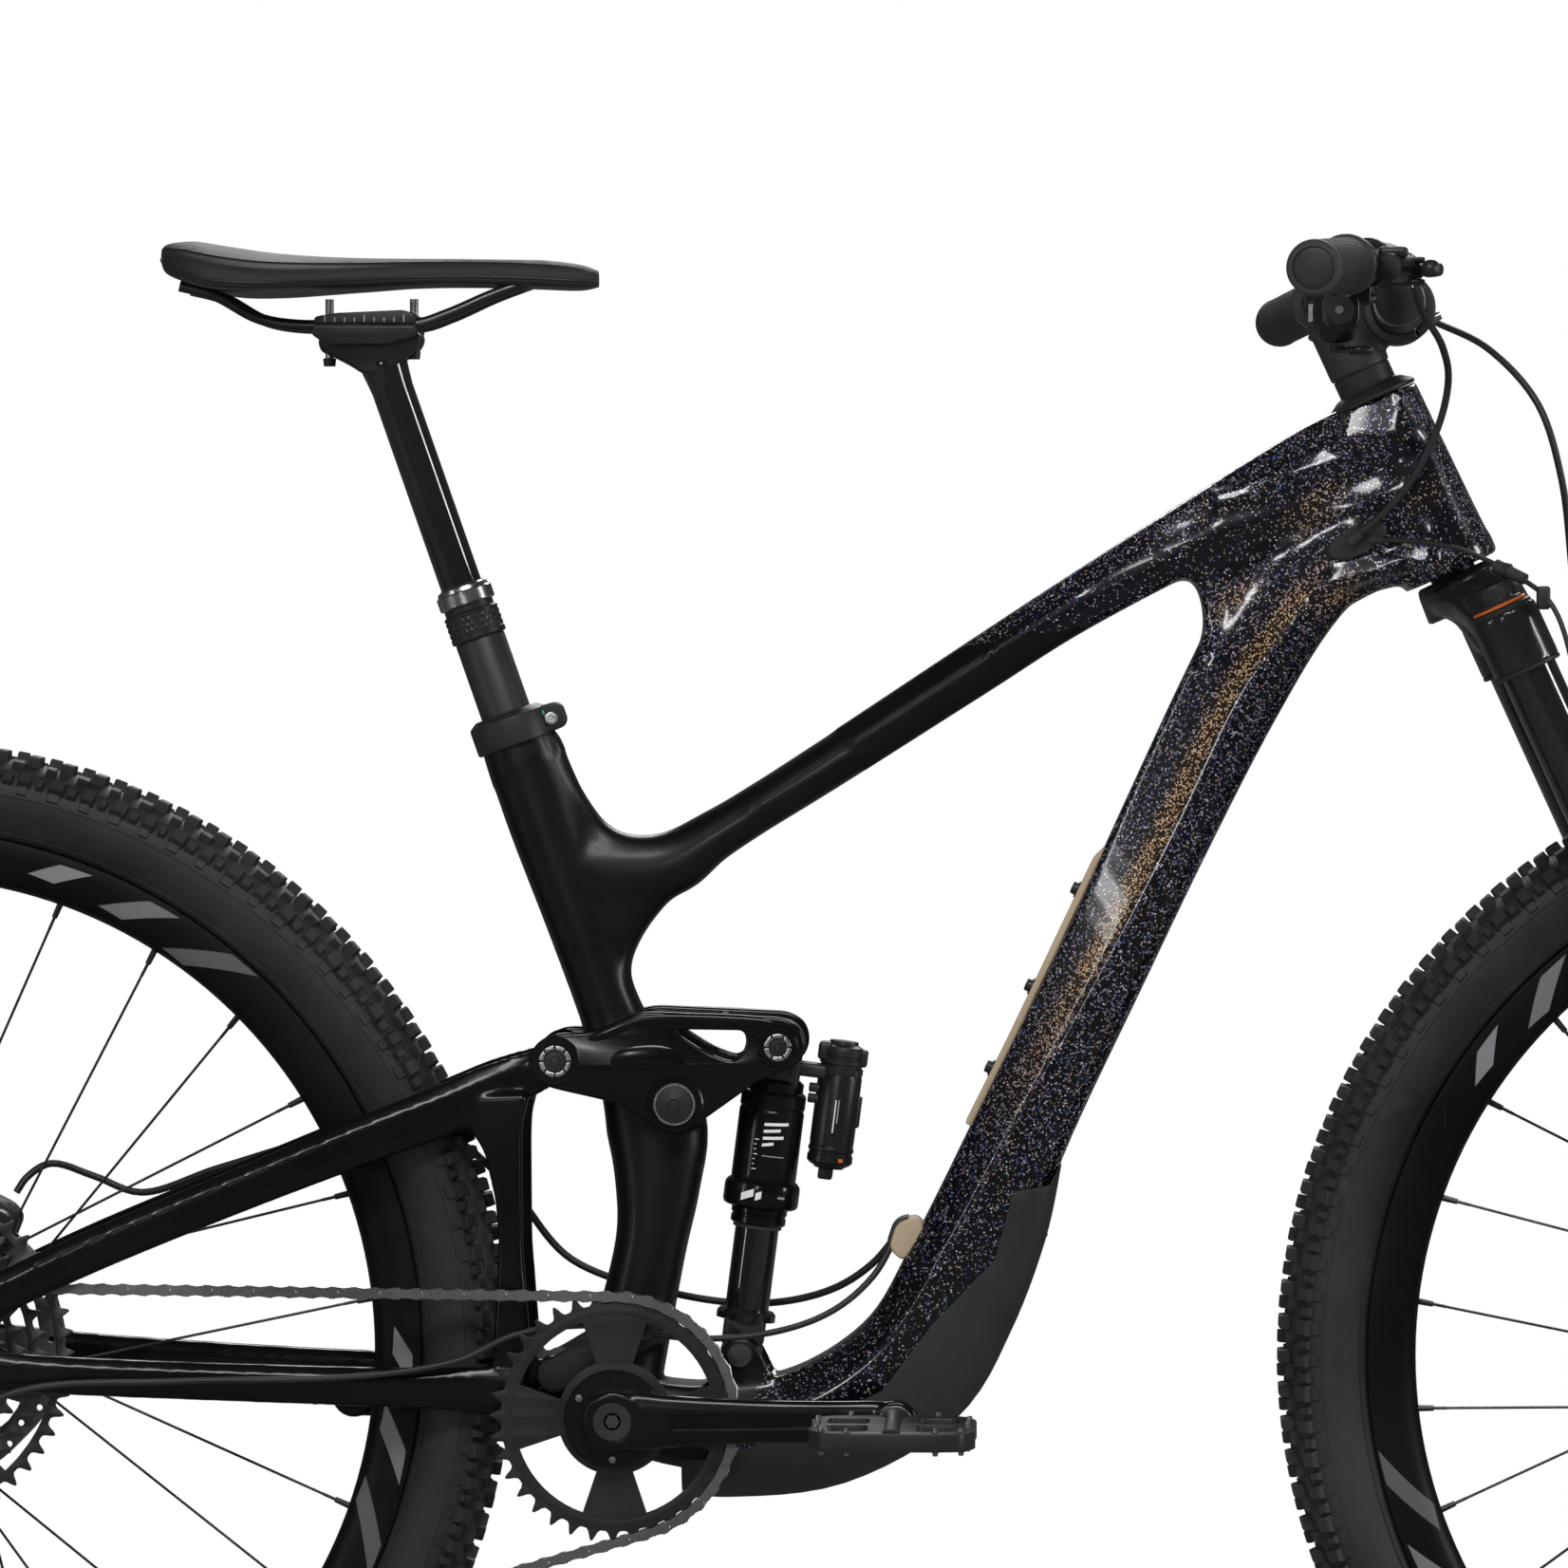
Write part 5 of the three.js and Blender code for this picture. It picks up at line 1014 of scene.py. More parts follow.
def buildHub(end):
    f = hubFacts[end]
    place = atWheel(end)
    if end == "rear":
        right = [(f["end"], -f["ends"]), (f["end"], f["right"] - 5), (18, f["right"] - 5),
            (18, f["right"] - 1.5)]
    else:
        right = [(f["end"], -f["ends"]), (12, f["right"] - 12), (16, f["right"] - 5),
            (18, f["right"] - 1.5)]
    profile = [(f["bore"] + 0.3, -f["ends"]), *right, (28, f["right"] - 1.5), (30, f["right"] - 0.8),
        (30, f["right"] + 0.8), (28, f["right"] + 1.5), (f["barrel"] + 3, f["right"] + 5),
        (f["barrel"], f["right"] + 12), (f["barrel"], f["left"] - 12), (f["barrel"] + 3, f["left"] - 5),
        (28, f["left"] - 1.5), (30, f["left"] - 0.8), (30, f["left"] + 0.8), (28, f["left"] + 1.5),
        (18, f["left"] + 2), (20, f["disc"] - 1), (20, f["disc"] - 0.3), (12, f["disc"] - 0.3),
        (12, f["disc"] + 6), (f["end"], f["disc"] + 8), (f["end"], f["ends"]), (f["bore"] + 0.3, f["ends"])]
    parts = [turnedAbout(end + "Shell", profile, place, look["blackAlloy"], "y", segments=56, closed=True,
        crisp=28)]
    lock = [(12.2, f["disc"] + 2), (17, f["disc"] + 2), (17.5, f["disc"] + 3), (16, f["disc"] + 5.4),
        (12.2, f["disc"] + 5.8)]
    parts.append(turnedAbout(end + "LockRing", lock, place, look["greyAlloy"], "y", segments=40,
        closed=True))
    for a in turns(20):
        parts.append(rodBetween("notch", place(17 * math.cos(a), f["disc"] + 2.2, 17 * math.sin(a)),
            place(17 * math.cos(a), f["disc"] + 4.2, 17 * math.sin(a)), 0.9, look["greyAlloy"], 0.7, 6))
    return joinObjects(end + "HubShell", parts)


def buildDisc(end):
    f = hubFacts[end]
    place = atWheel(end)
    outer = f["discRadius"]
    wave = [((outer - 0.6 + 0.6 * math.cos(a * 12)) * math.cos(a),
        (outer - 0.6 + 0.6 * math.cos(a * 12)) * math.sin(a)) for a in turns(144)]
    holes = [[(12.6 * math.cos(a), -12.6 * math.sin(a)) for a in turns(32)]]
    for k in range(6):
        turn = k * math.pi / 3
        window = [(outer - 16, 0.06), (outer - 16, 0.3), (outer - 16, 0.55), (outer - 16, 0.8),
            (outer * 0.6, 0.74), (27, 0.42), (26, 0.0), (outer * 0.55, 0.12)]
        holes.append([(r * math.cos(turn + a), r * math.sin(turn + a)) for r, a in window])
    for k in range(36):
        turn = 2 * math.pi * k / 36
        r = outer - (5 if k % 2 else 9)
        holes.append([(r * math.cos(turn) + 1.9 * math.cos(-b), r * math.sin(turn) + 1.9 * math.sin(-b))
            for b in (2 * math.pi * j / 10 for j in range(10))])
    track = plate(end + "Track", wave, f["disc"], f["disc"] + 1.8, look["steel"], holes, 0.25, place,
        corner=0)
    spider = [(12.4, f["disc"] - 0.1), (19, f["disc"] - 0.1), (19.5, f["disc"] + 1), (19, f["disc"] + 1.95),
        (12.4, f["disc"] + 1.95)]
    ring = turnedAbout(end + "Spider", spider, place, look["blackAlloy"], "y", segments=48, closed=True)
    return joinObjects(end + "DiscRotor", [track, ring])


for end in ("rear", "front"):
    body = end + "_wheel"
    put(buildTyre(end), body, end + "_tyre", slot="tyre")
    put(buildRim(end), body, end + "_laced_rim", slot="rim")
    put(buildHub(end), body, end + "_hub", slot="anodised_black")
    put(buildDisc(end), body, end + "_disc", slot="steel")
print("wheels made")


# Rear suspension
# stations: x, y, z, half tall, half wide; the section has a crease along its outer face
def stayTube(name, stations, material, steps=5, crease=0.5):
    rows = smoothRow(stations, steps)
    wide = Vector((0, 1, 0))
    half = [(1, 0.45), (crease, 1), (-0.62, 0.92), (-1, 0.4)]
    rings = []
    for i, (x, y, z, tall, broad) in enumerate(rows):
        along = headingAt(rows, i)
        up = along.cross(wide).normalized()
        if up.z < 0:
            up = -up
        out = Vector((0, 1, 0))
        ring = [(u, v) for u, v in half] + [(u, -v) for u, v in reversed(half)]
        rings.append([Vector((x, y, z)) + up * (u * tall) + out * (v * broad) for u, v in ring])
    return makeObject(name, *loftRings(rings), material)


def hexHole(name, at, y, side, size, material):
    points = [onCircle(at, size, k * math.pi / 3) for k in range(6)]
    return plate(name, points, y - side * 1.2, y + side * 0.12, material, soft=0.05, corner=0)


# a bright washer with notches, its socket bolt sunk inside it
def notchedRing(name, at, y, side, outer, inner, height, material, notches=6):
    parts = []
    for k in range(notches):
        a0 = 2 * math.pi * k / notches + 0.06
        a1 = 2 * math.pi * (k + 1) / notches - 0.06
        ring = [onCircle(at, outer, a) for a in (a0 + (a1 - a0) * j / 6 for j in range(7))]
        ring += [onCircle(at, inner, a) for a in (a1 + (a0 - a1) * j / 6 for j in range(7))]
        parts.append(plate(name, ring, y, y + side * height, material, soft=0.35, corner=0))
    profile = [(0, 0.2), (inner * 0.42, 0.2), (inner * 0.46, height * 0.55), (inner * 0.9, height * 0.4),
        (inner + 0.1, height * 0.1), (inner + 0.4, -1), (0, -1)]
    profile = [(r, y + side * t) for r, t in profile]
    parts.append(turnedAcross(name + "Well", profile, at, look["blackAlloy"], 28))
    parts.append(hexHole(name + "Hex", at, y + side * 0.2, side, inner * 0.34, look["satinBlack"]))
    return parts


def buildRearTriangle():
    seat = [(-205, 28.6, 549, 11, 3.9), (-225, 28.6, 540.5, 14, 3.9), (-246, 33.5, 532, 15.5, 6.5),
        (-272, 39, 521, 15.5, 8), (-320, 46.5, 503, 14.5, 8), (-403, 57, 470, 13, 8),
        (-493, 70, 432.5, 12.5, 7.5), (-560, 79, 400, 13, 5.5), (-600, 79.2, 376, 15, 4.8)]
    chain = [(-226, 38, 352, 15, 6), (-246, 39.6, 352, 14, 5), (-268, 42, 353, 13, 6),
        (-300, 46, 354, 12, 8), (-400, 58, 358, 11.5, 8), (-500, 71.5, 363, 11.5, 7.5),
        (-560, 79, 368, 12, 5.5), (-602, 79.2, 371, 14, 4.8)]
    strut = [(-219, 532), (-223.4, 516), (-224, 500), (-223.5, 438), (-219, 380), (-222, 338), (-238, 336),
        (-242, 372), (-238, 438), (-240, 466), (-247, 497), (-258, 513), (-262, 530)]
    parts = []
    for side in (-1, 1):
        def sided(rows):
            return [(x, side * y, z, tall, wide) for x, y, z, tall, wide in rows]

        def slab(name, outline, y0, y1, soft=1.0, corner=6):
            return plate(name, outline, side * y0, side * y1, None, soft=soft, corner=corner)
        parts += [stayTube("seatStay", sided(seat), None), stayTube("chainStay", sided(chain), None),
            slab("strut", strut, 31, 42, 2.5),
            slab("dropout", [(-622, 364), (-622, 380), (-612, 391), (-596, 391), (-582, 384), (-580, 364),
            (-592, 357), (-614, 357)], 74.3, 84),
            crossRod("eye", pivots["stay"], 13.5, side * 24.8, side * 32.7, None)]
    parts.append(crossRod("yoke", pivots["linkStay"], 11, -30.2, 30.2, None))
    parts.append(plate("bridgeLow", [(-217, 380), (-214.5, 352), (-217, 340), (-227.5, 338), (-228, 352),
        (-227.5, 380)], -35, 35, None, corner=3))
    parts.append(plate("bridgeHigh", [(-262, 531), (-258, 536), (-246, 529), (-240, 508), (-244, 498),
        (-249, 512)], -36, 36, None, corner=3))
    for outline in ([(-550, 402), (-566, 396), (-566, 435.5), (-550, 426.8)],
            [(-579, 388), (-593, 382), (-593, 450), (-579, 442)]):
        parts.append(plate("post", outline, 64.5, 80, None, corner=3))
    parts.append(plate("hanger", [(-606, 362), (-588, 362), (-588, 340), (-594, 333), (-602, 336)], -84,
        -76, None))
    parts.append(crossRod("hangerEye", hangerAt, 9, -84, -76, None))
    body = joinObjects("rearShell", parts)
    blendTogether(body, 1.9, 3, 0.5)
    cutters = [crossRod("c", pivots["stay"], 5.6, -60, 60, None),
        crossRod("c", pivots["linkStay"], 8.9, -60, 60, None),
        crossRod("c", axles["rear"], 6.7, -100, 100, None), crossRod("c", hangerAt, 4.7, -100, -60, None)]
    cutters.append(block("c", -700, -540, -74.3, 74.3, 300, 395, None, 0.1))
    for side in (-1, 1):
        cutters.append(plate("c", [(-221, 361), (-217, 371.6), (-209, 378), (-150, 407), (-137, 403),
            (-133, 390), (-137, 379), (-148, 373), (-200, 346), (-212, 345), (-220, 352)], side * 29.9,
            side * 37, None, soft=0.1, corner=2))
    bore(body, cutters)
    setMaterial(body, look["glossBlack"])
    body.data.set_sharp_from_angle(angle=math.radians(52))
    return body


def buildRocker():
    outline = [(-221, 545), (-217, 560), (-204, 568.5), (-183.5, 568.2), (-156.4, 579.8), (-146, 581.5),
        (-65, 578), (-54.6, 571.1), (-52.2, 559.5), (-56.4, 549.1), (-79.5, 540.5), (-105.5, 522),
        (-119.9, 511.6), (-133.2, 507.5), (-146, 513.3), (-163.3, 524.9), (-177.2, 528.3), (-203, 534),
        (-216, 538)]
    window = [(-134, 570.6), (-111, 556), (-95, 550.6), (-88, 561), (-89, 570)]
    parts = []
    for side in (-1, 1):
        parts.append(plate("rockerPlate", outline, side * 33, side * 40.2, look["glossBlack"], [window],
            2.0, corner=9))
        rib = [(-196, 36.5, 561), (-176, 37.5, 567), (-152, 37.5, 575.5), (-120, 37.5, 576.3),
            (-80, 37.5, 574.3), (-66, 37.5, 571)]
        rows = [(x, side * y, z, 4.2 if 0 < i < 5 else 2.2, 3.5 if 0 < i < 5 else 2) for i,
            (x, y, z) in enumerate(rib)]
        parts.append(ovalTube("rib", rows, look["glossBlack"], 16, 2.6))
        rows = [(-182, side * 36.6, 546, 7, 2), (-160, side * 38, 553, 8.5, 3.2),
            (-136, side * 38, 552, 10, 3.2), (-112, side * 36.6, 544, 6, 2)]
        parts.append(ovalTube("swell", rows, look["glossBlack"], 18, 2.2))
        for at, radius in ((pivots["stay"], 15.2), (pivots["shockTop"], 12.6)):
            parts.append(turnedAcross("boss",
                [(0, side * 33), (radius, side * 33), (radius, side * 40.4), (radius - 0.8, side * 41.2),
                (0, side * 41.2)], at, look["glossBlack"], 48))
        profile = [(8.6, side * 33), (17.5, side * 33), (17.5, side * 40.2), (16.5, side * 41),
            (8.6, side * 41)]
        parts.append(turnedAcross("bossMain", profile, pivots["rocker"], look["glossBlack"], 48,
            closed=True))
        parts += notchedRing("stayBolt", pivots["stay"], side * 41.2, side, 9.6, 6.9, 1.9,
            look["paleAlloy"], 8)
        parts += notchedRing("shockBolt", pivots["shockTop"], side * 41.2, side, 8.3, 5.6, 1.9,
            look["paleAlloy"], 6)
        parts.append(turnedAcross("spacer", [(5, side * 13.4), (9, side * 13.4), (9, side * 34),
            (5, side * 34)], pivots["shockTop"], look["blackAlloy"], 32, closed=True))
        parts.append(crossRod("pin", pivots["stay"], 5, side * 24.9, side * 34, look["blackAlloy"]))
    parts.append(crossRod("bridge", (-104, 574.5), 3.6, -34, 34, look["glossBlack"]))
    parts.append(crossRod("shockPin", pivots["shockTop"], 5, -36, 36, look["blackAlloy"]))
    return joinObjects("rockerArms", parts)


def buildRockerAxle():
    parts = [crossRod("axle", pivots["rocker"], 8, -42, 42, look["greyAlloy"])]
    for side in (-1, 1):
        y = side * 41.3
        profile = [(0, 0), (12.6, 0), (13, 0.5), (13, 1.3), (12.2, 1.7), (11.6, 1.5), (4.6, 3.0),
            (3.8, 3.2), (3.6, 2.0), (0, 2.0)]
        profile = [(r, y + side * t) for r, t in profile]
        parts.append(turnedAcross("cap", profile, pivots["rocker"], look["satinBlack"], 64, crisp=20))
        ring = [(11.4, y + side * 1.2), (12.4, y + side * 1.2), (12.4, y + side * 1.9),
            (11.4, y + side * 1.9)]
        parts.append(turnedAcross("capRing", ring, pivots["rocker"], look["paleAlloy"], 64, closed=True))
        parts.append(hexHole("capHex", pivots["rocker"], y + side * 2.0, side, 2.7, look["satinBlack"]))
    return joinObjects("rockerAxle", parts)


def buildLowerLink():
    outline = [(-216, 361), (-213, 368.5), (-206, 371.5), (-158, 400), (-150, 403), (-141, 399.5),
        (-137, 390), (-140, 381), (-146, 377.5), (-198, 352.5), (-205, 350), (-213, 353.5)]
    parts = [crossRod("pin", pivots["linkStay"], 5, -36, 36, look["blackAlloy"])]
    hole = [(pivots["linkFrame"][0] + 6.6 * math.cos(a), pivots["linkFrame"][1] + 6.6 * math.sin(a))
        for a in turns(28)]
    for side in (-1, 1):
        parts.append(plate("linkPlate", outline, side * 30.5, side * 36.5, look["blackAlloy"], [hole], 1.2,
            corner=5))
    return joinObjects("lowerLinkArms", parts)


# a thin mark laid on a round form
def patchOn(name, place, radius, angle0, angle1, z0, z1, material, slant=0.0, steps=6):
    vertices, faces = [], []
    for k in range(steps + 1):
        a = math.radians(angle0 + (angle1 - angle0) * k / steps)
        shift = slant * (k / steps - 0.5)
        for z in (z0 + shift, z1 + shift):
            vertices.append(place(radius * math.cos(a), radius * math.sin(a), z))
    for k in range(steps):
        faces.append((2 * k, 2 * k + 1, 2 * k + 3, 2 * k + 2))
    return makeObject(name, vertices, faces, material)


shockSpan = math.hypot(23.9, 187.9)
shockFacts = {"can": 19.8, "collar": 23, "shaft": 13.3, "reservoirAt": 38.5}


def buildShockBody():
    f = shockFacts
    inner = f["shaft"] + 0.6
    profile = [(inner, 78.6), (15.6, 78.6), (16.8, 79.6), (16.8, 83), (16.2, 83.6), (16.2, 84.6),
        (17, 85.4), (17, 88.4), (20.2, 89.2), (22.2, 90.2), (23, 92), (23, 101.5), (22.6, 103.6),
        (21, 105.4), (19.6, 106.4), (19.8, 108), (19.8, 148), (19.3, 149), (19.3, 150.2), (19.8, 151),
        (19.8, 158.4), (18.6, 160), (17.5, 160.6), (17.5, 166), (15, 168), (inner, 168)]
    parts = [turnedAbout("can", profile + [(inner, 158), (inner, 100)], fromShock, look["glossBlack"],
        segments=72, closed=True, crisp=24)]
    top = block("neck", -14, 14, -13, 13, 163, shockSpan, look["satinBlack"], 2.5, fromShock)
    eye = turnedAbout("eye", [(5.8, -13), (14.2, -13), (15, -12.2), (15, 12.2), (14.2, 13), (5.8, 13)],
        fromShock, look["satinBlack"], "y", (0, 0, shockSpan), 48, closed=True)
    bore(top, [rodBetween("c", fromShock(0, -20, shockSpan), fromShock(0, 20, shockSpan), 6, None,
        segments=24)])
    parts += [top, eye]
    parts.append(turnedAbout("travelRing", [(13.5, 76.4), (14.8, 76.4), (14.8, 78.7), (13.5, 78.7)],
        fromShock, look["rubber"], segments=40, closed=True))
    x = f["reservoirAt"]
    parts.append(block("bridge", 6, x + 11, -10, 10, 172, 180.5, look["satinBlack"], 2.5, fromShock))
    ribs = [(0, 162), (13.2, 162), (13.6, 163), (13.6, 166), (12.6, 166.6), (12.6, 168), (13.4, 168.6),
        (13.4, 171), (12.4, 171.6), (12.4, 173), (13.2, 173.6), (13.2, 177), (12, 179), (9, 180.6),
        (8.6, 182.6), (0, 182.8)]
    parts.append(turnedAbout("valve", ribs, fromShock, look["blackAlloy"], "z", (x, 0, 13.5), 48))
    parts.append(block("lid", x - 15, x - 6, -9, 9, 183.5, 194.5, look["blackAlloy"], 2.2, fromShock))
    parts.append(block("latch", x + 6, x + 15.4, -5, 5, 181.5, 192, look["satinBlack"], 1.8, fromShock))
    profile = [(0, 104.4), (8.6, 104.4), (9.4, 105.4), (12.4, 107), (13.9, 108.6), (13.9, 112.4),
        (13.2, 113.2), (13.2, 114.6), (13.9, 115.4), (13.9, 117), (13.3, 118), (13.5, 121), (13.5, 160),
        (13, 162.4), (0, 162.4)]
    parts.append(turnedAbout("reservoir", profile, fromShock, look["greyAlloyDark"], "z", (x, 0, 13.5), 56,
        crisp=24))
    for z in (159.5, 166):
        parts.append(rodBetween("nub", fromShock(x - 12, -6, z), fromShock(x - 17.4, -7, z), 2.9,
            look["satinBlack"]))
    parts.append(block("clip", x + 12, x + 15.2, -4, 4, 144.5, 163.5, look["satinBlack"], 1.0, fromShock))
    parts.append(block("fitting", x - 6, x + 3, -5, 5, 111, 119, look["blackAlloy"], 1.6, fromShock))
    # generic marks in place of lettering
    radius = f["can"] + 0.07
    for k in range(4):
        parts.append(patchOn("bar", fromShock, radius, -98, -98 + (44, 30, 37, 20)[k], 140.5 - 4.2 * k,
            142.3 - 4.2 * k, look["markWhite"], 1.4))
    for k in range(7):
        parts.append(patchOn("tick", fromShock, radius, -112, -108 if k % 3 else -104, 113 + 3 * k,
            113.5 + 3 * k, look["markWhite"]))
    parts.append(patchOn("line", fromShock, radius, -96, -56, 121.4, 122, look["markGrey"], 0))
    parts.append(patchOn("slash", fromShock, f["collar"] + 0.06, -120, -100, 95, 99.6, look["markWhite"],
        3.4))
    parts.append(patchOn("slash", fromShock, f["collar"] + 0.06, -97, -88, 95, 99.6, look["markWhite"],
        1.6))
    parts.append(patchOn("slash", fromShock, f["collar"] + 0.06, -62, -50, 96.6, 98, look["markGrey"]))

    def besideShock(px, py, pz):
        return fromShock(px + x, py, pz)
    parts.append(patchOn("stripe", besideShock, 13.57, -92, -89, 140.5, 160.5, look["markWhite"], 0, 2))
    parts.append(patchOn("stripe", besideShock, 13.57, -84, -81, 146.5, 160.5, look["markGrey"], 0, 2))
    parts.append(patchOn("dot", besideShock, 13.97, -66, -54, 122.9, 125.1, look["orange"], 0, 3))
    return joinObjects("shockCan", parts)


def buildShockShaft():
    profile = [(0, 20), (18, 20), (18, 24), (16.4, 26), (13.3, 26.6), (13.3, 105), (12.2, 106), (0, 106)]
    shaft = turnedAbout("shaft", profile, fromShock, look["mirrorBlack"], segments=56)
    foot = block("foot", -12.5, 12.5, -15, 15, 4, 22, look["satinBlack"], 2.5, fromShock)
    bore(foot, [rodBetween("c", fromShock(0, -20, 0), fromShock(0, 20, 0), 9.4, None, segments=28)])
    eye = turnedAbout("eye", [(9.1, -15), (11.8, -15), (12.5, -14.3), (12.5, 14.3), (11.8, 15), (9.1, 15)],
        fromShock, look["satinBlack"], "y", (0, 0, 0), 44, closed=True)
    return joinObjects("shockShaftForm", [shaft, foot, eye])


look["greyAlloyDark"] = plainMaterial("reservoirFinish",
    {"colour": grey(0.028), "second": grey(0.06), "rough": 0.26, "metal": 0.8, "scale": 2300.0,
    "bump": 0.15})
put(buildRearTriangle(), "rear_triangle", "rear_triangle", slot="gloss_black")
put(buildRocker(), "rocker", "rocker_link", slot="gloss_black")
put(buildRockerAxle(), "frame", "rocker_axle", slot="anodised_grey")
put(buildLowerLink(), "lower_link", "lower_link", slot="anodised_black")
put(buildShockBody(), "shock_body", "shock_body", slot="anodised_black")
put(buildShockShaft(), "shock_shaft", "shock_shaft", slot="steel")
print("suspension made")


# Seat post and saddle
postFacts = {"inner": 12.75, "travel": 125, "depth": 215, "sealHigh": 92.5}
postFacts["innerTop"] = postFacts["sealHigh"] + postFacts["travel"] + 32.5


def knurlRing(name, radius, z0, z1, place, material, count=30, rows=3):
    vertices, faces = [], []
    tall = (z1 - z0) / rows
    for row in range(rows):
        for k in range(count):
            a = 2 * math.pi * (k + 0.5 * (row % 2)) / count
            step = 2 * math.pi / count
            zMid = z0 + (row + 0.5) * tall
            start = len(vertices)
            for r, u, v in ((radius, -0.46, 0), (radius, 0, 0.46), (radius, 0.46, 0), (radius, 0, -0.46),
                    (radius + 0.55, 0, 0)):
                angle = a + u * step
                vertices.append(place(r * math.cos(angle), r * math.sin(angle), zMid + v * tall))
            faces += [(start, start + 3, start + 4), (start + 3, start + 2, start + 4),
                (start + 2, start + 1, start + 4), (start + 1, start, start + 4),
                (start, start + 1, start + 2, start + 3)]
    return makeObject(name, vertices, faces, material, smooth=False)


def buildOuterTube():
    f = postFacts
    bore0 = f["inner"] + 0.35
    profile = [(bore0, -f["depth"]), (15, -f["depth"]), (15.45, -f["depth"] + 1), (15.45, 58), (15, 59),
        (bore0, 59)]
    tube = turnedAbout("tube", profile, fromPost, look["satinBlack"], segments=64, closed=True)
    nut = turnedAbout("nut", [(bore0, 59), (16.4, 59), (17.1, 60), (17.1, 62.4), (16.6, 62.8), (16.6, 74.2),
        (17.1, 74.6), (17.1, 75.6), (16, 76.4), (15.4, 76.8), (15.4, 80.6), (bore0, 80.6)], fromPost,
        look["blackAlloy"], segments=64, closed=True, crisp=25)
    knurl = knurlRing("knurl", 16.62, 63, 74, fromPost, look["blackAlloy"])
    ring = turnedAbout("ring", [(bore0, 80.6), (16.6, 80.6), (17.4, 81.4), (17.4, 88.4), (16.8, 89.2),
        (16.2, 89.4), (15.6, 91.6), (14, 92.4), (bore0, 92.4)], fromPost, look["ringAlloy"], segments=64,
        closed=True, crisp=25)
    wiper = turnedAbout("wiper", [(bore0 - 0.3, 91.4), (14.4, 91.4), (13.6, 92.6), (bore0 - 0.3, 93.2)],
        fromPost, look["rubber"], segments=48, closed=True)
    return joinObjects("outerPost", [tube, nut, knurl, ring, wiper])


def buildCollar():
    bore0 = 15.9
    profile = [(bore0 + 4.4, -10), (23.4, -10), (24.3, -9.2), (24.5, -8), (24.5, 5.6), (24.2, 7.2), (22, 9),
        (19.5, 10.6), (bore0, 10.9), (bore0, 10.3), (22.8, 5), (22.8, -9)]
    band = turnedAbout("band", profile, fromPost, look["collarGrey"], segments=72, closed=True, crisp=25)
    parts = [band]
    for side in (-1, 1):
        ear = plate("ear", [(17, -9.6), (31, -8.6), (34, -5), (34, 4), (31, 7.4), (19, 8)], side * 1.2,
            side * 10.6, look["collarGrey"], soft=1.4, place=fromPost, corner=5)
        parts.append(ear)
    profile = [(0, -1), (4.1, -1), (4.2, 1.2), (3.8, 1.9), (2.4, 2.0), (2.2, 1.0), (0, 1.0)]
    profile = [(r, -10.6 - t) for r, t in profile]
    parts.append(turnedAbout("bolt", profile, fromPost, look["paleAlloy"], "y", (26, 0, -1.5), 32))
    parts.append(rodBetween("nut", fromPost(26, 9, -1.5), fromPost(26, 12, -1.5), 3.8, look["blackAlloy"],
        3.4, 6))
    parts.append(rodBetween("shank", fromPost(26, -10, -1.5), fromPost(26, 10, -1.5), 2.5, look["steel"]))
    parts.append(rodBetween("dot", fromPost(21, -10.4, 3.4), fromPost(21, -10.85, 3.4), 1.7, look["teal"],
        2.0, 20))
    return joinObjects("clampCollar", parts)


def buildInnerTube():
    f = postFacts
    top = f["innerTop"]
    low = f["travel"] - f["depth"] + 35
    profile = [(10.8, low), (f["inner"], low), (f["inner"], top - 31), (13.1, top - 27), (13.6, top - 22),
        (14.2, top - 17), (14.6, top - 14), (14.2, top - 12), (10.8, top - 12)]
    return turnedAbout("innerPost", profile, fromPost, look["mirrorBlack"], segments=64, closed=True)


def buildSaddleClamp():
    parts = [plate("neck", [(-350, 989), (-349, 982), (-340, 977), (-330, 972), (-321, 966), (-306, 970),
        (-296, 977), (-288, 983), (-286, 991), (-294, 994), (-344, 992)], -14, 14, look["blackAlloy"],
        soft=2.6, corner=5)]
    for side in (-1, 1):
        parts.append(plate("lowerJaw", [(-352, 996.2), (-352.4, 990.6), (-343, 984.4), (-306, 984.4),
            (-289, 990), (-288, 996.2)], side * 13, side * 29, look["blackAlloy"], soft=1.3, corner=3))
        for k in range(9):
            x = -344 + 6 * k
            parts.append(block("tick", x - 0.35, x + 0.35, side * 28.8, side * 29.12, 998.2,
                1002.4 if k % 4 == 0 else 1000.8, look["markGrey"], 0.03))
    parts.append(plate("upperJaw", [(-351, 996.8), (-289, 996.8), (-288.6, 1002.6), (-296, 1005.4),
        (-338, 1003.6), (-350.4, 1001.4)], -29, 29, look["blackAlloy"], soft=1.3, corner=3))
    for x, z in ((-344, 984.4), (-292.4, 988.6)):
        parts.append(turnedAcross("barrel", softProfile([(0, -12), (5, -12), (5, 12), (0, 12)], 0.8),
            (x, z), look["blackAlloy"], 28))
        parts.append(rodBetween("bolt", (x, 0, z - 12), (x, 0, 1013), 2.6, look["steel"]))
        parts.append(rodBetween("head", (x, 0, z - 12.2), (x, 0, z - 7.4), 3.6, look["blackAlloy"], 4, 20))
    return joinObjects("railClamp", parts)


railRoute = [(-432, 30, 1020), (-410, 28, 1014), (-386, 23, 1001), (-362, 22, 996.5), (-330, 22, 996.5),
    (-292, 22, 996.5), (-270, 20.5, 1003), (-245, 17, 1014), (-226, 13, 1021), (-218, 0, 1023)]


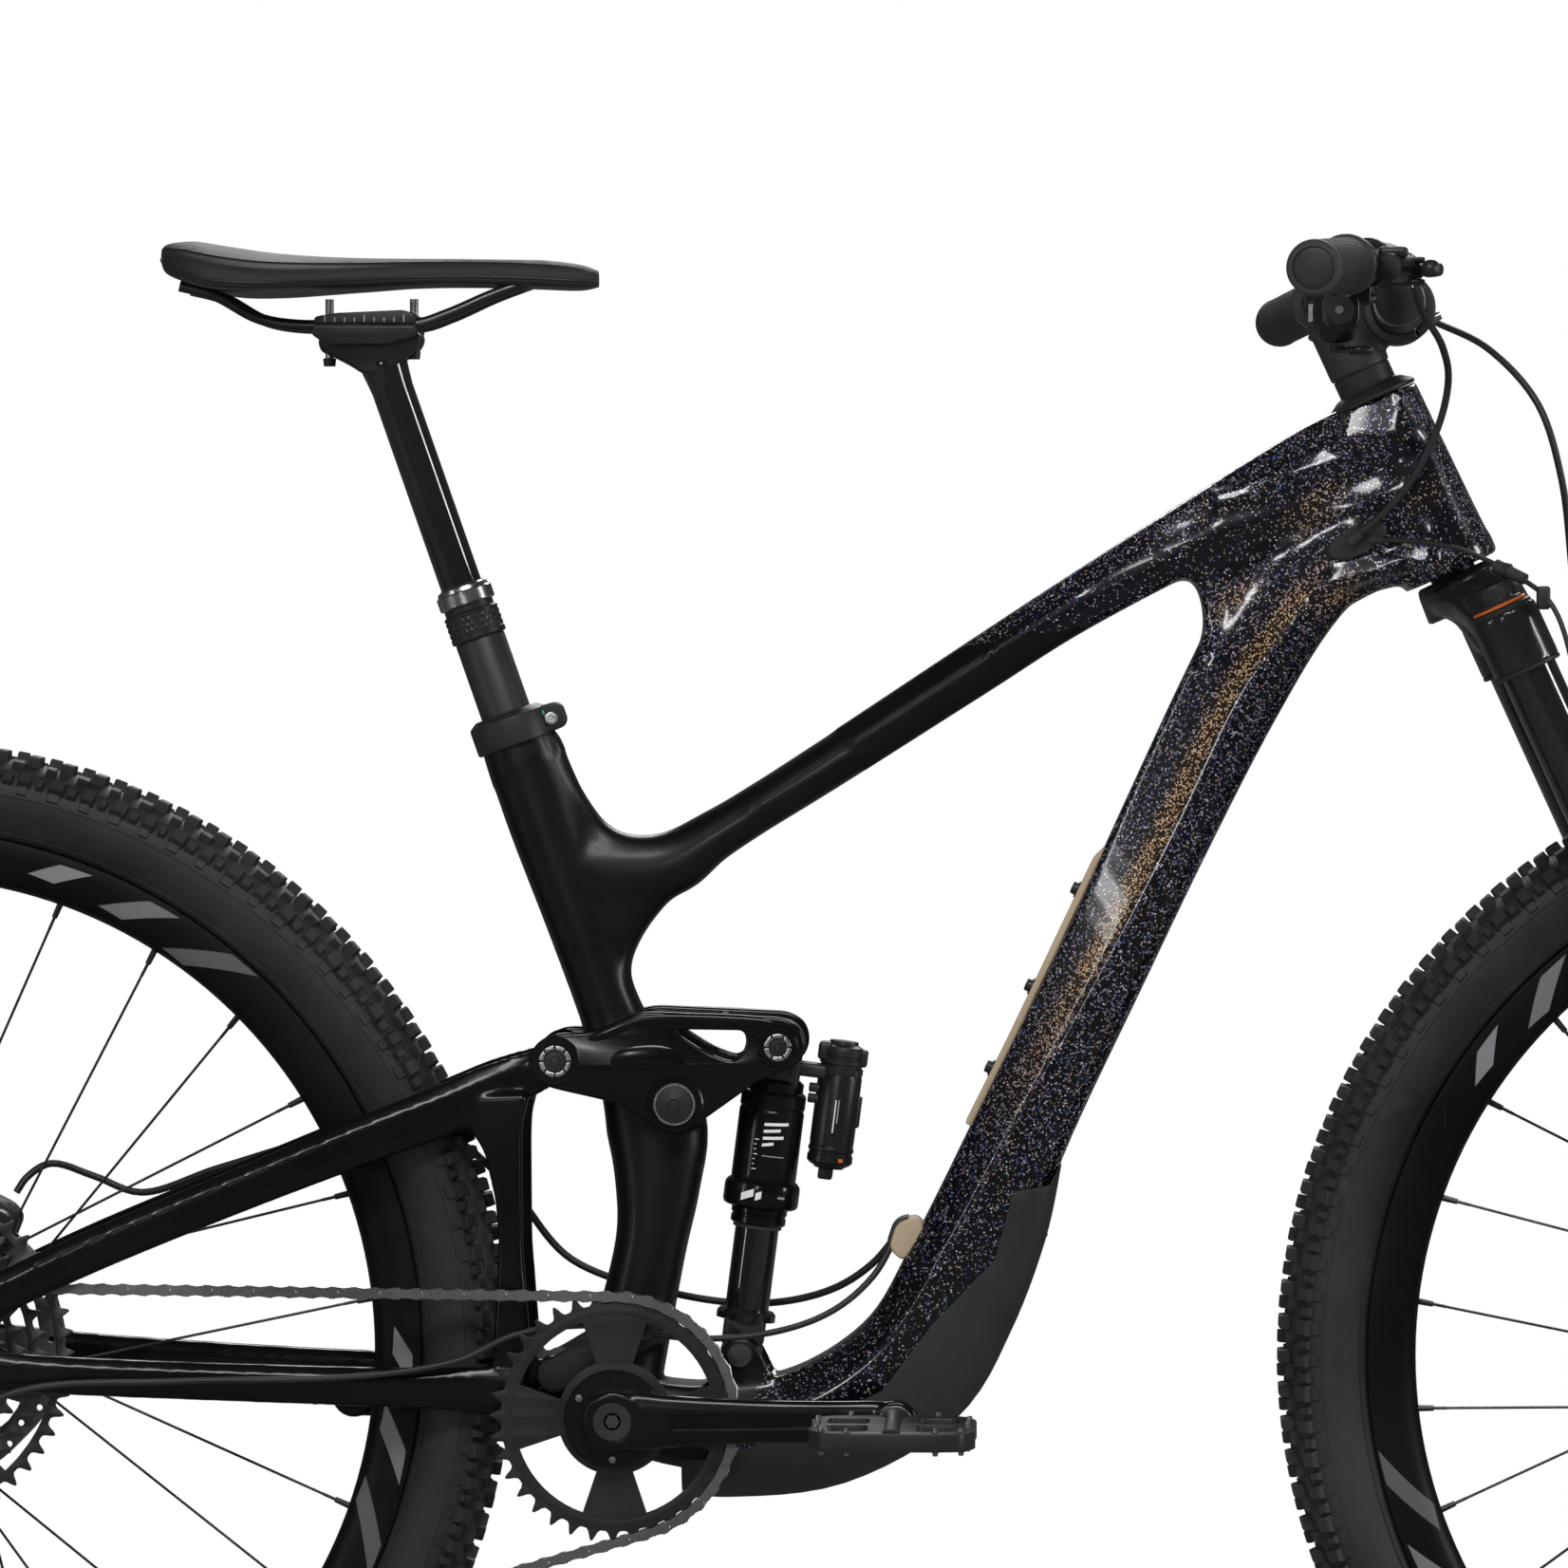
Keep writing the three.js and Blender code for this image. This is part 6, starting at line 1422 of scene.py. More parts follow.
def buildSaddle():
    rows = [(-446, 8, 1034, 1044), (-440, 36, 1027, 1047), (-424, 62, 1022, 1048), (-404, 71, 1019, 1045),
        (-376, 69, 1019, 1041), (-348, 58, 1019, 1039), (-320, 43, 1019, 1038), (-290, 31, 1020, 1038),
        (-255, 24, 1020, 1038), (-220, 20, 1019, 1037), (-192, 17, 1018, 1034), (-180, 9, 1020, 1030)]
    sides = 44

    def ringAt(row):
        x, half, low, high = row
        middle = low + (high - low) * 0.35
        ring = []
        for angle in turns(sides):
            c, s = math.cos(angle), math.sin(angle)
            y = half * math.copysign(abs(c) ** 0.8, c)
            crown = (high - middle) * s ** 0.7 if s > 0 else -(middle - low) * (-s) ** 0.6
            relief = 0
            if s > 0:
                along = max(0, min(1, (x + 425) / 40)) * max(0, min(1, (-215 - x) / 40))
                relief = -3.2 * along * math.exp(-(y / 8) ** 2)
            ring.append((x, y, middle + crown - 7 * (abs(y) / 71) ** 2 + relief))
        return ring
    rings = [ringAt(row) for row in smoothRow(rows, 6)]
    cover = makeObject("saddleCover", *loftRings(rings), look["cover"])
    cover.data.materials.append(look["shell"])
    for polygon in cover.data.polygons:
        if polygon.normal.z < -0.35:
            polygon.material_index = 1
    # a welt along the widest line of the cover and two seams on top
    left = [(x, y - 0.15, z) for x, y, z in (ring[0] for ring in rings[1:-1])]
    right = [(x, -y, z) for x, y, z in left]
    welt = [hoseAlong("welt", left[::3] + [left[-1]], 0.9, look["shell"], 8, 4),
        hoseAlong("welt", right[::3] + [right[-1]], 0.9, look["shell"], 8, 4)]
    for share in (5, sides // 2 - 5):
        line = [ring[share] for ring in rings[3:-5:3]]
        welt.append(hoseAlong("seam", [(x, y, z + 0.05) for x, y, z in line], 0.55, look["shell"], 6, 5))
    return cover, joinObjects("saddleWelt", welt)


look["ringAlloy"] = plainMaterial("sealRing",
    {"colour": grey(0.42), "second": grey(0.6), "rough": 0.24, "metal": 1.0, "scale": 2600.0, "bump": 0.12})
look["collarGrey"] = plainMaterial("collarFinish",
    {"colour": grey(0.022), "second": grey(0.04), "rough": 0.42, "metal": 0.5, "scale": 2600.0,
    "bump": 0.2})
look["shell"] = plainMaterial("saddleShell",
    {"colour": grey(0.01), "second": grey(0.02), "rough": 0.38, "scale": 1800.0, "bump": 0.12})
look["rail"] = plainMaterial("railFinish", {"colour": grey(0.05), "second": grey(0.1), "rough": 0.3,
    "metal": 0.9, "scale": 2200.0, "bump": 0.12})
put(buildOuterTube(), "frame", "dropper_outer_tube", slot="anodised_black")
put(buildCollar(), "frame", "seat_collar", slot="anodised_black")
put(buildInnerTube(), "dropper", "dropper_inner_tube", slot="gloss_black")
put(buildSaddleClamp(), "dropper", "saddle_clamp", slot="anodised_black")
loop = railRoute + [(x, -y, z) for x, y, z in reversed(railRoute[:-1])]
put(hoseAlong("railLoop", loop, 3.5, look["rail"], 20, 3), "dropper", "saddle_rails", slot="steel")
saddleCover, saddleWelt = buildSaddle()
put(saddleCover, "dropper", "saddle", slot="cover")
put(saddleWelt, "dropper", slot="cover")
print("seat made")


# Fork
forkFacts = {"ahead": 14, "side": 68, "offset": 45.4, "axle": -543, "steererTop": 180, "stanchionLow": -312}


def atLeg(side):
    f = forkFacts
    return lambda x, y, z: fromSteerer(f["ahead"] + x, side * f["side"] + y, z)


def buildForkUpper():
    f = forkFacts
    shells = []
    for side in (-1, 1):
        arm = [(2, side * -4, -14, 11, 27), (6, side * 24, -15, 12, 26), (11, side * 44, -24, 17, 22),
            (14, side * 62, -44, 21, 19), (14, side * f["side"], -52, 17, 15)]
        rows = smoothRow(arm, 5)
        rings = []
        for i, (x, y, z, tall, broad) in enumerate(rows):
            along = headingAt(rows, i)
            up = along.cross(Vector((1, 0, 0))).normalized() * side
            ring = ovalRing(Vector((x, y, z)), up, Vector((1, 0, 0)), tall, broad, ovalSection(20, 0.72))
            rings.append([fromSteerer(*point) for point in ring])
        shells.append(makeObject("arm", *loftRings(rings), None))
        shells.append(turnedAbout("socket", [(0, -70), (20.4, -70), (20.8, -68), (20.8, -40), (20.4, -33),
            (0, -33)], atLeg(side), None, segments=48))
    shells.append(turnedAbout("boss", [(0, -24), (26, -24), (25, -8), (24, -2), (0, -2)], fromSteerer, None,
        segments=48))
    crown = joinObjects("crownShell", shells)
    blendTogether(crown, 1.8, 4, 0.5)
    setMaterial(crown, look["crownBlack"])
    parts = [crown]
    parts.append(turnedAbout("steerer", [(10.6, -6), (14.3, -6), (14.3, f["steererTop"]),
        (10.6, f["steererTop"])], fromSteerer, look["blackAlloy"], segments=40, closed=True))
    for side in (-1, 1):
        leg = atLeg(side)
        profile = [(15, f["stanchionLow"]), (16.6, f["stanchionLow"]), (17, f["stanchionLow"] + 1),
            (17, -34), (15, -34)]
        parts.append(turnedAbout("stanchion", profile, leg, look["mirrorBlack"], segments=64, closed=True))
        lip = [(17.1, -71.4), (20, -71.4), (20.9, -70.6), (20.9, -69), (17.1, -69)]
        parts.append(turnedAbout("lip", lip, leg, look["satinBlack"], segments=56, closed=True))
        cap = [(0, -34), (19, -34), (19, -31.4), (18.2, -30.6), (14.9, -30.4), (14.7, -27.4), (14, -26.6),
            (10.8, -26.4), (10, -25), (9.6, -19), (8.6, -17.2), (3, -16.8), (2.6, -18.6), (0, -18.6)]
        parts.append(turnedAbout("cap", cap, leg, look["satinBlack"], segments=56, crisp=25))
        ring = [(14.9, -30.2), (16.7, -30.2), (17, -29.8), (17, -28.8), (16.7, -28.4), (14.9, -28.4)]
        parts.append(turnedAbout("colourRing", ring, leg, look["orange"], segments=56, closed=True))
        for a in turns(8):
            parts.append(rodBetween("grip", leg(9.4 * math.cos(a), 9.4 * math.sin(a), -25),
                leg(9.2 * math.cos(a), 9.2 * math.sin(a), -18.6), 1.5, look["satinBlack"], 1.3, 8))
    return joinObjects("forkUpper", parts)


def steerOval(rows, sides=24, power=0.92, sideways=(0, 1, 0)):
    rows = smoothRow(rows, 5)
    rings = []
    for i, (x, y, z, tall, broad) in enumerate(rows):
        along = headingAt(rows, i)
        up = along.cross(Vector(sideways)).normalized()
        out = up.cross(along).normalized()
        ring = ovalRing(Vector((x, y, z)), up, out, tall, broad, ovalSection(sides, power))
        rings.append([fromSteerer(*point) for point in ring])
    return makeObject("leg", *loftRings(rings), None)


def buildLowers():
    f = forkFacts
    shells = []
    for side in (-1, 1):
        leg = [(f["ahead"], side * f["side"], -222, 21, 21),
            (f["ahead"], side * f["side"], -252, 20.6, 20.6),
            (f["ahead"], side * f["side"], -430, 19.5, 20),
            (f["ahead"] + 4, side * f["side"], -495, 18, 18),
            (f["ahead"] + 14, side * f["side"], -530, 17, 14),
            (f["ahead"] + 22, side * f["side"], -559, 13, 11)]
        shells.append(steerOval(leg))
        shells.append(steerOval([(f["ahead"] + 6, side * f["side"], -510, 16, 12),
            (f["offset"], side * f["side"], f["axle"], 15, 11)]))
        shells.append(steerOval([(26, side * 60, -250, 13, 9), (41, side * 58, -224, 11, 7),
            (52, side * 48, -184, 9, 6.5), (56, side * 24, -160, 9, 6), (57, side * -3, -154, 9, 6)], 20,
            0.8, (1, 0, 0)))
        low, high = sorted((side * 55.4, side * 80))
        shells.append(rodBetween("lug", fromSteerer(f["offset"], low, f["axle"]),
            fromSteerer(f["offset"], high, f["axle"]), 17, None, segments=40))
    shells.append(block("mount", -32, 18, 46, 64, -508, -496.6, None, 1, fromSteerer))
    shells.append(block("mount", -32, 10, 46, 62, -445.3, -434, None, 1, fromSteerer))
    shells.append(block("boss", 6, 22, -97, -84, -258, -244, None, 1, fromSteerer))
    lowers = joinObjects("lowersShell", shells)
    blendTogether(lowers, 2.2, 3, 0.5)
    cutters = [rodBetween("c", atLeg(s)(0, 0, -500), atLeg(s)(0, 0, -150), 17.6, None, segments=48)
        for s in (-1, 1)]
    cutters.append(rodBetween("c", fromSteerer(f["offset"], -110, f["axle"]),
        fromSteerer(f["offset"], 110, f["axle"]), 7.9, None, segments=32))
    cutters.append(block("c", -60, 130, -55.3, 55.3, -575, -513.4, None, 0.1, fromSteerer))
    bore(lowers, cutters)
    setMaterial(lowers, look["glossBlack"])
    parts = [lowers]
    for side in (-1, 1):
        leg = atLeg(side)
        wiper = [(17.3, -226), (21, -226), (21.4, -224), (21.4, -220), (20, -217.6), (18.4, -216.4),
            (17.3, -216.4)]
        parts.append(turnedAbout("wiper", wiper, leg, look["rubber"], segments=56, closed=True))
        foot = leg(22, 0, -560)
        parts.append(rodBetween("footNut", foot, foot + (fromSteerer(0, 0, 0) - fromSteerer(0, 0, 3)), 6.5,
            look["blackAlloy"], 6, 6))
    # generic marks on the outer face of each leg
    for side in (-1, 1):
        leg = atLeg(side)
        middle = 90 * side
        for k, length in enumerate((52, 34, 20)):
            parts.append(patchOn("mark", leg, 20.75 - 0.004 * k, middle - 16 + 11 * k, middle - 10 + 11 * k,
                -330 - length, -330, look["markGrey"], 3, 4))
    return joinObjects("lowersForm", parts)


def buildFrontAxle():
    f = forkFacts
    parts = [rodBetween("axle", fromSteerer(f["offset"], -79, f["axle"]),
        fromSteerer(f["offset"], 82, f["axle"]), 7.5, look["blackAlloy"], segments=32)]
    profile = [(0, 80.4), (9.6, 80.4), (10, 81), (10, 83.2), (9.2, 84), (4, 84), (3.6, 82.6), (0, 82.6)]
    parts.append(turnedAbout("head", profile, fromSteerer, look["greyAlloy"], "y",
        (f["offset"], 0, f["axle"]), 40))
    profile = [(0, -79), (6.6, -79), (6.6, -80.2), (3.4, -80.4), (3.2, -79.4), (0, -79.4)]
    parts.append(turnedAbout("tip", profile, fromSteerer, look["greyAlloy"], "y",
        (f["offset"], 0, f["axle"]), 32))
    return joinObjects("frontAxleForm", parts)


look["crownBlack"] = plainMaterial("crownFinish",
    {"colour": grey(0.008), "second": grey(0.016), "rough": 0.2, "scale": 1200.0, "specular": 0.5,
    "coat": 0.2, "bump": 0.04})
put(buildForkUpper(), "steering", "fork_upper", slot="stanchion")
put(buildLowers(), "lowers", "fork_lowers", slot="gloss_black")
put(buildFrontAxle(), "lowers", "front_axle", slot="anodised_black")
print("fork made")


# Cockpit
barRoute = [(305, -4, 1006, 15.9), (305, 34, 1006, 15.9), (303, 62, 1010, 14.5), (297, 106, 1025, 12.4),
    (289, 142, 1028, 11.5), (272, 220, 1023, 11.1), (243, 386, 1013, 11.1)]


def onBar(y):
    side = -1 if y < 0 else 1
    y = abs(y)
    for a, b in zip(barRoute, barRoute[1:]):
        if a[1] <= y <= b[1]:
            t = (y - a[1]) / (b[1] - a[1])
            return Vector((a[0] + (b[0] - a[0]) * t, side * y, a[2] + (b[2] - a[2]) * t))
    return Vector((barRoute[-1][0], side * y, barRoute[-1][2]))


# a clamp band around the bar at one place
def ringOnBar(name, y, wide, radius, material, inner=11.6):
    a, b = onBar(y - wide / 2), onBar(y + wide / 2)
    along = (b - a).normalized()
    side = along.cross(Vector((0, 0, 1))).normalized()
    up = side.cross(along)
    profile = [(inner, 0), (radius - 0.7, 0), (radius, 0.7), (radius, wide - 0.7), (radius - 0.7, wide),
        (inner, wide)]
    return turnedAbout(name, profile, lambda x, yy, z: a + side * x + up * yy + along * z, material,
        segments=40, closed=True)


def buildHandlebar():
    parts = []
    for side in (-1, 1):
        rows = [(x, side * y, z, r, r) for x, y, z, r in barRoute]
        parts.append(ovalTube("bar", rows, look["satinBlack"], 28, 2.0, 6, (1, 0, 0)))
        end = onBar(side * 386)
        back = onBar(side * 380)
        parts.append(rodBetween("plug", end, end + (end - back).normalized() * 0.5, 10.6,
            look["satinBlack"], 9.6, 28))
        for y in (44, 48, 52, 56):
            parts.append(ringOnBar("scale", side * y, 0.5, 15.75, look["markGrey"], 12))
    return joinObjects("bar", parts)


def buildGrip(side):
    start, stop = onBar(side * 256), onBar(side * 386)
    along = (stop - start).normalized()
    across = along.cross(Vector((0, 0, 1))).normalized()
    up = across.cross(along)

    def place(x, y, z):
        return start + across * x + up * y + along * z
    length = (stop - start).length
    profile = [(11.9, 0), (16.6, 0), (17.4, 0.8), (17.4, 8.2), (16.6, 9), (14.6, 9.4), (14.6, length - 8),
        (15.6, length - 6), (16, length - 2), (15.6, length + 1.6), (14.4, length + 3),
        (11.9, length + 3.4)]
    parts = [turnedAbout("core", profile, place, look["rubber"], segments=56, closed=True)]
    parts.append(turnedAbout("lock", [(17.45, 1.6), (17.6, 1.8), (17.6, 7.2), (17.45, 7.4)], place,
        look["greyAlloy"], segments=56, closed=True))
    clamp = place(0, -17.2, 4.5)
    parts.append(rodBetween("screw", clamp, clamp - up * 0.9, 2.4, look["steel"], 2.2, 12))
    parts.append(turnedAbout("capEnd", [(0, length + 0.9), (11.6, length + 0.9), (11.9, length + 2.4),
        (9, length + 3.4), (0, length + 3.4)], place, look["satinBlack"], segments=40))
    vertices, faces = [], []
    rows, count = 27, 22
    for row in range(rows):
        for k in range(count):
            a = 2 * math.pi * (k + 0.5 * (row % 2)) / count
            z = 12.5 + row * (length - 24) / (rows - 1)
            start0 = len(vertices)
            for r, u, v in ((14.4, -0.44, -1.7), (14.4, 0.44, -1.7), (14.4, 0.44, 1.7), (14.4, -0.44, 1.7),
                    (15.7, -0.34, -1.2), (15.7, 0.34, -1.2), (15.7, 0.34, 1.2), (15.7, -0.34, 1.2)):
                angle = a + u * 2 * math.pi / count
                vertices.append(place(r * math.cos(angle), r * math.sin(angle), z + v))
            faces += [(start0 + 4, start0 + 5, start0 + 6, start0 + 7)]
            faces += [(start0 + j, start0 + (j + 1) % 4, start0 + (j + 1) % 4 + 4, start0 + j + 4)
                for j in range(4)]
            faces.append((start0 + 3, start0 + 2, start0 + 1, start0))
    parts.append(makeObject("pads", vertices, faces, look["rubber"], smooth=False))
    return joinObjects("leftGrip" if side > 0 else "rightGrip", parts)


def buildStem():
    stemLow, stemHigh = 133, 172
    barLocal = ((305 - 338) * math.cos(headAngle) + (1006 - 847) * math.sin(headAngle),
        -(305 - 338) * math.sin(headAngle) + (1006 - 847) * math.cos(headAngle))
    barAt = (barLocal[0], 0, barLocal[1])
    shells = [turnedAbout("clamp", [(0, stemLow), (18.4, stemLow), (19, stemLow + 1), (19, stemHigh - 1),
        (18.4, stemHigh), (0, stemHigh)], fromSteerer, None, segments=48)]
    rows = [(0, 0, (stemLow + stemHigh) / 2, 17, 15),
        (barLocal[0] * 0.5, 0, (barLocal[1] + stemLow + 18) / 2, 15, 13),
        (barLocal[0], 0, barLocal[1], 17, 20)]
    body = smoothRow(rows, 6)
    rings = []
    for i, (x, y, z, tall, broad) in enumerate(body):
        a, b = beside(body, i)
        along = Vector((b[0] - a[0], 0, b[2] - a[2])).normalized()
        up = along.cross(Vector((0, 1, 0)))
        ring = ovalRing(Vector((x, y, z)), up, Vector((0, 1, 0)), tall, broad, ovalSection(20, 0.7))
        rings.append([fromSteerer(*point) for point in ring])
    shells.append(makeObject("bodyForm", *loftRings(rings), None))
    shells.append(turnedAbout("barClamp", [(0, -24), (21, -24), (22, -23), (22, 23), (21, 24), (0, 24)],
        fromSteerer, None, "y", barAt, 48))
    stem = joinObjects("stemShell", shells)
    blendTogether(stem, 1.5, 3, 0.5)
    bore(stem, [rodBetween("c", fromSteerer(0, 0, 100), fromSteerer(0, 0, 181), 14.7, None, segments=40),
        rodBetween("c", (305, -50, 1006), (305, 50, 1006), 16.4, None, segments=40),
        block("c", barAt[0] + 2.5, barAt[0] + 4, -30, 30, barAt[2] - 30, barAt[2] + 30, None, 0.1,
        fromSteerer)])
    setMaterial(stem, look["satinBlack"])
    parts = [stem]
    for y in (-15, 15):
        for dz in (-17.5, 17.5):
            a = fromSteerer(barAt[0] + 16, y, barAt[2] + dz * 0.82)
            b = fromSteerer(barAt[0] + 21, y, barAt[2] + dz * 0.82)
            parts.append(rodBetween("bolt", a, b, 3, look["steel"], 2.6, 12))
    cap = [(0, stemHigh + 8.2), (15.6, stemHigh + 8.2), (16.4, stemHigh + 9), (16.4, stemHigh + 11),
        (15, stemHigh + 12.4), (4, stemHigh + 12.8), (3.6, stemHigh + 11.6), (0, stemHigh + 11.6)]
    parts.append(turnedAbout("topCap", cap, fromSteerer, look["blackAlloy"], segments=48))
    parts.append(turnedAbout("collar", [(14.6, stemHigh - 0.4), (16.6, stemHigh), (16.6, stemHigh + 8),
        (14.6, stemHigh + 8)], fromSteerer, look["satinBlack"], segments=48, closed=True))
    cone = [(14.7, 114.4), (27, 114.4), (27.5, 115), (27.5, 116.6), (26.4, 118), (21, 121.6), (18.6, 122.2),
        (18, 123), (18, 133), (14.7, 133)]
    parts.append(turnedAbout("cone", cone, fromSteerer, look["collarGrey"], segments=56, closed=True,
        crisp=25))
    return joinObjects("stemForm", parts)


leverFacts = {"pivot": onBar(232) + Vector((34, 0, -3)), "at": 232}
leverFacts["pivot"].y = 205


# bar clamp, master cylinder and reservoir of one brake
def brakeClamp(side):
    spot = onBar(side * 232)
    pivot = leverFacts["pivot"].copy()
    pivot.y *= side
    parts = [ringOnBar("band", side * 232, 14, 15, look["greyAlloyDark"])]
    a, b = onBar(side * 197), onBar(side * 253)
    start = Vector((a.x + 24, side * 197, spot.z - 1))
    stop = Vector((b.x + 22.5, side * 253, spot.z - 3))
    along = (stop - start).normalized()
    parts.append(rodBetween("cylinder", start, stop, 9, look["blackAlloy"], 8, 32))
    parts.append(rodBetween("rim", start + along * 3, start + along * 6, 9.6, look["greyAlloyDark"], 9.6,
        32))
    parts.append(rodBetween("capEnd", stop - along * 5, stop + along * 0.4, 8.6, look["greyAlloyDark"], 7.4,
        32))
    parts.append(block("reservoir", spot.x + 14, spot.x + 31, side * 204, side * 246, spot.z + 3,
        spot.z + 9.4, look["satinBlack"], 2.4))
    parts.append(block("foot", spot.x + 9, spot.x + 24, side * 226, side * 238, spot.z - 8, spot.z + 6,
        look["blackAlloy"], 2))
    for z0, z1 in ((pivot.z - 8, pivot.z - 4.7), (pivot.z + 4.7, pivot.z + 8)):
        parts.append(block("ear", pivot.x - 12, pivot.x + 8, side * 197, side * 213, z0, z1,
            look["blackAlloy"], 1.2))
    parts.append(block("heel", pivot.x - 16, pivot.x - 10, side * 197, side * 213, pivot.z - 7, pivot.z + 7,
        look["blackAlloy"], 1.6))
    for dx in (10, -9):
        parts.append(rodBetween("screw", (spot.x + 22 + dx * 0.4, side * (225 + dx), spot.z + 9.2),
            (spot.x + 22 + dx * 0.4, side * (225 + dx), spot.z + 10), 1.8, look["steel"], 1.6, 10))
    nut = start - along * 0.2
    parts.append(rodBetween("hoseNut", nut, nut - along * 0.1 + along * 4, 4.6, look["greyAlloyDark"], 5,
        6))
    return parts


def buildLever(side):
    pivot = leverFacts["pivot"].copy()
    rows = [(pivot.x + 2, 206, pivot.z, 3.4, 4), (pivot.x + 11, 230, pivot.z, 3.8, 4),
        (pivot.x + 12, 270, pivot.z - 2, 4, 4), (pivot.x + 6, 310, pivot.z - 4, 4.4, 4.6),
        (pivot.x + 6, 328, pivot.z - 4, 4.8, 4.8)]
    rows = [(x, side * y, z, tall, wide) for x, y, z, tall, wide in rows]
    blade = ovalTube("blade", rows, look["blackAlloy"], 20, 2.6, 7, (1, 0, 0))
    hub = turnedAbout("hub", softProfile([(0, -4), (7, -4), (7, 4), (0, 4)], 0.8), world,
        look["blackAlloy"], "z", (pivot.x, side * 205, pivot.z), 36)
    pin = rodBetween("pin", (pivot.x, side * 205, pivot.z - 9.5), (pivot.x, side * 205, pivot.z + 9.5), 1.9,
        look["steel"], 1.9, 16)
    parts = [blade, hub, pin]
    for k in range(5):
        y = 296 + k * 5.4
        parts.append(rodBetween("dimple", (pivot.x + 10.6, side * y, pivot.z - 3.6),
            (pivot.x + 11.5, side * y, pivot.z - 3.6), 1.6, look["satinBlack"], 1.3, 10))
    return joinObjects("leftLever" if side > 0 else "rightLever", parts)


podSpot = onBar(184)


def buildShifter():
    p = podSpot
    parts = [ringOnBar("band", -184, 9, 14.5, look["greyAlloyDark"])]
    rows = [(p.x - 22, -170, p.z - 28, 13, 10), (p.x - 18, -186, p.z - 29, 18, 15),
        (p.x - 16, -202, p.z - 28, 13, 11)]
    pod = ovalTube("pod", rows, look["greyAlloyDark"], 28, 2.8, 8, (1, 0, 0))
    bevel(pod, 1.2, 2, 40)
    parts.append(pod)
    parts.append(block("arm", p.x - 16, p.x + 2, -188.4, -179.6, p.z - 24, p.z - 9, look["greyAlloyDark"],
        1.6))
    parts.append(rodBetween("coverRing", (p.x - 17, -199, p.z - 28), (p.x - 17, -203, p.z - 28), 9.6,
        look["satinBlack"], 8.6, 32))
    parts.append(rodBetween("coverScrew", (p.x - 17, -202.6, p.z - 28), (p.x - 17, -203.6, p.z - 28), 2.6,
        look["steel"], 2.4, 12))
    for k in range(3):
        parts.append(rodBetween("rib", (p.x - 33 + 0.6 * k, -178 - 6 * k, p.z - 24),
            (p.x - 33 + 0.6 * k, -178 - 6 * k, p.z - 34), 1.1, look["markGrey"], 1.1, 8))
    parts.append(rodBetween("outlet", (p.x - 6, -174, p.z - 22), (p.x + 4, -168, p.z - 20), 4,
        look["blackAlloy"], 3.2, 20))
    return joinObjects("shifterPod", parts)


def buildPaddle():
    px, pz = podSpot.x - 16, podSpot.z - 28 - 19.6
    rows = [(px, -184, pz - 3, 2, 5), (px + 8, -204, pz - 4, 2, 5), (px + 10, -228, pz - 5, 2.4, 8),
        (px + 10, -240, pz - 5, 2.4, 7)]
    blade = ovalTube("blade", rows, look["greyAlloyDark"], 20, 3.0, 7, (1, 0, 0))
    hub = turnedAbout("hub", softProfile([(0, -4.5), (6, -4.5), (6, 0), (0, 0)], 0.7), world,
        look["blackAlloy"], "z", (px, -184, pz), 32)
    pad = [rodBetween("rib", (px + 4, -228 - 3.4 * k, pz - 7.2), (px + 16, -228 - 3.4 * k, pz - 7.2), 0.6,
        look["satinBlack"], 0.6, 8) for k in range(4)]
    return joinObjects("paddle", [blade, hub, *pad])


def buildLeftControls():
    p = podSpot
    parts = brakeClamp(1)
    parts.append(ringOnBar("remoteBand", 184, 9, 14.5, look["greyAlloyDark"]))
    parts.append(block("remote", p.x - 14, p.x + 2, 178, 190, p.z - 22, p.z - 9, look["blackAlloy"], 1.8))
    parts.append(block("tie", p.x - 9, p.x - 1, 186, 232, p.z - 21, p.z - 15, look["blackAlloy"], 1.4))
    return joinObjects("leftControls", parts)


def buildDropperLever():
    px, pz = podSpot.x - 6, podSpot.z - 22.3
    rows = [(px, 186, pz - 2.6, 2.2, 5), (px - 2, 208, pz - 3, 2.2, 6), (px - 6, 234, pz - 5, 2.4, 10),
        (px - 7, 244, pz - 6, 2.4, 8)]
    blade = ovalTube("blade", rows, look["greyAlloyDark"], 20, 3.0, 7, (1, 0, 0))
    hub = turnedAbout("hub", softProfile([(0, -5), (7, -5), (7, 0), (0, 0)], 0.7), world,
        look["blackAlloy"], "z", (px, 184, pz), 32)
    screw = rodBetween("screw", (px, 184, pz - 5), (px, 184, pz - 6), 3, look["steel"], 2.6, 12)
    return joinObjects("dropperPaddle", [blade, hub, screw])


put(buildHandlebar(), "steering", "handlebar", slot="gloss_black")
put(buildGrip(1), "steering", "left_grip", slot="rubber")
put(buildGrip(-1), "steering", "right_grip", slot="rubber")
put(buildStem(), "steering", "stem", slot="anodised_black")
put(joinObjects("rightBrake", brakeClamp(-1)), "steering", "right_brake_body", slot="anodised_black")
put(buildLever(1), "left_brake_lever", "left_brake_lever", slot="anodised_black")
put(buildLever(-1), "right_brake_lever", "right_brake_lever", slot="anodised_black")
put(buildShifter(), "steering", "shifter_body", slot="anodised_black")
put(buildPaddle(), "shift_paddle", "shift_paddle", slot="anodised_black")
put(buildLeftControls(), "steering", "left_controls", slot="anodised_black")
put(buildDropperLever(), "dropper_lever", "dropper_lever", slot="anodised_black")
print("cockpit made")


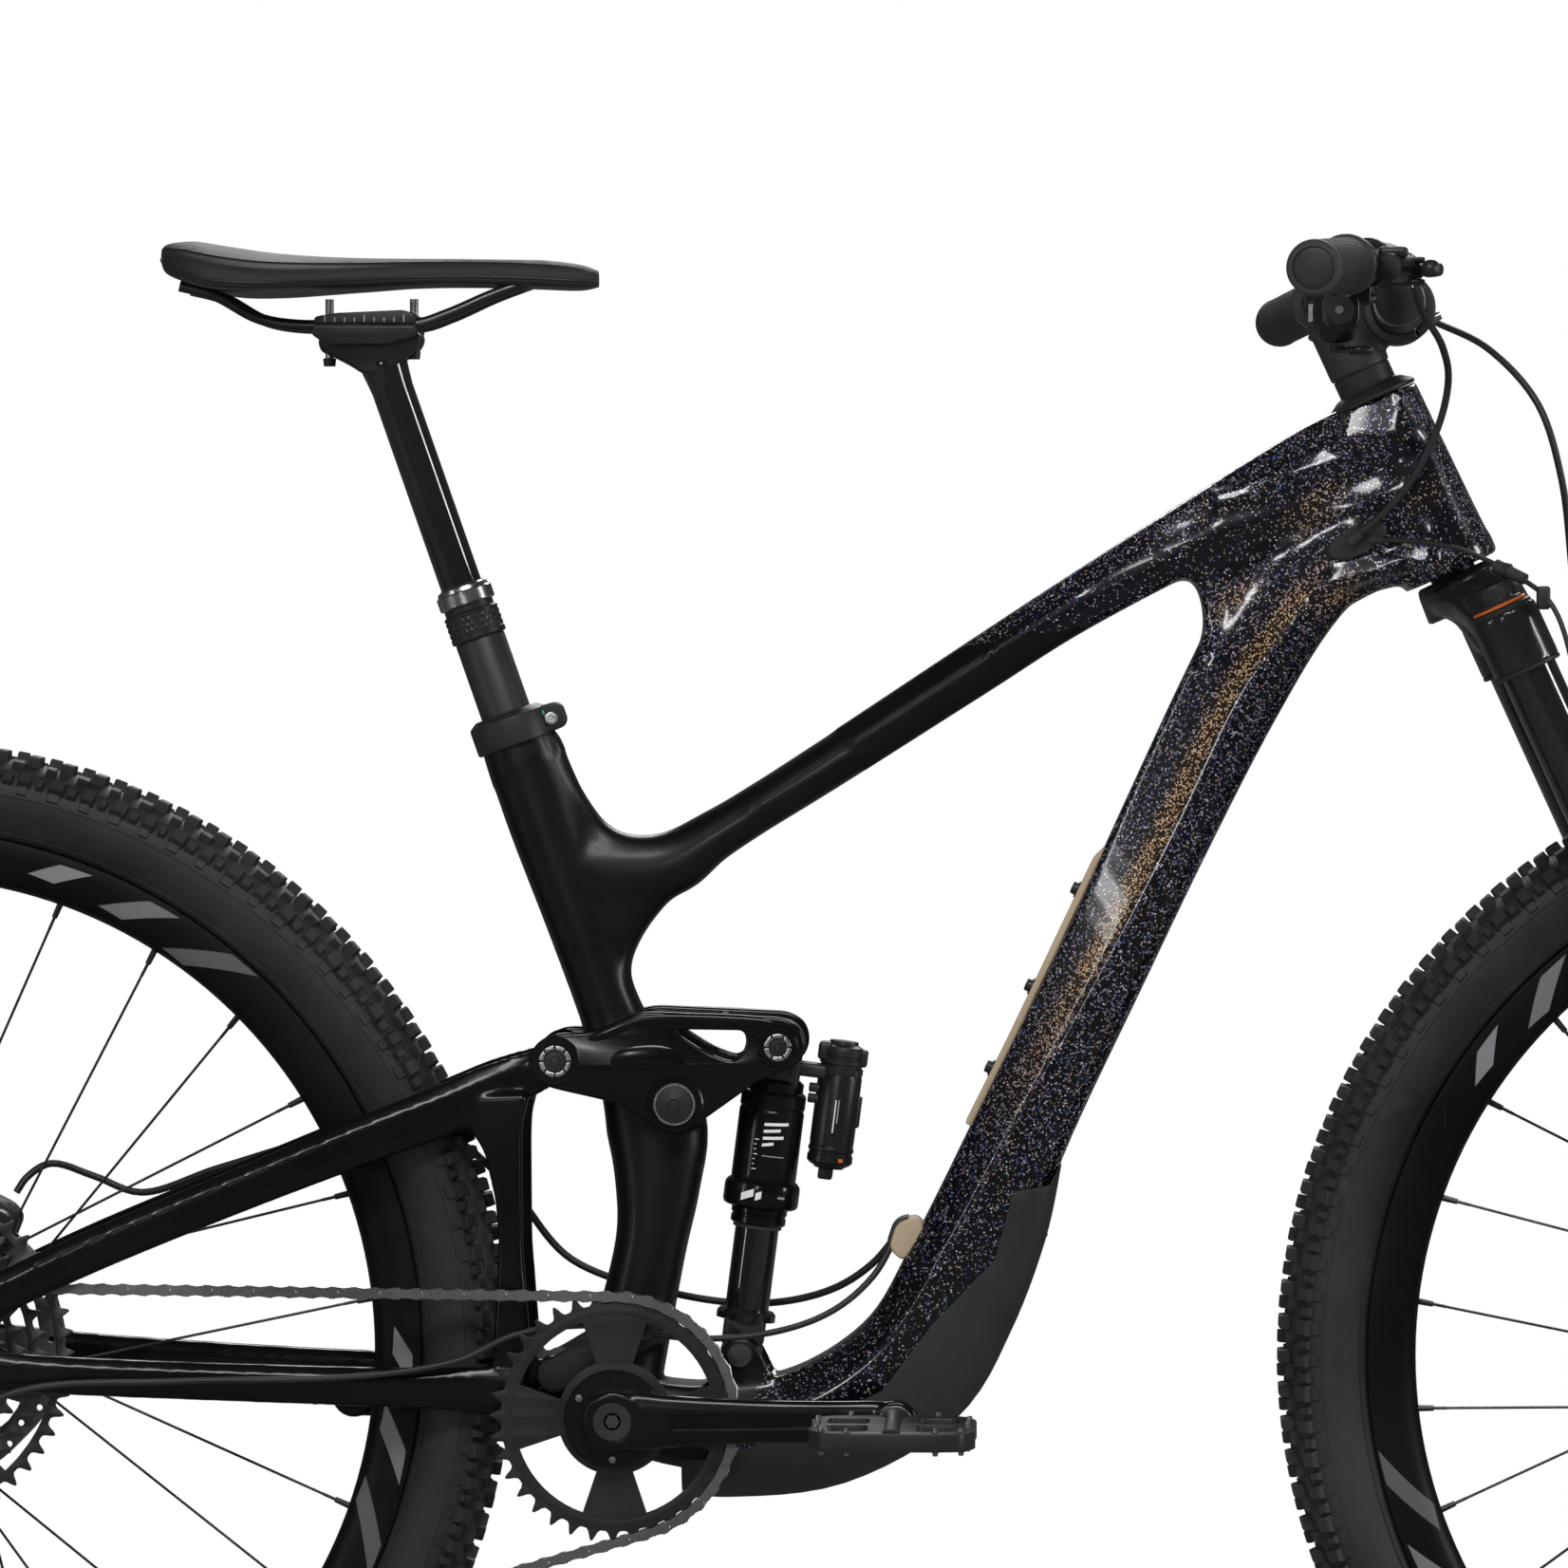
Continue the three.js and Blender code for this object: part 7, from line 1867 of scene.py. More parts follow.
# Hoses, cables, ports, rail and guard
routes = {
    "cockpit_hose": (2.2, [(301, -196.2, 1021.3), (302, -184, 1020), (306, -168, 1016), (314, -130, 999),
        (328, -84, 980), (333, -52, 960), (328, -41, 935), (312, -37, 902), (294, -36, 881),
        (279, -34, 868)]),
    "front_brake_hose": (2.2, [(301, 196.2, 1021.3), (302, 184, 1020), (308, 166, 1016), (334, 130, 1003),
        (366, 92, 984), (394, 70, 950), (408, 66, 905), (415, 74, 850), (421, 90, 790), (432, 96, 715),
        (446, 96, 640), (454, 95, 570), (464, 86, 508), (476, 66, 468), (486, 50, 456), (493, 37, 442),
        (502.4, 33, 433.2), (513, 33, 427.7)]),
    "fork_sensor_cable": (1.6, [(293, -33, 866), (312, -44, 865), (340, -54, 860), (366, -66, 848),
        (392, -88, 828), (405, -96, 790), (413, -95, 720), (433.9, -92.5, 670.9), (452, -92.5, 631.2)]),
    "rear_brake_hose": (2.3, [(4, 8, 446), (-14, 18, 424), (-40, 30, 407), (-80, 39, 398),
        (-130, 43.5, 402), (-200, 46, 424), (-240, 50, 470), (-280, 58, 500), (-340, 66, 500),
        (-420, 70, 478), (-470, 76, 462), (-500, 78, 472), (-526, 74, 480), (-540, 66, 472),
        (-546, 62, 463)]),
    "derailleur_housing": (2.0, [(2, -8, 444), (-12, -18, 420), (-36, -30, 400), (-70, -39, 388),
        (-120, -43.5, 384), (-180, -46, 392), (-228, -47.5, 386), (-262, -52, 371), (-320, -60, 362),
        (-430, -76, 360), (-520, -90, 356), (-568, -97, 334)]),
}


# the same smooth curve that the solids' hoses follow
def centripetal(points, steps=12):
    pts = [Vector(p) for p in points]
    pts = [pts[0] * 2 - pts[1]] + pts + [pts[-1] * 2 - pts[-2]]
    out = []
    for i in range(1, len(pts) - 2):
        p0, p1, p2, p3 = pts[i - 1:i + 3]
        d0, d1, d2 = (max(1e-6, (b - a).length ** 0.5) for a, b in ((p0, p1), (p1, p2), (p2, p3)))
        m1 = ((p1 - p0) / d0 - (p2 - p0) / (d0 + d1) + (p2 - p1) / d1) * d1
        m2 = ((p2 - p1) / d1 - (p3 - p1) / (d1 + d2) + (p3 - p2) / d2) * d1
        for k in range(steps):
            t = k / steps
            h = (2 * t ** 3 - 3 * t * t + 1, t ** 3 - 2 * t * t + t, -2 * t ** 3 + 3 * t * t,
                t ** 3 - t * t)
            out.append(p1 * h[0] + m1 * h[1] + p2 * h[2] + m2 * h[3])
    out.append(pts[-2])
    return out


# the node's smooth curve as dense points, cut at the given points of its route
def splitCurve(node, cuts):
    radius, points = routes[node]
    dense = centripetal(points)
    marks = [0] + [12 * c for c in cuts] + [len(dense) - 1]
    return radius, [dense[a:b + 1] for a, b in zip(marks, marks[1:])]


def denseHose(name, rows, radius):
    piece = roundTube(name, rows, radius, look["hose"], Vector((0.1, 0, 1)), 14, 3)
    return piece


# a stretch of a node's cord that runs between two bodies, laid along its route and attached to neither
def bentHose(name, node, rows, radius, first, last):
    piece = denseHose(name, rows, radius)
    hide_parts(node)
    m(*rows[first])
    m(*rows[last])
    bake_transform(piece)


def buildHoses():
    radius, (whole,) = splitCurve("cockpit_hose", [])
    bentHose("cockpitHose", "cockpit_hose", whole, radius, -8, 24)
    radius, (upper, lower) = splitCurve("front_brake_hose", [5])
    put(denseHose("frontHoseUpper", upper, radius), "steering", "front_brake_hose")
    bentHose("frontHoseLower", "front_brake_hose", lower, radius, 2, 60)
    radius, (first, second) = splitCurve("fork_sensor_cable", [4])
    bentHose("sensorCableUpper", "fork_sensor_cable", first, radius, 6, -6)
    bentHose("sensorCableLower", "fork_sensor_cable", second, radius, 4, -6)
    for node, name, cut in (("rear_brake_hose", "rearHose", 4), ("derailleur_housing", "shiftHousing", 5)):
        radius, stretches = splitCurve(node, [cut])
        for place, body, rows in zip(("Front", "Rear"), ("frame", "rear_triangle"), stretches):
            put(denseHose(name + place, rows, radius), body, node)


def buildPorts():
    lip = plate("headPortForm", [(261, 861), (264, 854), (277, 854), (290, 862), (298, 871), (295, 877),
        (282, 874), (267, 868)], -29.4, -24, look["rubber"], soft=1.8, corner=6)
    collars = []
    for point, nxt, radius in (((279, -34, 868), (294, -36, 881), 2.6),
            ((293, -33, 866), (312, -44, 865), 1.6)):
        a, b = Vector(point), Vector(nxt)
        along = (b - a).normalized()
        collars.append(rodBetween("sleeve", a - along * 6, a + along * 3, radius + 1.6, look["rubber"],
            radius + 0.5, 20))
    put(joinObjects("headPort", [lip, *collars]), "frame", "head_port", slot="rubber")
    shelf = plate("shelfForm", [(2, 452), (14, 456), (20, 449), (12, 436), (6, 428), (-3, 436)], -14, 14,
        look["beige"], soft=2.2, corner=5)
    rim = plate("shelfRim", [(-1, 450), (3, 454), (10, 456), (2, 441), (-3, 436), (-4, 441)], -12, 12,
        look["rubber"], soft=1.2, corner=3)
    put(joinObjects("shelfPort", [shelf, rim]), "frame", "shelf_port", slot="beige")


def buildRail():
    edge = [(133, 679), (125.6, 672), (93, 603), (72, 559), (52, 519), (47.5, 510)]
    outer = [(x - 4.3, z + 2.1) for x, z in edge]
    inner = [(x - 0.6, z + 0.3) for x, z in reversed(edge)]
    parts = [plate("strip", outer + inner, -8, 8, look["beige"], soft=0.9, corner=3)]
    for x, z in ((116.2, 652), (88.2, 593), (64, 543.3)):
        along = Vector((-10, 0, 4.6)).normalized()
        at = Vector((x, 0, z)) + along * 4
        parts.append(rodBetween("washer", at + along * 0.2, at + along * 1.8, 5.6, look["blackAlloy"], 5.2,
            28))
        parts.append(rodBetween("bolt", at + along * 1.6, at + along * 4.8, 4, look["satinBlack"], 3.7, 28))
        parts.append(rodBetween("hex", at + along * 4.7, at + along * 5, 2, look["rubber"], 2, 6))
        parts.append(rodBetween("shank", at - along * 4, at + along * 2, 2.4, look["steel"], 2.4, 12))
    put(joinObjects("accessoryRail", parts), "frame", "bottle_rail", slot="beige")


def buildGuard():
    rows = [(82, 0, 493, 21, 32), (67, 0, 450, 27, 33.5), (43, 0, 400, 32, 34), (14, 0, 356, 34, 34.5),
        (-40, 0, 322, 31, 33), (-100, 0, 312, 28, 33), (-128, 0, 311, 24, 31)]
    shell = ovalTube("guardForm", rows, None, 40, 3.4, 6)
    cutters = [tubeOfFacets("c", frameStations["down"], None, 6),
        plate("c", [(40, 560), (106, 500), (102, 490), (95, 476), (73, 472.5), (61.6, 431), (24, 392),
        (-6, 352), (-48, 330), (-170, 330), (-170, 600)], -60, 60, None, soft=0.1, corner=0),
        crossRod("c", bottomBracket, 25, -60, 60, None)]
    bore(shell, cutters)
    setMaterial(shell, look["guard"])
    shell = bevel(shell, 0.8, 2, 50)
    parts = [shell]
    for x, z, nx, nz in ((84, 446, 0.86, -0.5), (47, 372, 0.78, -0.62)):
        a = Vector((x, 0, z))
        n = Vector((nx, 0, nz))
        parts.append(rodBetween("bolt", a + n * 2, a + n * 9.4, 4, look["satinBlack"], 3.6, 20))
    put(joinObjects("downtubeGuard", parts), "frame", "downtube_guard", slot="guard")


# the sensor's plug and the cable clip beside the fork crown
def buildClip():
    parts = []
    a, b = Vector((361, -62, 850)), Vector((378, -73, 842))
    parts.append(rodBetween("plug", a, b, 4.4, look["rubber"], 3.4, 20))
    parts.append(rodBetween("plugRing", a + (b - a) * 0.3, a + (b - a) * 0.42, 5, look["satinBlack"], 5,
        20))
    parts.append(block("clip", 384, 392, -90, -80, 824, 838, look["satinBlack"], 2))
    return joinObjects("cableClip", parts)


buildHoses()
buildPorts()
buildRail()
buildGuard()
put(buildClip(), "steering", slot="rubber")
print("hoses made")


# Drivetrain
driveFacts = {"pitch": 12.7, "cogs": [10, 12, 14, 16, 18, 21, 24, 28, 32, 38, 44, 52], "step": 3.6,
    "first": -71.3, "line": -53.3, "guide": (*guideAt, 12), "tension": (*tensionAt, 14)}


def pitchRadius(teeth):
    return driveFacts["pitch"] / (2 * math.sin(math.pi / teeth))


# outline of a toothed wheel whose valleys take the chain's rollers
def toothed(centre, teeth, phase=0.0, tip=2.8):
    radius = pitchRadius(teeth)
    shape = [(-0.16, -3.9), (0, -4.1), (0.16, -3.9), (0.27, -2.4), (0.37, 0.6), (0.455, tip), (0.545, tip),
        (0.63, 0.6), (0.73, -2.4)]
    points = []
    for k in range(teeth):
        for part, lift in shape:
            angle = phase + 2 * math.pi * (k + part) / teeth
            points.append(onCircle(centre, (radius + lift), angle))
    return points


def circleAt(centre, radius, count=32):
    return [onCircle(centre, radius, 2 * math.pi * k / count) for k in range(count)]


def sectorHole(centre, inner, outer, start, stop, lean=0.0, steps=5):
    ring = [(outer, start + lean + (stop - start) * k / steps) for k in range(steps + 1)]
    ring += [(inner, stop - (stop - start) * k / steps) for k in range(steps + 1)]
    return [onCircle(centre, r, a) for r, a in ring]


def tangentLine(a, b, senseA, senseB):
    (ax, az, ra), (bx, bz, rb) = a, b
    dx, dz = bx - ax, bz - az
    heading = math.atan2(dz, dx) + math.asin((senseB * rb - senseA * ra) / math.hypot(dx, dz))
    nx, nz = -math.sin(heading), math.cos(heading)
    return ((ax + senseA * ra * nx, az + senseA * ra * nz), (bx + senseB * rb * nx, bz + senseB * rb * nz))


def arcPoints(wheel, start, stop, sense, steps=60):
    x, z, radius = wheel
    a = math.atan2(start[1] - z, start[0] - x)
    sweep = math.atan2(stop[1] - z, stop[0] - x) - a
    while sense > 0 and sweep > 0:
        sweep -= 2 * math.pi
    while sense < 0 and sweep < 0:
        sweep += 2 * math.pi
    return [onCircle((x, z), radius, a + sweep * k / steps) for k in range(steps + 1)]


chainWheels = {"ring": (*bottomBracket, pitchRadius(36)), "cog": (*axles["rear"], pitchRadius(21)),
    "guide": (*guideAt, pitchRadius(12)), "tension": (*tensionAt, pitchRadius(14))}


def chainPaths():
    ring, cog, guide, tension = (chainWheels[k] for k in ("ring", "cog", "guide", "tension"))
    top, low = tangentLine(cog, ring, 1, 1), tangentLine(ring, tension, 1, 1)
    cage, back = tangentLine(tension, guide, 1, -1), tangentLine(guide, cog, -1, 1)
    return {"loop": [top[0], *arcPoints(ring, top[1], low[0], 1, 120), low[1]],
        "cage": [*arcPoints(tension, low[1], cage[0], 1), *arcPoints(guide, cage[1], back[0], -1)],
        "rear": [back[0], *arcPoints(cog, back[1], top[0], 1)]}


# places for the chain's pins, an odd number of links between the stretch's two ends
def evenPins(path):
    lengths = [0.0]
    for a, b in zip(path, path[1:]):
        lengths.append(lengths[-1] + math.dist(a, b))
    links = round((lengths[-1] / driveFacts["pitch"] - 1) / 2) * 2 + 1
    pins, j = [], 0
    for k in range(links + 1):
        want = lengths[-1] * k / links
        while j < len(path) - 2 and lengths[j + 1] < want:
            j += 1
        span = lengths[j + 1] - lengths[j]
        t = (want - lengths[j]) / span if span > 1e-9 else 0
        pins.append((path[j][0] + (path[j + 1][0] - path[j][0]) * t,
            path[j][1] + (path[j + 1][1] - path[j][1]) * t))
    return pins


def chainForm(name, pins, outerFirst, bareEnds):
    vertices, faces = [], []

    def sidePlate(a, b, y0, y1, radius, waist):
        dx, dz = b[0] - a[0], b[1] - a[1]
        length = math.hypot(dx, dz)
        ux, uz = dx / length, dz / length
        ring = []
        for k in range(9):
            t = math.pi / 2 + 0.35 + (math.pi - 0.7) * k / 8
            ring.append((radius * math.cos(t), radius * math.sin(t)))
        ring.append((length / 2, -waist))
        for k in range(9):
            t = -math.pi / 2 + 0.35 + (math.pi - 0.7) * k / 8
            ring.append((length + radius * math.cos(t), radius * math.sin(t)))
        ring.append((length / 2, waist))
        start, count = len(vertices), len(ring)
        edge = 0.22
        for y, inset in ((y0, edge), (y0 + edge * math.copysign(1, y1 - y0), 0),
                (y1 - edge * math.copysign(1, y1 - y0), 0), (y1, edge)):
            for u, v in ring:
                middle = length / 2
                uu = u - inset * (1 if u > middle else -1 if u < middle else 0)
                vv = v - inset * math.copysign(1, v)
                vertices.append(world(a[0] + ux * uu - uz * vv, y, a[1] + uz * uu + ux * vv))
        for level in range(3):
            for k in range(count):
                p, q = start + level * count + k, start + level * count + (k + 1) % count
                faces.append((p, q, q + count, p + count))
        faces.append(tuple(range(start + count - 1, start - 1, -1)))
        faces.append(tuple(range(start + 3 * count, start + 4 * count)))

    def pinBarrel(at, radius, y0, y1, sides=12):
        start = len(vertices)
        for y in (y0, y1):
            for t in turns(sides):
                vertices.append(world(at[0] + radius * math.cos(t), y, at[1] + radius * math.sin(t)))
        for k in range(sides):
            p, q = start + k, start + (k + 1) % sides
            faces.append((p, q, q + sides, p + sides))
        faces.append(tuple(range(start + sides - 1, start - 1, -1)))
        faces.append(tuple(range(start + sides, start + 2 * sides)))

    line = driveFacts["line"]
    for k, (a, b) in enumerate(zip(pins, pins[1:])):
        outer = (k % 2 == 0) == outerFirst
        for side in (-1, 1):
            if outer:
                sidePlate(a, b, line + side * 1.78, line + side * 2.32, 3.75, 2.5)
            else:
                sidePlate(a, b, line + side * 1.12, line + side * 1.7, 3.9, 2.7)
    for k, pin in enumerate(pins):
        if bareEnds and k in (0, len(pins) - 1):
            continue
        pinBarrel(pin, 3.3, line - 1.1, line + 1.1)
        pinBarrel(pin, 1.5, line - 2.45, line + 2.45, 10)
    obj = makeObject(name, vertices, faces, look["chainSteel"])
    return sharpen(obj, 30)


# turns a toothed wheel so that its valleys sit under the pins that it carries
def ringPhase(pins, wheel, teeth):
    x, z, radius = wheel
    total = [0.0, 0.0]
    for px, pz in pins:
        if abs(math.hypot(px - x, pz - z) - radius) < 0.3:
            angle = math.atan2(pz - z, px - x) * teeth
            total[0] += math.cos(angle)
            total[1] += math.sin(angle)
    return math.atan2(total[1], total[0]) / teeth


def buildChain():
    paths = chainPaths()
    pins = {key: evenPins(path) for key, path in paths.items()}
    put(chainForm("chainLoop", pins["loop"], True, True), "chain", "chain_loop", slot="steel")
    put(chainForm("chainCageWrap", pins["cage"], False, False), "cage", "chain_cage_wrap", slot="steel")
    put(chainForm("chainRearWrap", pins["rear"], False, True), "rear_triangle", "chain_rear_wrap",
        slot="steel")
    return pins


def buildCassette(pins):
    centre = axles["rear"]
    parts = []
    step, first = driveFacts["step"], driveFacts["first"]
    for i, teeth in enumerate(driveFacts["cogs"]):
        radius = pitchRadius(teeth)
        y = first + step * i
        phase = ringPhase(pins["rear"], chainWheels["cog"], teeth) if i == 5 else 0.05 * i
        holes = [circleAt(centre, 13.2, 28)]
        if i >= 4:
            arms = 6 if i < 8 else 8
            inner = 19 if i < 9 else 21
            for k in range(arms):
                a0 = 2 * math.pi * k / arms + 0.11 * i
                gapAngle = 2 * math.pi / arms
                holes.append(sectorHole(centre, inner, radius - 8.5, a0 + 0.1 * gapAngle,
                    a0 + gapAngle * 0.82, lean=0.24))
        wide = 0.85 if i < 11 else 0.9
        material = look["steel"] if i < 8 else look["gunmetal"]
        cog = plate("cog", toothed(centre, teeth, phase, 2.6), y - wide, y + wide, material,
            [hole[::-1] for hole in holes], soft=0.22, corner=0)
        parts.append(cog)
    last = first + step * 11
    core = [(11.4, first - 0.8), (15.2, first - 0.8), (15.8, first + 1), (15.8, first + 14),
        (18.4, first + 15), (18.4, last + 0.5), (11.4, last + 0.5)]
    parts.append(turnedAcross("freehubCore", core, centre, look["blackAlloy"], 40, closed=True))
    parts.append(turnedAcross("lockRing", [(11, first - 0.88), (13.6, first - 0.88), (14.1, first - 0.3),
        (14.1, first + 0.6), (11, first + 0.6)], centre, look["satinBlack"], 36, closed=True))
    for i in (6, 8, 10):
        for k in range(5):
            a = 2 * math.pi * k / 5 + 0.3 * i
            r = pitchRadius(driveFacts["cogs"][i]) - 6.4
            at = onCircle(centre, r, a)
            y = first + step * i
            parts.append(crossRod("rivet", at, 1.6, y - 1.1, y + 1.1, look["steel"], segments=10))
    put(joinObjects("cassetteCogs", parts), "cassette", "cassette", slot="steel")


def buildChainring(pins):
    centre = bottomBracket
    line = driveFacts["line"]
    phase = ringPhase(pins["loop"], chainWheels["ring"], 36)
    holes = [circleAt(centre, 20.4, 40)]
    for k in range(4):
        a = math.pi / 4 + k * math.pi / 2
        holes.append(sectorHole(centre, 34.5, 60.5, a - 0.46, a + 0.46, steps=10))
    outline = toothed(centre, 36, phase, 2.8)
    ring = plate("ring", outline, line - 0.95, line + 0.95, look["blackAlloy"], [h[::-1] for h in holes],
        soft=0.25, corner=0)
    parts = [ring]
    # a raised rim inside the teeth, stiff arms and the direct mount bolts
    x, z = centre
    band = [(61.4, line - 0.8), (62.2, line - 1.02), (66.2, line - 1.02), (67, line - 0.8)]
    parts.append(turnedAcross("ringBand", band + [(67, line), (61.4, line)], (x, z), look["blackAlloy"], 96,
        closed=True))
    for k in range(8):
        a = math.pi * k / 4 + 0.2
        at = onCircle((x, z), 26.5, a)
        parts.append(crossRod("ringBolt", at, 2.6, line + 0.7, line + 1.0, look["steel"], 2.2, 16))
    put(joinObjects("chainringForm", parts), "crank", "chainring", slot="anodised_black")


def buildCranks():
    x0, z0 = bottomBracket
    parts = []
    for side in (-1, 1):
        tipX = x0 - side * crankLength
        y = side * 71
        rows = []
        for t, tall, wide in ((0, 18.5, 6.8), (0.1, 17.6, 6.9), (0.22, 15.6, 6.6), (0.5, 13.3, 5.9),
                (0.78, 12.9, 5.9), (0.9, 13.4, 6.2), (1, 13.2, 6.3)):
            rows.append((x0 + (tipX - x0) * t, y + side * 3 * t, z0, tall, wide))
        arm = ovalTube("arm", rows, None, 32, 3.2, 8, (0, 1, 0))
        hub = turnedAcross("hub", softProfile([(0, y - 7.3), (17.2, y - 7.3), (18.8, y - 5), (18.8, y + 5),
            (17.2, y + 7.3), (0, y + 7.3)], 1.4), (x0, z0), None, 56)
        boss = turnedAcross("boss", [(0, y + side * 3 - 6.4), (12.6, y + side * 3 - 6.4),
            (13.8, y + side * 3 - 5), (13.8, y + side * 3 + 5), (12.6, y + side * 3 + 6.4),
            (0, y + side * 3 + 6.4)], (tipX, z0), None, 44)
        body = blendTogether(joinObjects("armBody", [arm, hub, boss]), 1.3, 4, 0.5)
        direction = 1 if tipX > x0 else -1
        face = y + side * 7.6
        pocket = [(x0 + direction * 34, z0 - 5), (x0 + direction * 34, z0 + 5),
            (x0 + direction * 128, z0 + 3.6), (x0 + direction * 128, z0 - 3.6)]
        cutters = [crossRod("c", (tipX, z0), 5.6, -120, 120, None, segments=28),
            plate("c", pocket, face + side * 4, y + side * 4.9, None, soft=0.1, corner=4),
            crossRod("c", (x0, z0), 12.2, *sorted((y + side * 5.6, y + side * 12)), None, segments=40)]
        bore(body, cutters)
        setMaterial(body, look["glossBlack"])
        parts.append(bevel(body, 0.35, 2, 42))
        wellY = y + side * 5.6
        cap = [(0, 0), (5.2, 0), (5.2, 0.5), (10.6, 1.1), (11.6, 1.1), (12.1, 0.5), (12.1, -0.6), (0, -0.6)]
        parts.append(turnedAcross("capRing", [(r, wellY + side * t) for r, t in cap], (x0, z0),
            look["satinBlack"], 44))
        parts.append(hexHole("capHex", (x0, z0), wellY + side * 0.15, side, 4.4, look["rubber"]))
        for k in range(2):
            angle = math.pi / 4 + k * math.pi
            spot = onCircle((x0, z0), 8.2, angle)
            parts.append(crossRod("capHole", spot, 1.1, *sorted((wellY + side * 0.6, wellY + side * 1.12)),
                look["rubber"], segments=10))
        washerAt = 71 * side + side * 3
        washer = [(5.7, -6.6), (10.2, -6.6), (10.8, -6.2), (5.7, -6.2)]
        parts.append(turnedAcross("washer", [(r, washerAt - side * t) for r, t in washer], (tipX, z0),
            look["steel"], 32, closed=True))
        if side > 0:
            for dx in (-13, 0):
                parts.append(rodBetween("pinch", (x0 - 9 + dx * 0.2, y + dx * 0.45 + 2, z0 - 20),
                    (x0 - 9 + dx * 0.2, y + dx * 0.45 + 2, z0 - 17), 2.6, look["steel"], 2.6, 16))
    line = driveFacts["line"]
    parts.append(crossRod("spindle", bottomBracket, 13.9, -66, 66, look["greyAlloy"], segments=48))
    flange = [(14, -64.8), (28.6, -64.8), (29.8, -63.6), (29.8, line - 2.4), (28.9, line - 1.5),
        (14, line - 1.5)]
    parts.append(turnedAcross("flange", flange, (x0, z0), look["glossBlack"], 56, closed=True))
    collar = [(14, line - 1.4), (19.6, line - 1.4), (19.6, line + 2.4), (18.8, line + 2.9),
        (14, line + 2.9)]
    parts.append(turnedAcross("flangeCollar", collar, (x0, z0), look["blackAlloy"], 40, closed=True))
    for k in range(3):
        a = 0.5 + 2 * math.pi * k / 3
        at = onCircle((x0, z0), 24.4, a)
        parts.append(hexHole("flangeScrew", at, -64.8, -1, 2.3, look["steel"]))
    ring = [(14, 47.5), (19.4, 47.5), (19.8, 48), (19.8, 52.6), (19.4, 53), (14, 53)]
    parts.append(turnedAcross("preload", ring, (x0, z0), look["blackAlloy"], 40, closed=True))
    put(joinObjects("crankForm", parts), "crank", "crank_arms", slot="gloss_black")


def buildPedal(side):
    x0, z0 = bottomBracket[0] - side * crankLength, bottomBracket[1]
    y0, y1 = 83.9, 185.1
    middle = (y0 + y1) / 2

    def flat(x, y, z):
        return Vector((x0 + x, side * (middle + z), z0 + y))
    half = (y1 - y0) / 2
    outline = [(-30, -half), (30, -half), (44, -half + 7), (49.5, -half + 24), (48.2, -8), (48.2, 12),
        (49.5, half - 20), (42, half - 3), (24, half), (-24, half), (-42, half - 3), (-49.5, half - 20),
        (-48.2, 12), (-48.2, -8), (-49.5, -half + 24), (-44, -half + 7)]
    holes = [[(-38, -half + 16), (-15, -half + 16), (-15, -4), (-39, -4)],
        [(-39, 3), (-15, 3), (-15, half - 13), (-36, half - 13)],
        [(15, -half + 16), (38, -half + 16), (39, -4), (15, -4)],
        [(15, 3), (39, 3), (36, half - 13), (15, half - 13)]]
    parts = [plate("platform", outline, -5.6, 5.6, look["satinBlack"], [h[::-1] for h in holes], soft=1.1,
        place=flat, corner=5)]
    axle = [(0, y0 - 1), (8.2, y0 - 1), (9.6, y0 + 0.6), (9.6, y0 + 10), (7.6, y0 + 14), (7.4, y1 - 16),
        (7.8, y1 - 10), (7.8, y1 - 2), (6.6, y1 - 0.4), (0, y1 - 0.4)]
    parts.append(turnedAcross("pedalBody", [(r, side * t) for r, t in axle], (x0, z0), look["satinBlack"],
        32))
    parts.append(crossRod("pedalAxle", (x0, z0), 4.95, *sorted((side * 68, side * 84)), look["steel"],
        segments=28))
    flats = [(0, 81.2), (8.4, 81.2), (8.4, 83.2), (0, 83.2)]
    parts.append(turnedAcross("pedalCollar", [(r, side * t) for r, t in flats], (x0, z0), look["steel"], 6))
    spots = [(-45, -24), (-44.2, -2), (-44.6, 20), (-41, 42), (-26, 46.4), (45, -24), (44.2, -2),
        (44.6, 20), (41, 42), (26, 46.4), (0, 46), (-26, -46.5), (26, -46.5)]
    for x, z in spots:
        for up in (-1, 1):
            base, tip = flat(x, up * 4.8, z), flat(x, up * 8, z)
            parts.append(rodBetween("pin", base, tip, 1.9, look["steel"], 1.5, 8))
            parts.append(rodBetween("seat", flat(x, up * 4.8, z), flat(x, up * 5.9, z), 2.9,
                look["satinBlack"], 2.5, 12))
    name = "rightPedal" if side < 0 else "leftPedal"
    node = "right_pedal" if side < 0 else "left_pedal"
    put(joinObjects(name, parts), node, node, slot="anodised_black")


def buildBracket():
    parts = []
    for side in (-1, 1):
        cup = [(14.6, 36.6), (20, 36.6), (21.3, 37.4), (21.3, 41.6), (20.4, 42.4), (19.2, 44.3),
            (14.6, 44.3)]
        parts.append(turnedAcross("cup", [(r, side * t) for r, t in cup], bottomBracket, look["blackAlloy"],
            48, closed=True))
        for a in turns(16):
            at = onCircle(bottomBracket, 20.9, a)
            parts.append(crossRod("notch", at, 1.3, *sorted((side * 37.2, side * 41.8)), look["satinBlack"],
                segments=8))
    put(joinObjects("bracketCups", parts), "frame", "bottom_bracket", slot="anodised_black")


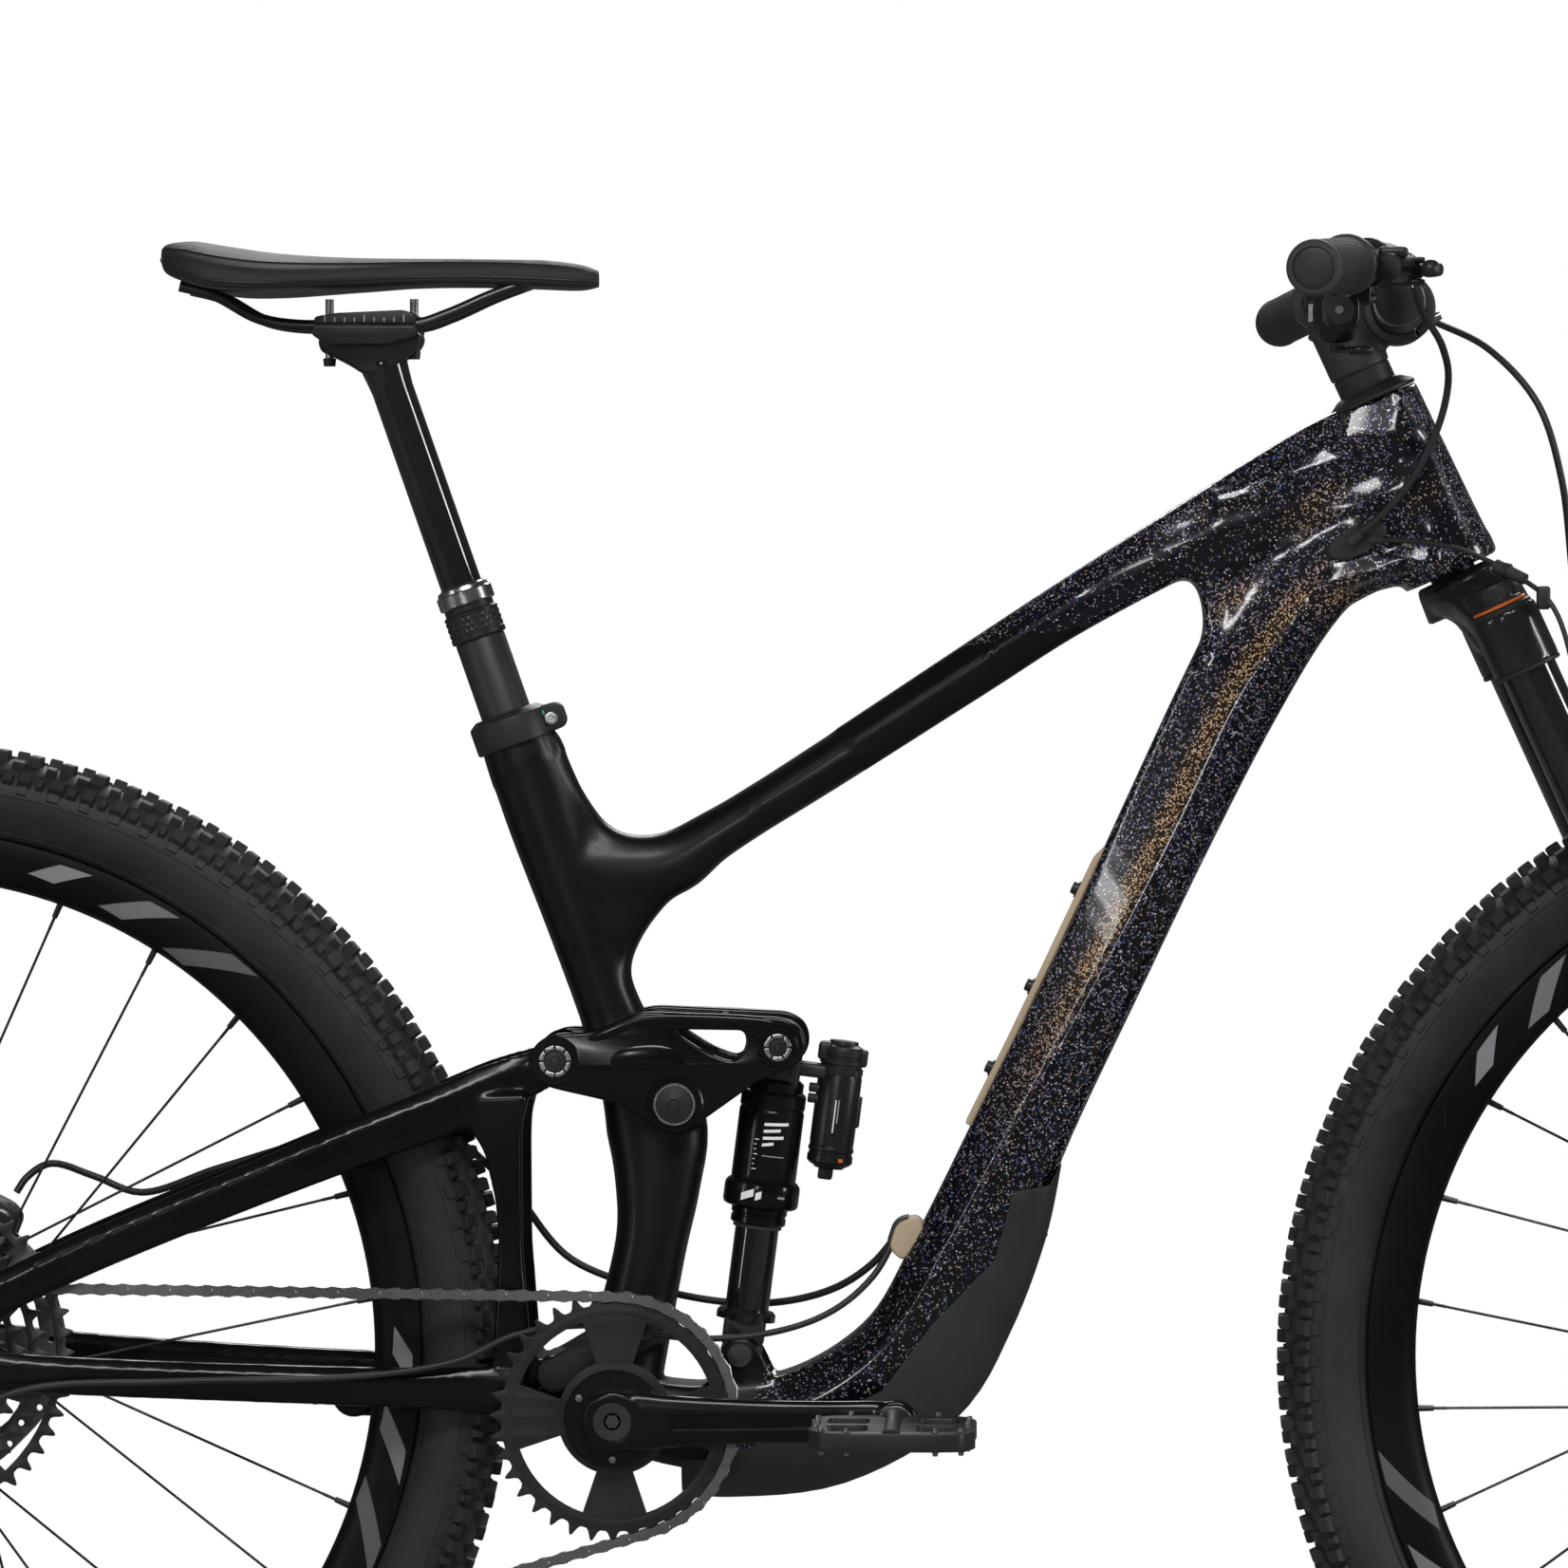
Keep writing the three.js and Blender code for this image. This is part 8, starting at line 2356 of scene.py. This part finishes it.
def buildDerailleur():
    parts = [turnedAcross("bKnuckle", softProfile([(0, -93.8), (8.6, -93.8), (9.8, -92.4), (9.8, -84.8),
        (0, -84.8)], 0.6), hangerAt, look["satinBlack"], 36),
        hexHole("bHex", hangerAt, -93.8, -1, 3.4, look["steel"]),
        crossRod("bShank", hangerAt, 3.9, -86, -74.6, look["steel"], segments=24)]
    links = [[(-594, -90.5, 347, 8.4, 3.6), (-588, -92, 330, 8.6, 3.8), (-580, -89.5, 311, 9, 4),
        (-573.5, -84, 294, 9, 4), (-573, -80, 280, 9, 4)],
        [(-592, -84.8, 340, 6, 2.4), (-584, -82, 322, 7, 2.6), (-574, -76.5, 302, 7.6, 2.8),
        (-569, -71.8, 286, 8, 2.8), (-572, -68.4, 272, 8, 2.6)]]
    for rows in links:
        parts.append(sharpen(ovalTube("link", rows, look["satinBlack"], 20, 3.0, 6, (0, 1, 0)), 40))
    knuckle = ovalTube("k", [(-571.5, -79, 290, 8, 6.4), (-574, -76, 278, 12.4, 7.6),
        (-580, -72, 267, 13.4, 8), (-585, -67, 262, 11.4, 7.6)], None, 24, 2.8, 6, (0, 1, 0))
    drum = turnedAcross("k", [(0, -74.6), (13.4, -74.6), (14.6, -73.2), (14.6, -59.4), (13.8, -58.9),
        (0, -58.9)], guideAt, None, 44)
    knuckle = blendTogether(joinObjects("pKnuckle", [knuckle, drum]), 1.0, 3, 0.5)
    setMaterial(knuckle, look["satinBlack"])
    parts.append(knuckle)
    parts.append(turnedAcross("clutchCap", [(0, -75), (8.6, -75), (9.4, -74.4), (9.4, -73.6), (0, -73.6)],
        guideAt, look["greyAlloy"], 36))
    for k in range(3):
        a = 0.6 + 2 * math.pi * k / 3
        parts.append(hexHole("clutchScrew", onCircle(guideAt, 11.2, a), -74.5, -1, 1.4, look["steel"]))
    for x, y, z in ((-592, -88, 341), (-585, -86, 322), (-572.5, -78, 296), (-573, -76, 281)):
        parts.append(crossRod("pivot", (x, z), 2.6, y - 5.4, y + 5, look["steel"], segments=16))
    parts.append(block("cableArm", -588, -572, -92, -84.5, 322, 334, look["satinBlack"], 2))
    put(joinObjects("derailleurBody", parts), "rear_triangle", "derailleur_body", slot="anodised_black")


def buildCage():
    line = driveFacts["line"]
    (gx, gz), (tx, tz) = guideAt, tensionAt
    parts = []
    for y0, y1 in ((line - 4.6, line - 2.8), (line + 2.8, line + 4.4)):
        outline = [(gx - 14.6, gz + 3), (gx - 8, gz + 13.6), (gx + 7, gz + 13.6), (gx + 14.4, gz + 3),
            (gx + 13, gz - 16), (tx + 11, tz + 34), (tx + 15.6, tz + 9), (tx + 13, tz - 9), (tx, tz - 14.6),
            (tx - 13.4, tz - 8), (tx - 14, tz + 10), (tx - 12, tz + 36), (gx - 12, gz - 22)]
        window = [(gx + 1 - 5, gz - 22), (gx + 1 + 6.5, gz - 22), (tx - 1 + 6.5, tz + 26),
            (tx - 1 - 6.5, tz + 26)]
        parts.append(plate("cagePlate", outline, y0, y1, look["blackAlloy"], [window[::-1]], soft=0.5,
            corner=6))
    for x, z in ((gx, gz), (tx, tz)):
        parts.append(crossRod("jockeyBolt", (x, z), 2.9, line - 4.6, line + 4.4, look["steel"],
            segments=20))
        if (x, z) == (tx, tz):
            parts.append(crossRod("jockeyHead", (x, z), 4.4, line - 4.9, line - 4.4, look["steel"],
                segments=24))
            parts.append(hexHole("jockeyHex", (x, z), line - 4.9, -1, 2, look["rubber"]))
        parts.append(crossRod("jockeyNut", (x, z), 4.2, line + 4.2, line + 4.7, look["steel"], segments=24))
    put(joinObjects("derailleurCage", parts), "cage", "derailleur_cage", slot="anodised_black")


def buildJockeys(pins):
    line = driveFacts["line"]
    for key, body, node in (("guide", "upper_jockey", "upper_jockey_wheel"),
            ("tension", "lower_jockey", "lower_jockey_wheel")):
        x, z, teeth = driveFacts[key]
        phase = ringPhase(pins["cage"], chainWheels[key], teeth)
        radius = pitchRadius(teeth)
        holes = [circleAt((x, z), 3.3, 20)]
        for k in range(6):
            a = math.pi * k / 3
            holes.append(sectorHole((x, z), 9.4, radius - 7.4, a - 0.3, a + 0.3, steps=4))
        parts = [plate("jockey", toothed((x, z), teeth, phase, 2.2), line - 1.0, line + 1.0, look["guard"],
            [h[::-1] for h in holes], soft=0.25, corner=0)]
        for side in (-1, 1):
            band = [(3.3, 0.9), (7.6, 0.9), (7.6, 2), (6.8, 2.3), (3.3, 2.3)]
            parts.append(turnedAcross("bearing", [(r, line + side * t * 0.9) for r, t in band], (x, z),
                look["steel"], 28, closed=True))
        put(joinObjects("jockey" + key.title(), parts), body, node, slot="guard")


# two bolted halves over the disc, with piston caps, pads and their pin
def buildCalliper(name, place, mid, body, node):
    parts = []
    for side in (-1, 1):
        outline = [(-23, -12), (20, -12), (23.6, -6), (22, 10), (14, 14.4), (-14, 14.4), (-22, 9)]
        parts.append(plate("half", outline, mid + side * 2.1, mid + side * 14, look["satinBlack"], soft=1.6,
            place=place, corner=5))
        for x in (-14, 12):
            ring = [(0, 15.6), (6.6, 15.6), (7.4, 15), (8.7, 14.6), (8.7, 13),
                (0, 13)] if side < 0 else [(0, 16.8), (6.6, 16.8), (7.4, 16.2), (8.7, 15.2), (8.7, 13),
                (0, 13)]
            parts.append(turnedAbout("pistonCap", [(r, mid + side * (t - 0.3)) for r, t in ring], place,
                look["greyAlloy"], "y", (x, 0, 2), 32))
        fins = sorted((mid + side * 0.95, mid + side * 2.4))
        parts.append(plate("pad", [(-19, -12.6), (18, -12.6), (18, 6), (-19, 6)], *fins, look["steel"],
            soft=0.2, place=place, corner=3))
    parts.append(plate("bridge", [(-21, 11.3), (-13, 14.7), (13.5, 14.7), (21, 11.3)], mid - 6, mid + 6,
        look["satinBlack"], soft=0.8, place=place, corner=2))
    a, b = place(-1, mid - 14.3, 10), place(-1, mid + 15.2, 10)
    parts.append(rodBetween("padPin", a, b, 2.2, look["steel"], 2.2, 16))
    for x in (-19.5, 18):
        for outer, inner in ((-14.3, -12), (14.8, 12)):
            parts.append(rodBetween("halfBolt", place(x, mid + outer, -7), place(x, mid + inner, -7), 3,
                look["steel"]))
    put(joinObjects(name, parts), body, node, slot="anodised_black")


def turnedPlace(angle, x0, z0, inner=world):
    c, s = math.cos(angle), math.sin(angle)
    return lambda x, y, z: inner(x0 + c * x + s * z, y, z0 - s * x + c * z)


def buildRearAxle():
    x, z = axles["rear"]
    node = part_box("rear_axle")
    parts = [crossRod("rearAxleRod", (x, z), 5.8, -80, 82, look["satinBlack"], segments=32)]
    y1 = node[1][1] * 1000
    head = [(0, y1 - 3.9), (8.6, y1 - 3.9), (8.9, y1 - 3.4), (8.9, y1 - 0.6), (8.2, y1 - 0.1),
        (0, y1 - 0.1)]
    parts.append(turnedAcross("rearAxleHead", head, (x, z), look["satinBlack"], 32))
    parts.append(hexHole("rearAxleHex", (x, z), y1 - 0.1, 1, 3.6, look["steel"]))
    put(joinObjects("rearAxle", parts), "rear_triangle", "rear_axle", slot="anodised_black")


look["chainSteel"] = plainMaterial("chainSteel",
    {"colour": grey(0.28), "second": grey(0.4), "rough": 0.3, "variation": 0.6, "metal": 1.0,
    "scale": 1900.0, "bump": 0.12})
look["gunmetal"] = plainMaterial("gunmetal",
    {"colour": grey(0.08), "second": grey(0.14), "rough": 0.34, "variation": 0.6, "metal": 1.0,
    "scale": 1900.0, "bump": 0.12})
chainPins = buildChain()
buildCassette(chainPins)
buildChainring(chainPins)
buildCranks()
buildPedal(-1)
buildPedal(1)
buildBracket()
buildDerailleur()
buildCage()
buildJockeys(chainPins)
discTurn, mountReach = math.atan2(69, 88), 92
buildCalliper("frontCalliper", turnedPlace(-discTurn, forkFacts["offset"] - mountReach * math.sin(discTurn),
    forkFacts["axle"] + mountReach * math.cos(discTurn), fromSteerer), 40.1, "lowers", "front_calliper")
buildCalliper("rearCalliper", turnedPlace(math.radians(27), -566, 449), 59.1, "rear_triangle",
    "rear_calliper")
buildRearAxle()
print("drivetrain made")


# Stage, camera and light
def buildStage():
    material, net, surface = startMaterial("floor")
    cloud = net.add("TexNoise", {"Vector": net.ground(), "Scale": 1.5, "Detail": 3.0}).outputs[0]
    pale = net.mix(cloud, (0.8, 0.8, 0.8, 1), (0.86, 0.86, 0.86, 1))
    mirrored = net.add("LightPath").outputs["Is Glossy Ray"]
    send(net, net.mix(mirrored, pale, (0.14, 0.14, 0.14, 1)), surface.inputs["Base Color"])
    surface.inputs["Roughness"].default_value = 0.9
    surface.inputs["Specular IOR Level"].default_value = 0.1
    flat = net.add("VectorMath", {0: net.ground()}, operation="LENGTH").outputs["Value"]
    far = net.range(flat, 1.35, 1.85, smooth=True)
    seen = net.math("MULTIPLY", far, net.add("LightPath").outputs["Is Camera Ray"])
    glow = net.add("Emission", {"Color": (1, 1, 1, 1), "Strength": 1.0})
    both = net.add("MixShader", {0: seen, 1: surface.outputs[0], 2: glow.outputs[0]})
    output = next(node for node in net.tree.nodes if node.type == "OUTPUT_MATERIAL")
    net.tree.links.new(both.outputs[0], output.inputs["Surface"])
    floor = makeObject("floor", [(-9000, -9000, 0), (9000, -9000, 0), (9000, 9000, 0), (-9000, 9000, 0)],
        [(0, 1, 2, 3)], material)
    floor.location.z = min(0.0, cadBox[0][2]) - 0.0005

    world = bpy.data.worlds.new("studio")
    bpy.context.scene.world = world
    world.use_nodes = True
    tree = world.node_tree
    tree.nodes.clear()
    net = Net(tree)
    rays = net.add("LightPath").outputs
    seen = net.add("Background", {"Color": (1, 1, 1, 1), "Strength": 1.0})
    ambient = net.add("Background", {"Color": (0.95, 0.96, 1, 1), "Strength": 0.42})
    dim = net.add("Background", {"Color": (0.95, 0.96, 1, 1), "Strength": 0.07})
    lit = net.add("MixShader", {0: rays["Is Glossy Ray"], 1: ambient.outputs[0], 2: dim.outputs[0]})
    choose = net.add("MixShader", {0: rays["Is Camera Ray"], 1: lit.outputs[0], 2: seen.outputs[0]})
    output = net.add("OutputWorld")
    tree.links.new(choose.outputs[0], output.inputs["Surface"])

    lamps = {
        "key": {"at": (0.1, -3.5, 3.7), "size": (2.6, 1.0), "power": 110},
        "strip": {"at": (-0.95, -4.2, 1.35), "size": (0.3, 0.5), "power": 10},
        "left": {"at": (-3.5, -2.3, 1.4), "size": (0.14, 2.6), "power": 16},
        "right": {"at": (4.2, -1.0, 1.5), "size": (0.6, 2.2), "power": 60},
        "back": {"at": (0.3, 3.4, 3.2), "size": (3.0, 1.2), "power": 90}
    }
    for name, facts in lamps.items():
        light = bpy.data.lights.new(name, "AREA")
        light.shape = "RECTANGLE"
        light.size, light.size_y = facts["size"]
        light.energy = facts["power"]
        lamp = bpy.data.objects.new(name, light)
        bpy.context.scene.collection.objects.link(lamp)
        lamp.location = facts["at"]
        aim = Vector((0, 0, 0.65)) - lamp.location
        lamp.rotation_euler = aim.to_track_quat("-Z", "Y").to_euler()

    camera = bpy.data.cameras.new("camera")
    camera.sensor_width = 36
    camera.lens = 170
    holder = bpy.data.objects.new("camera", camera)
    bpy.context.scene.collection.objects.link(holder)
    holder.location = (0.12, -4.5, 0.82)
    aim = Vector((-0.067, 0, 0.718)) - holder.location
    holder.rotation_euler = aim.to_track_quat("-Z", "Y").to_euler()
    bpy.context.scene.camera = holder
    view = bpy.context.scene.view_settings
    view.view_transform = "Standard"


buildStage()
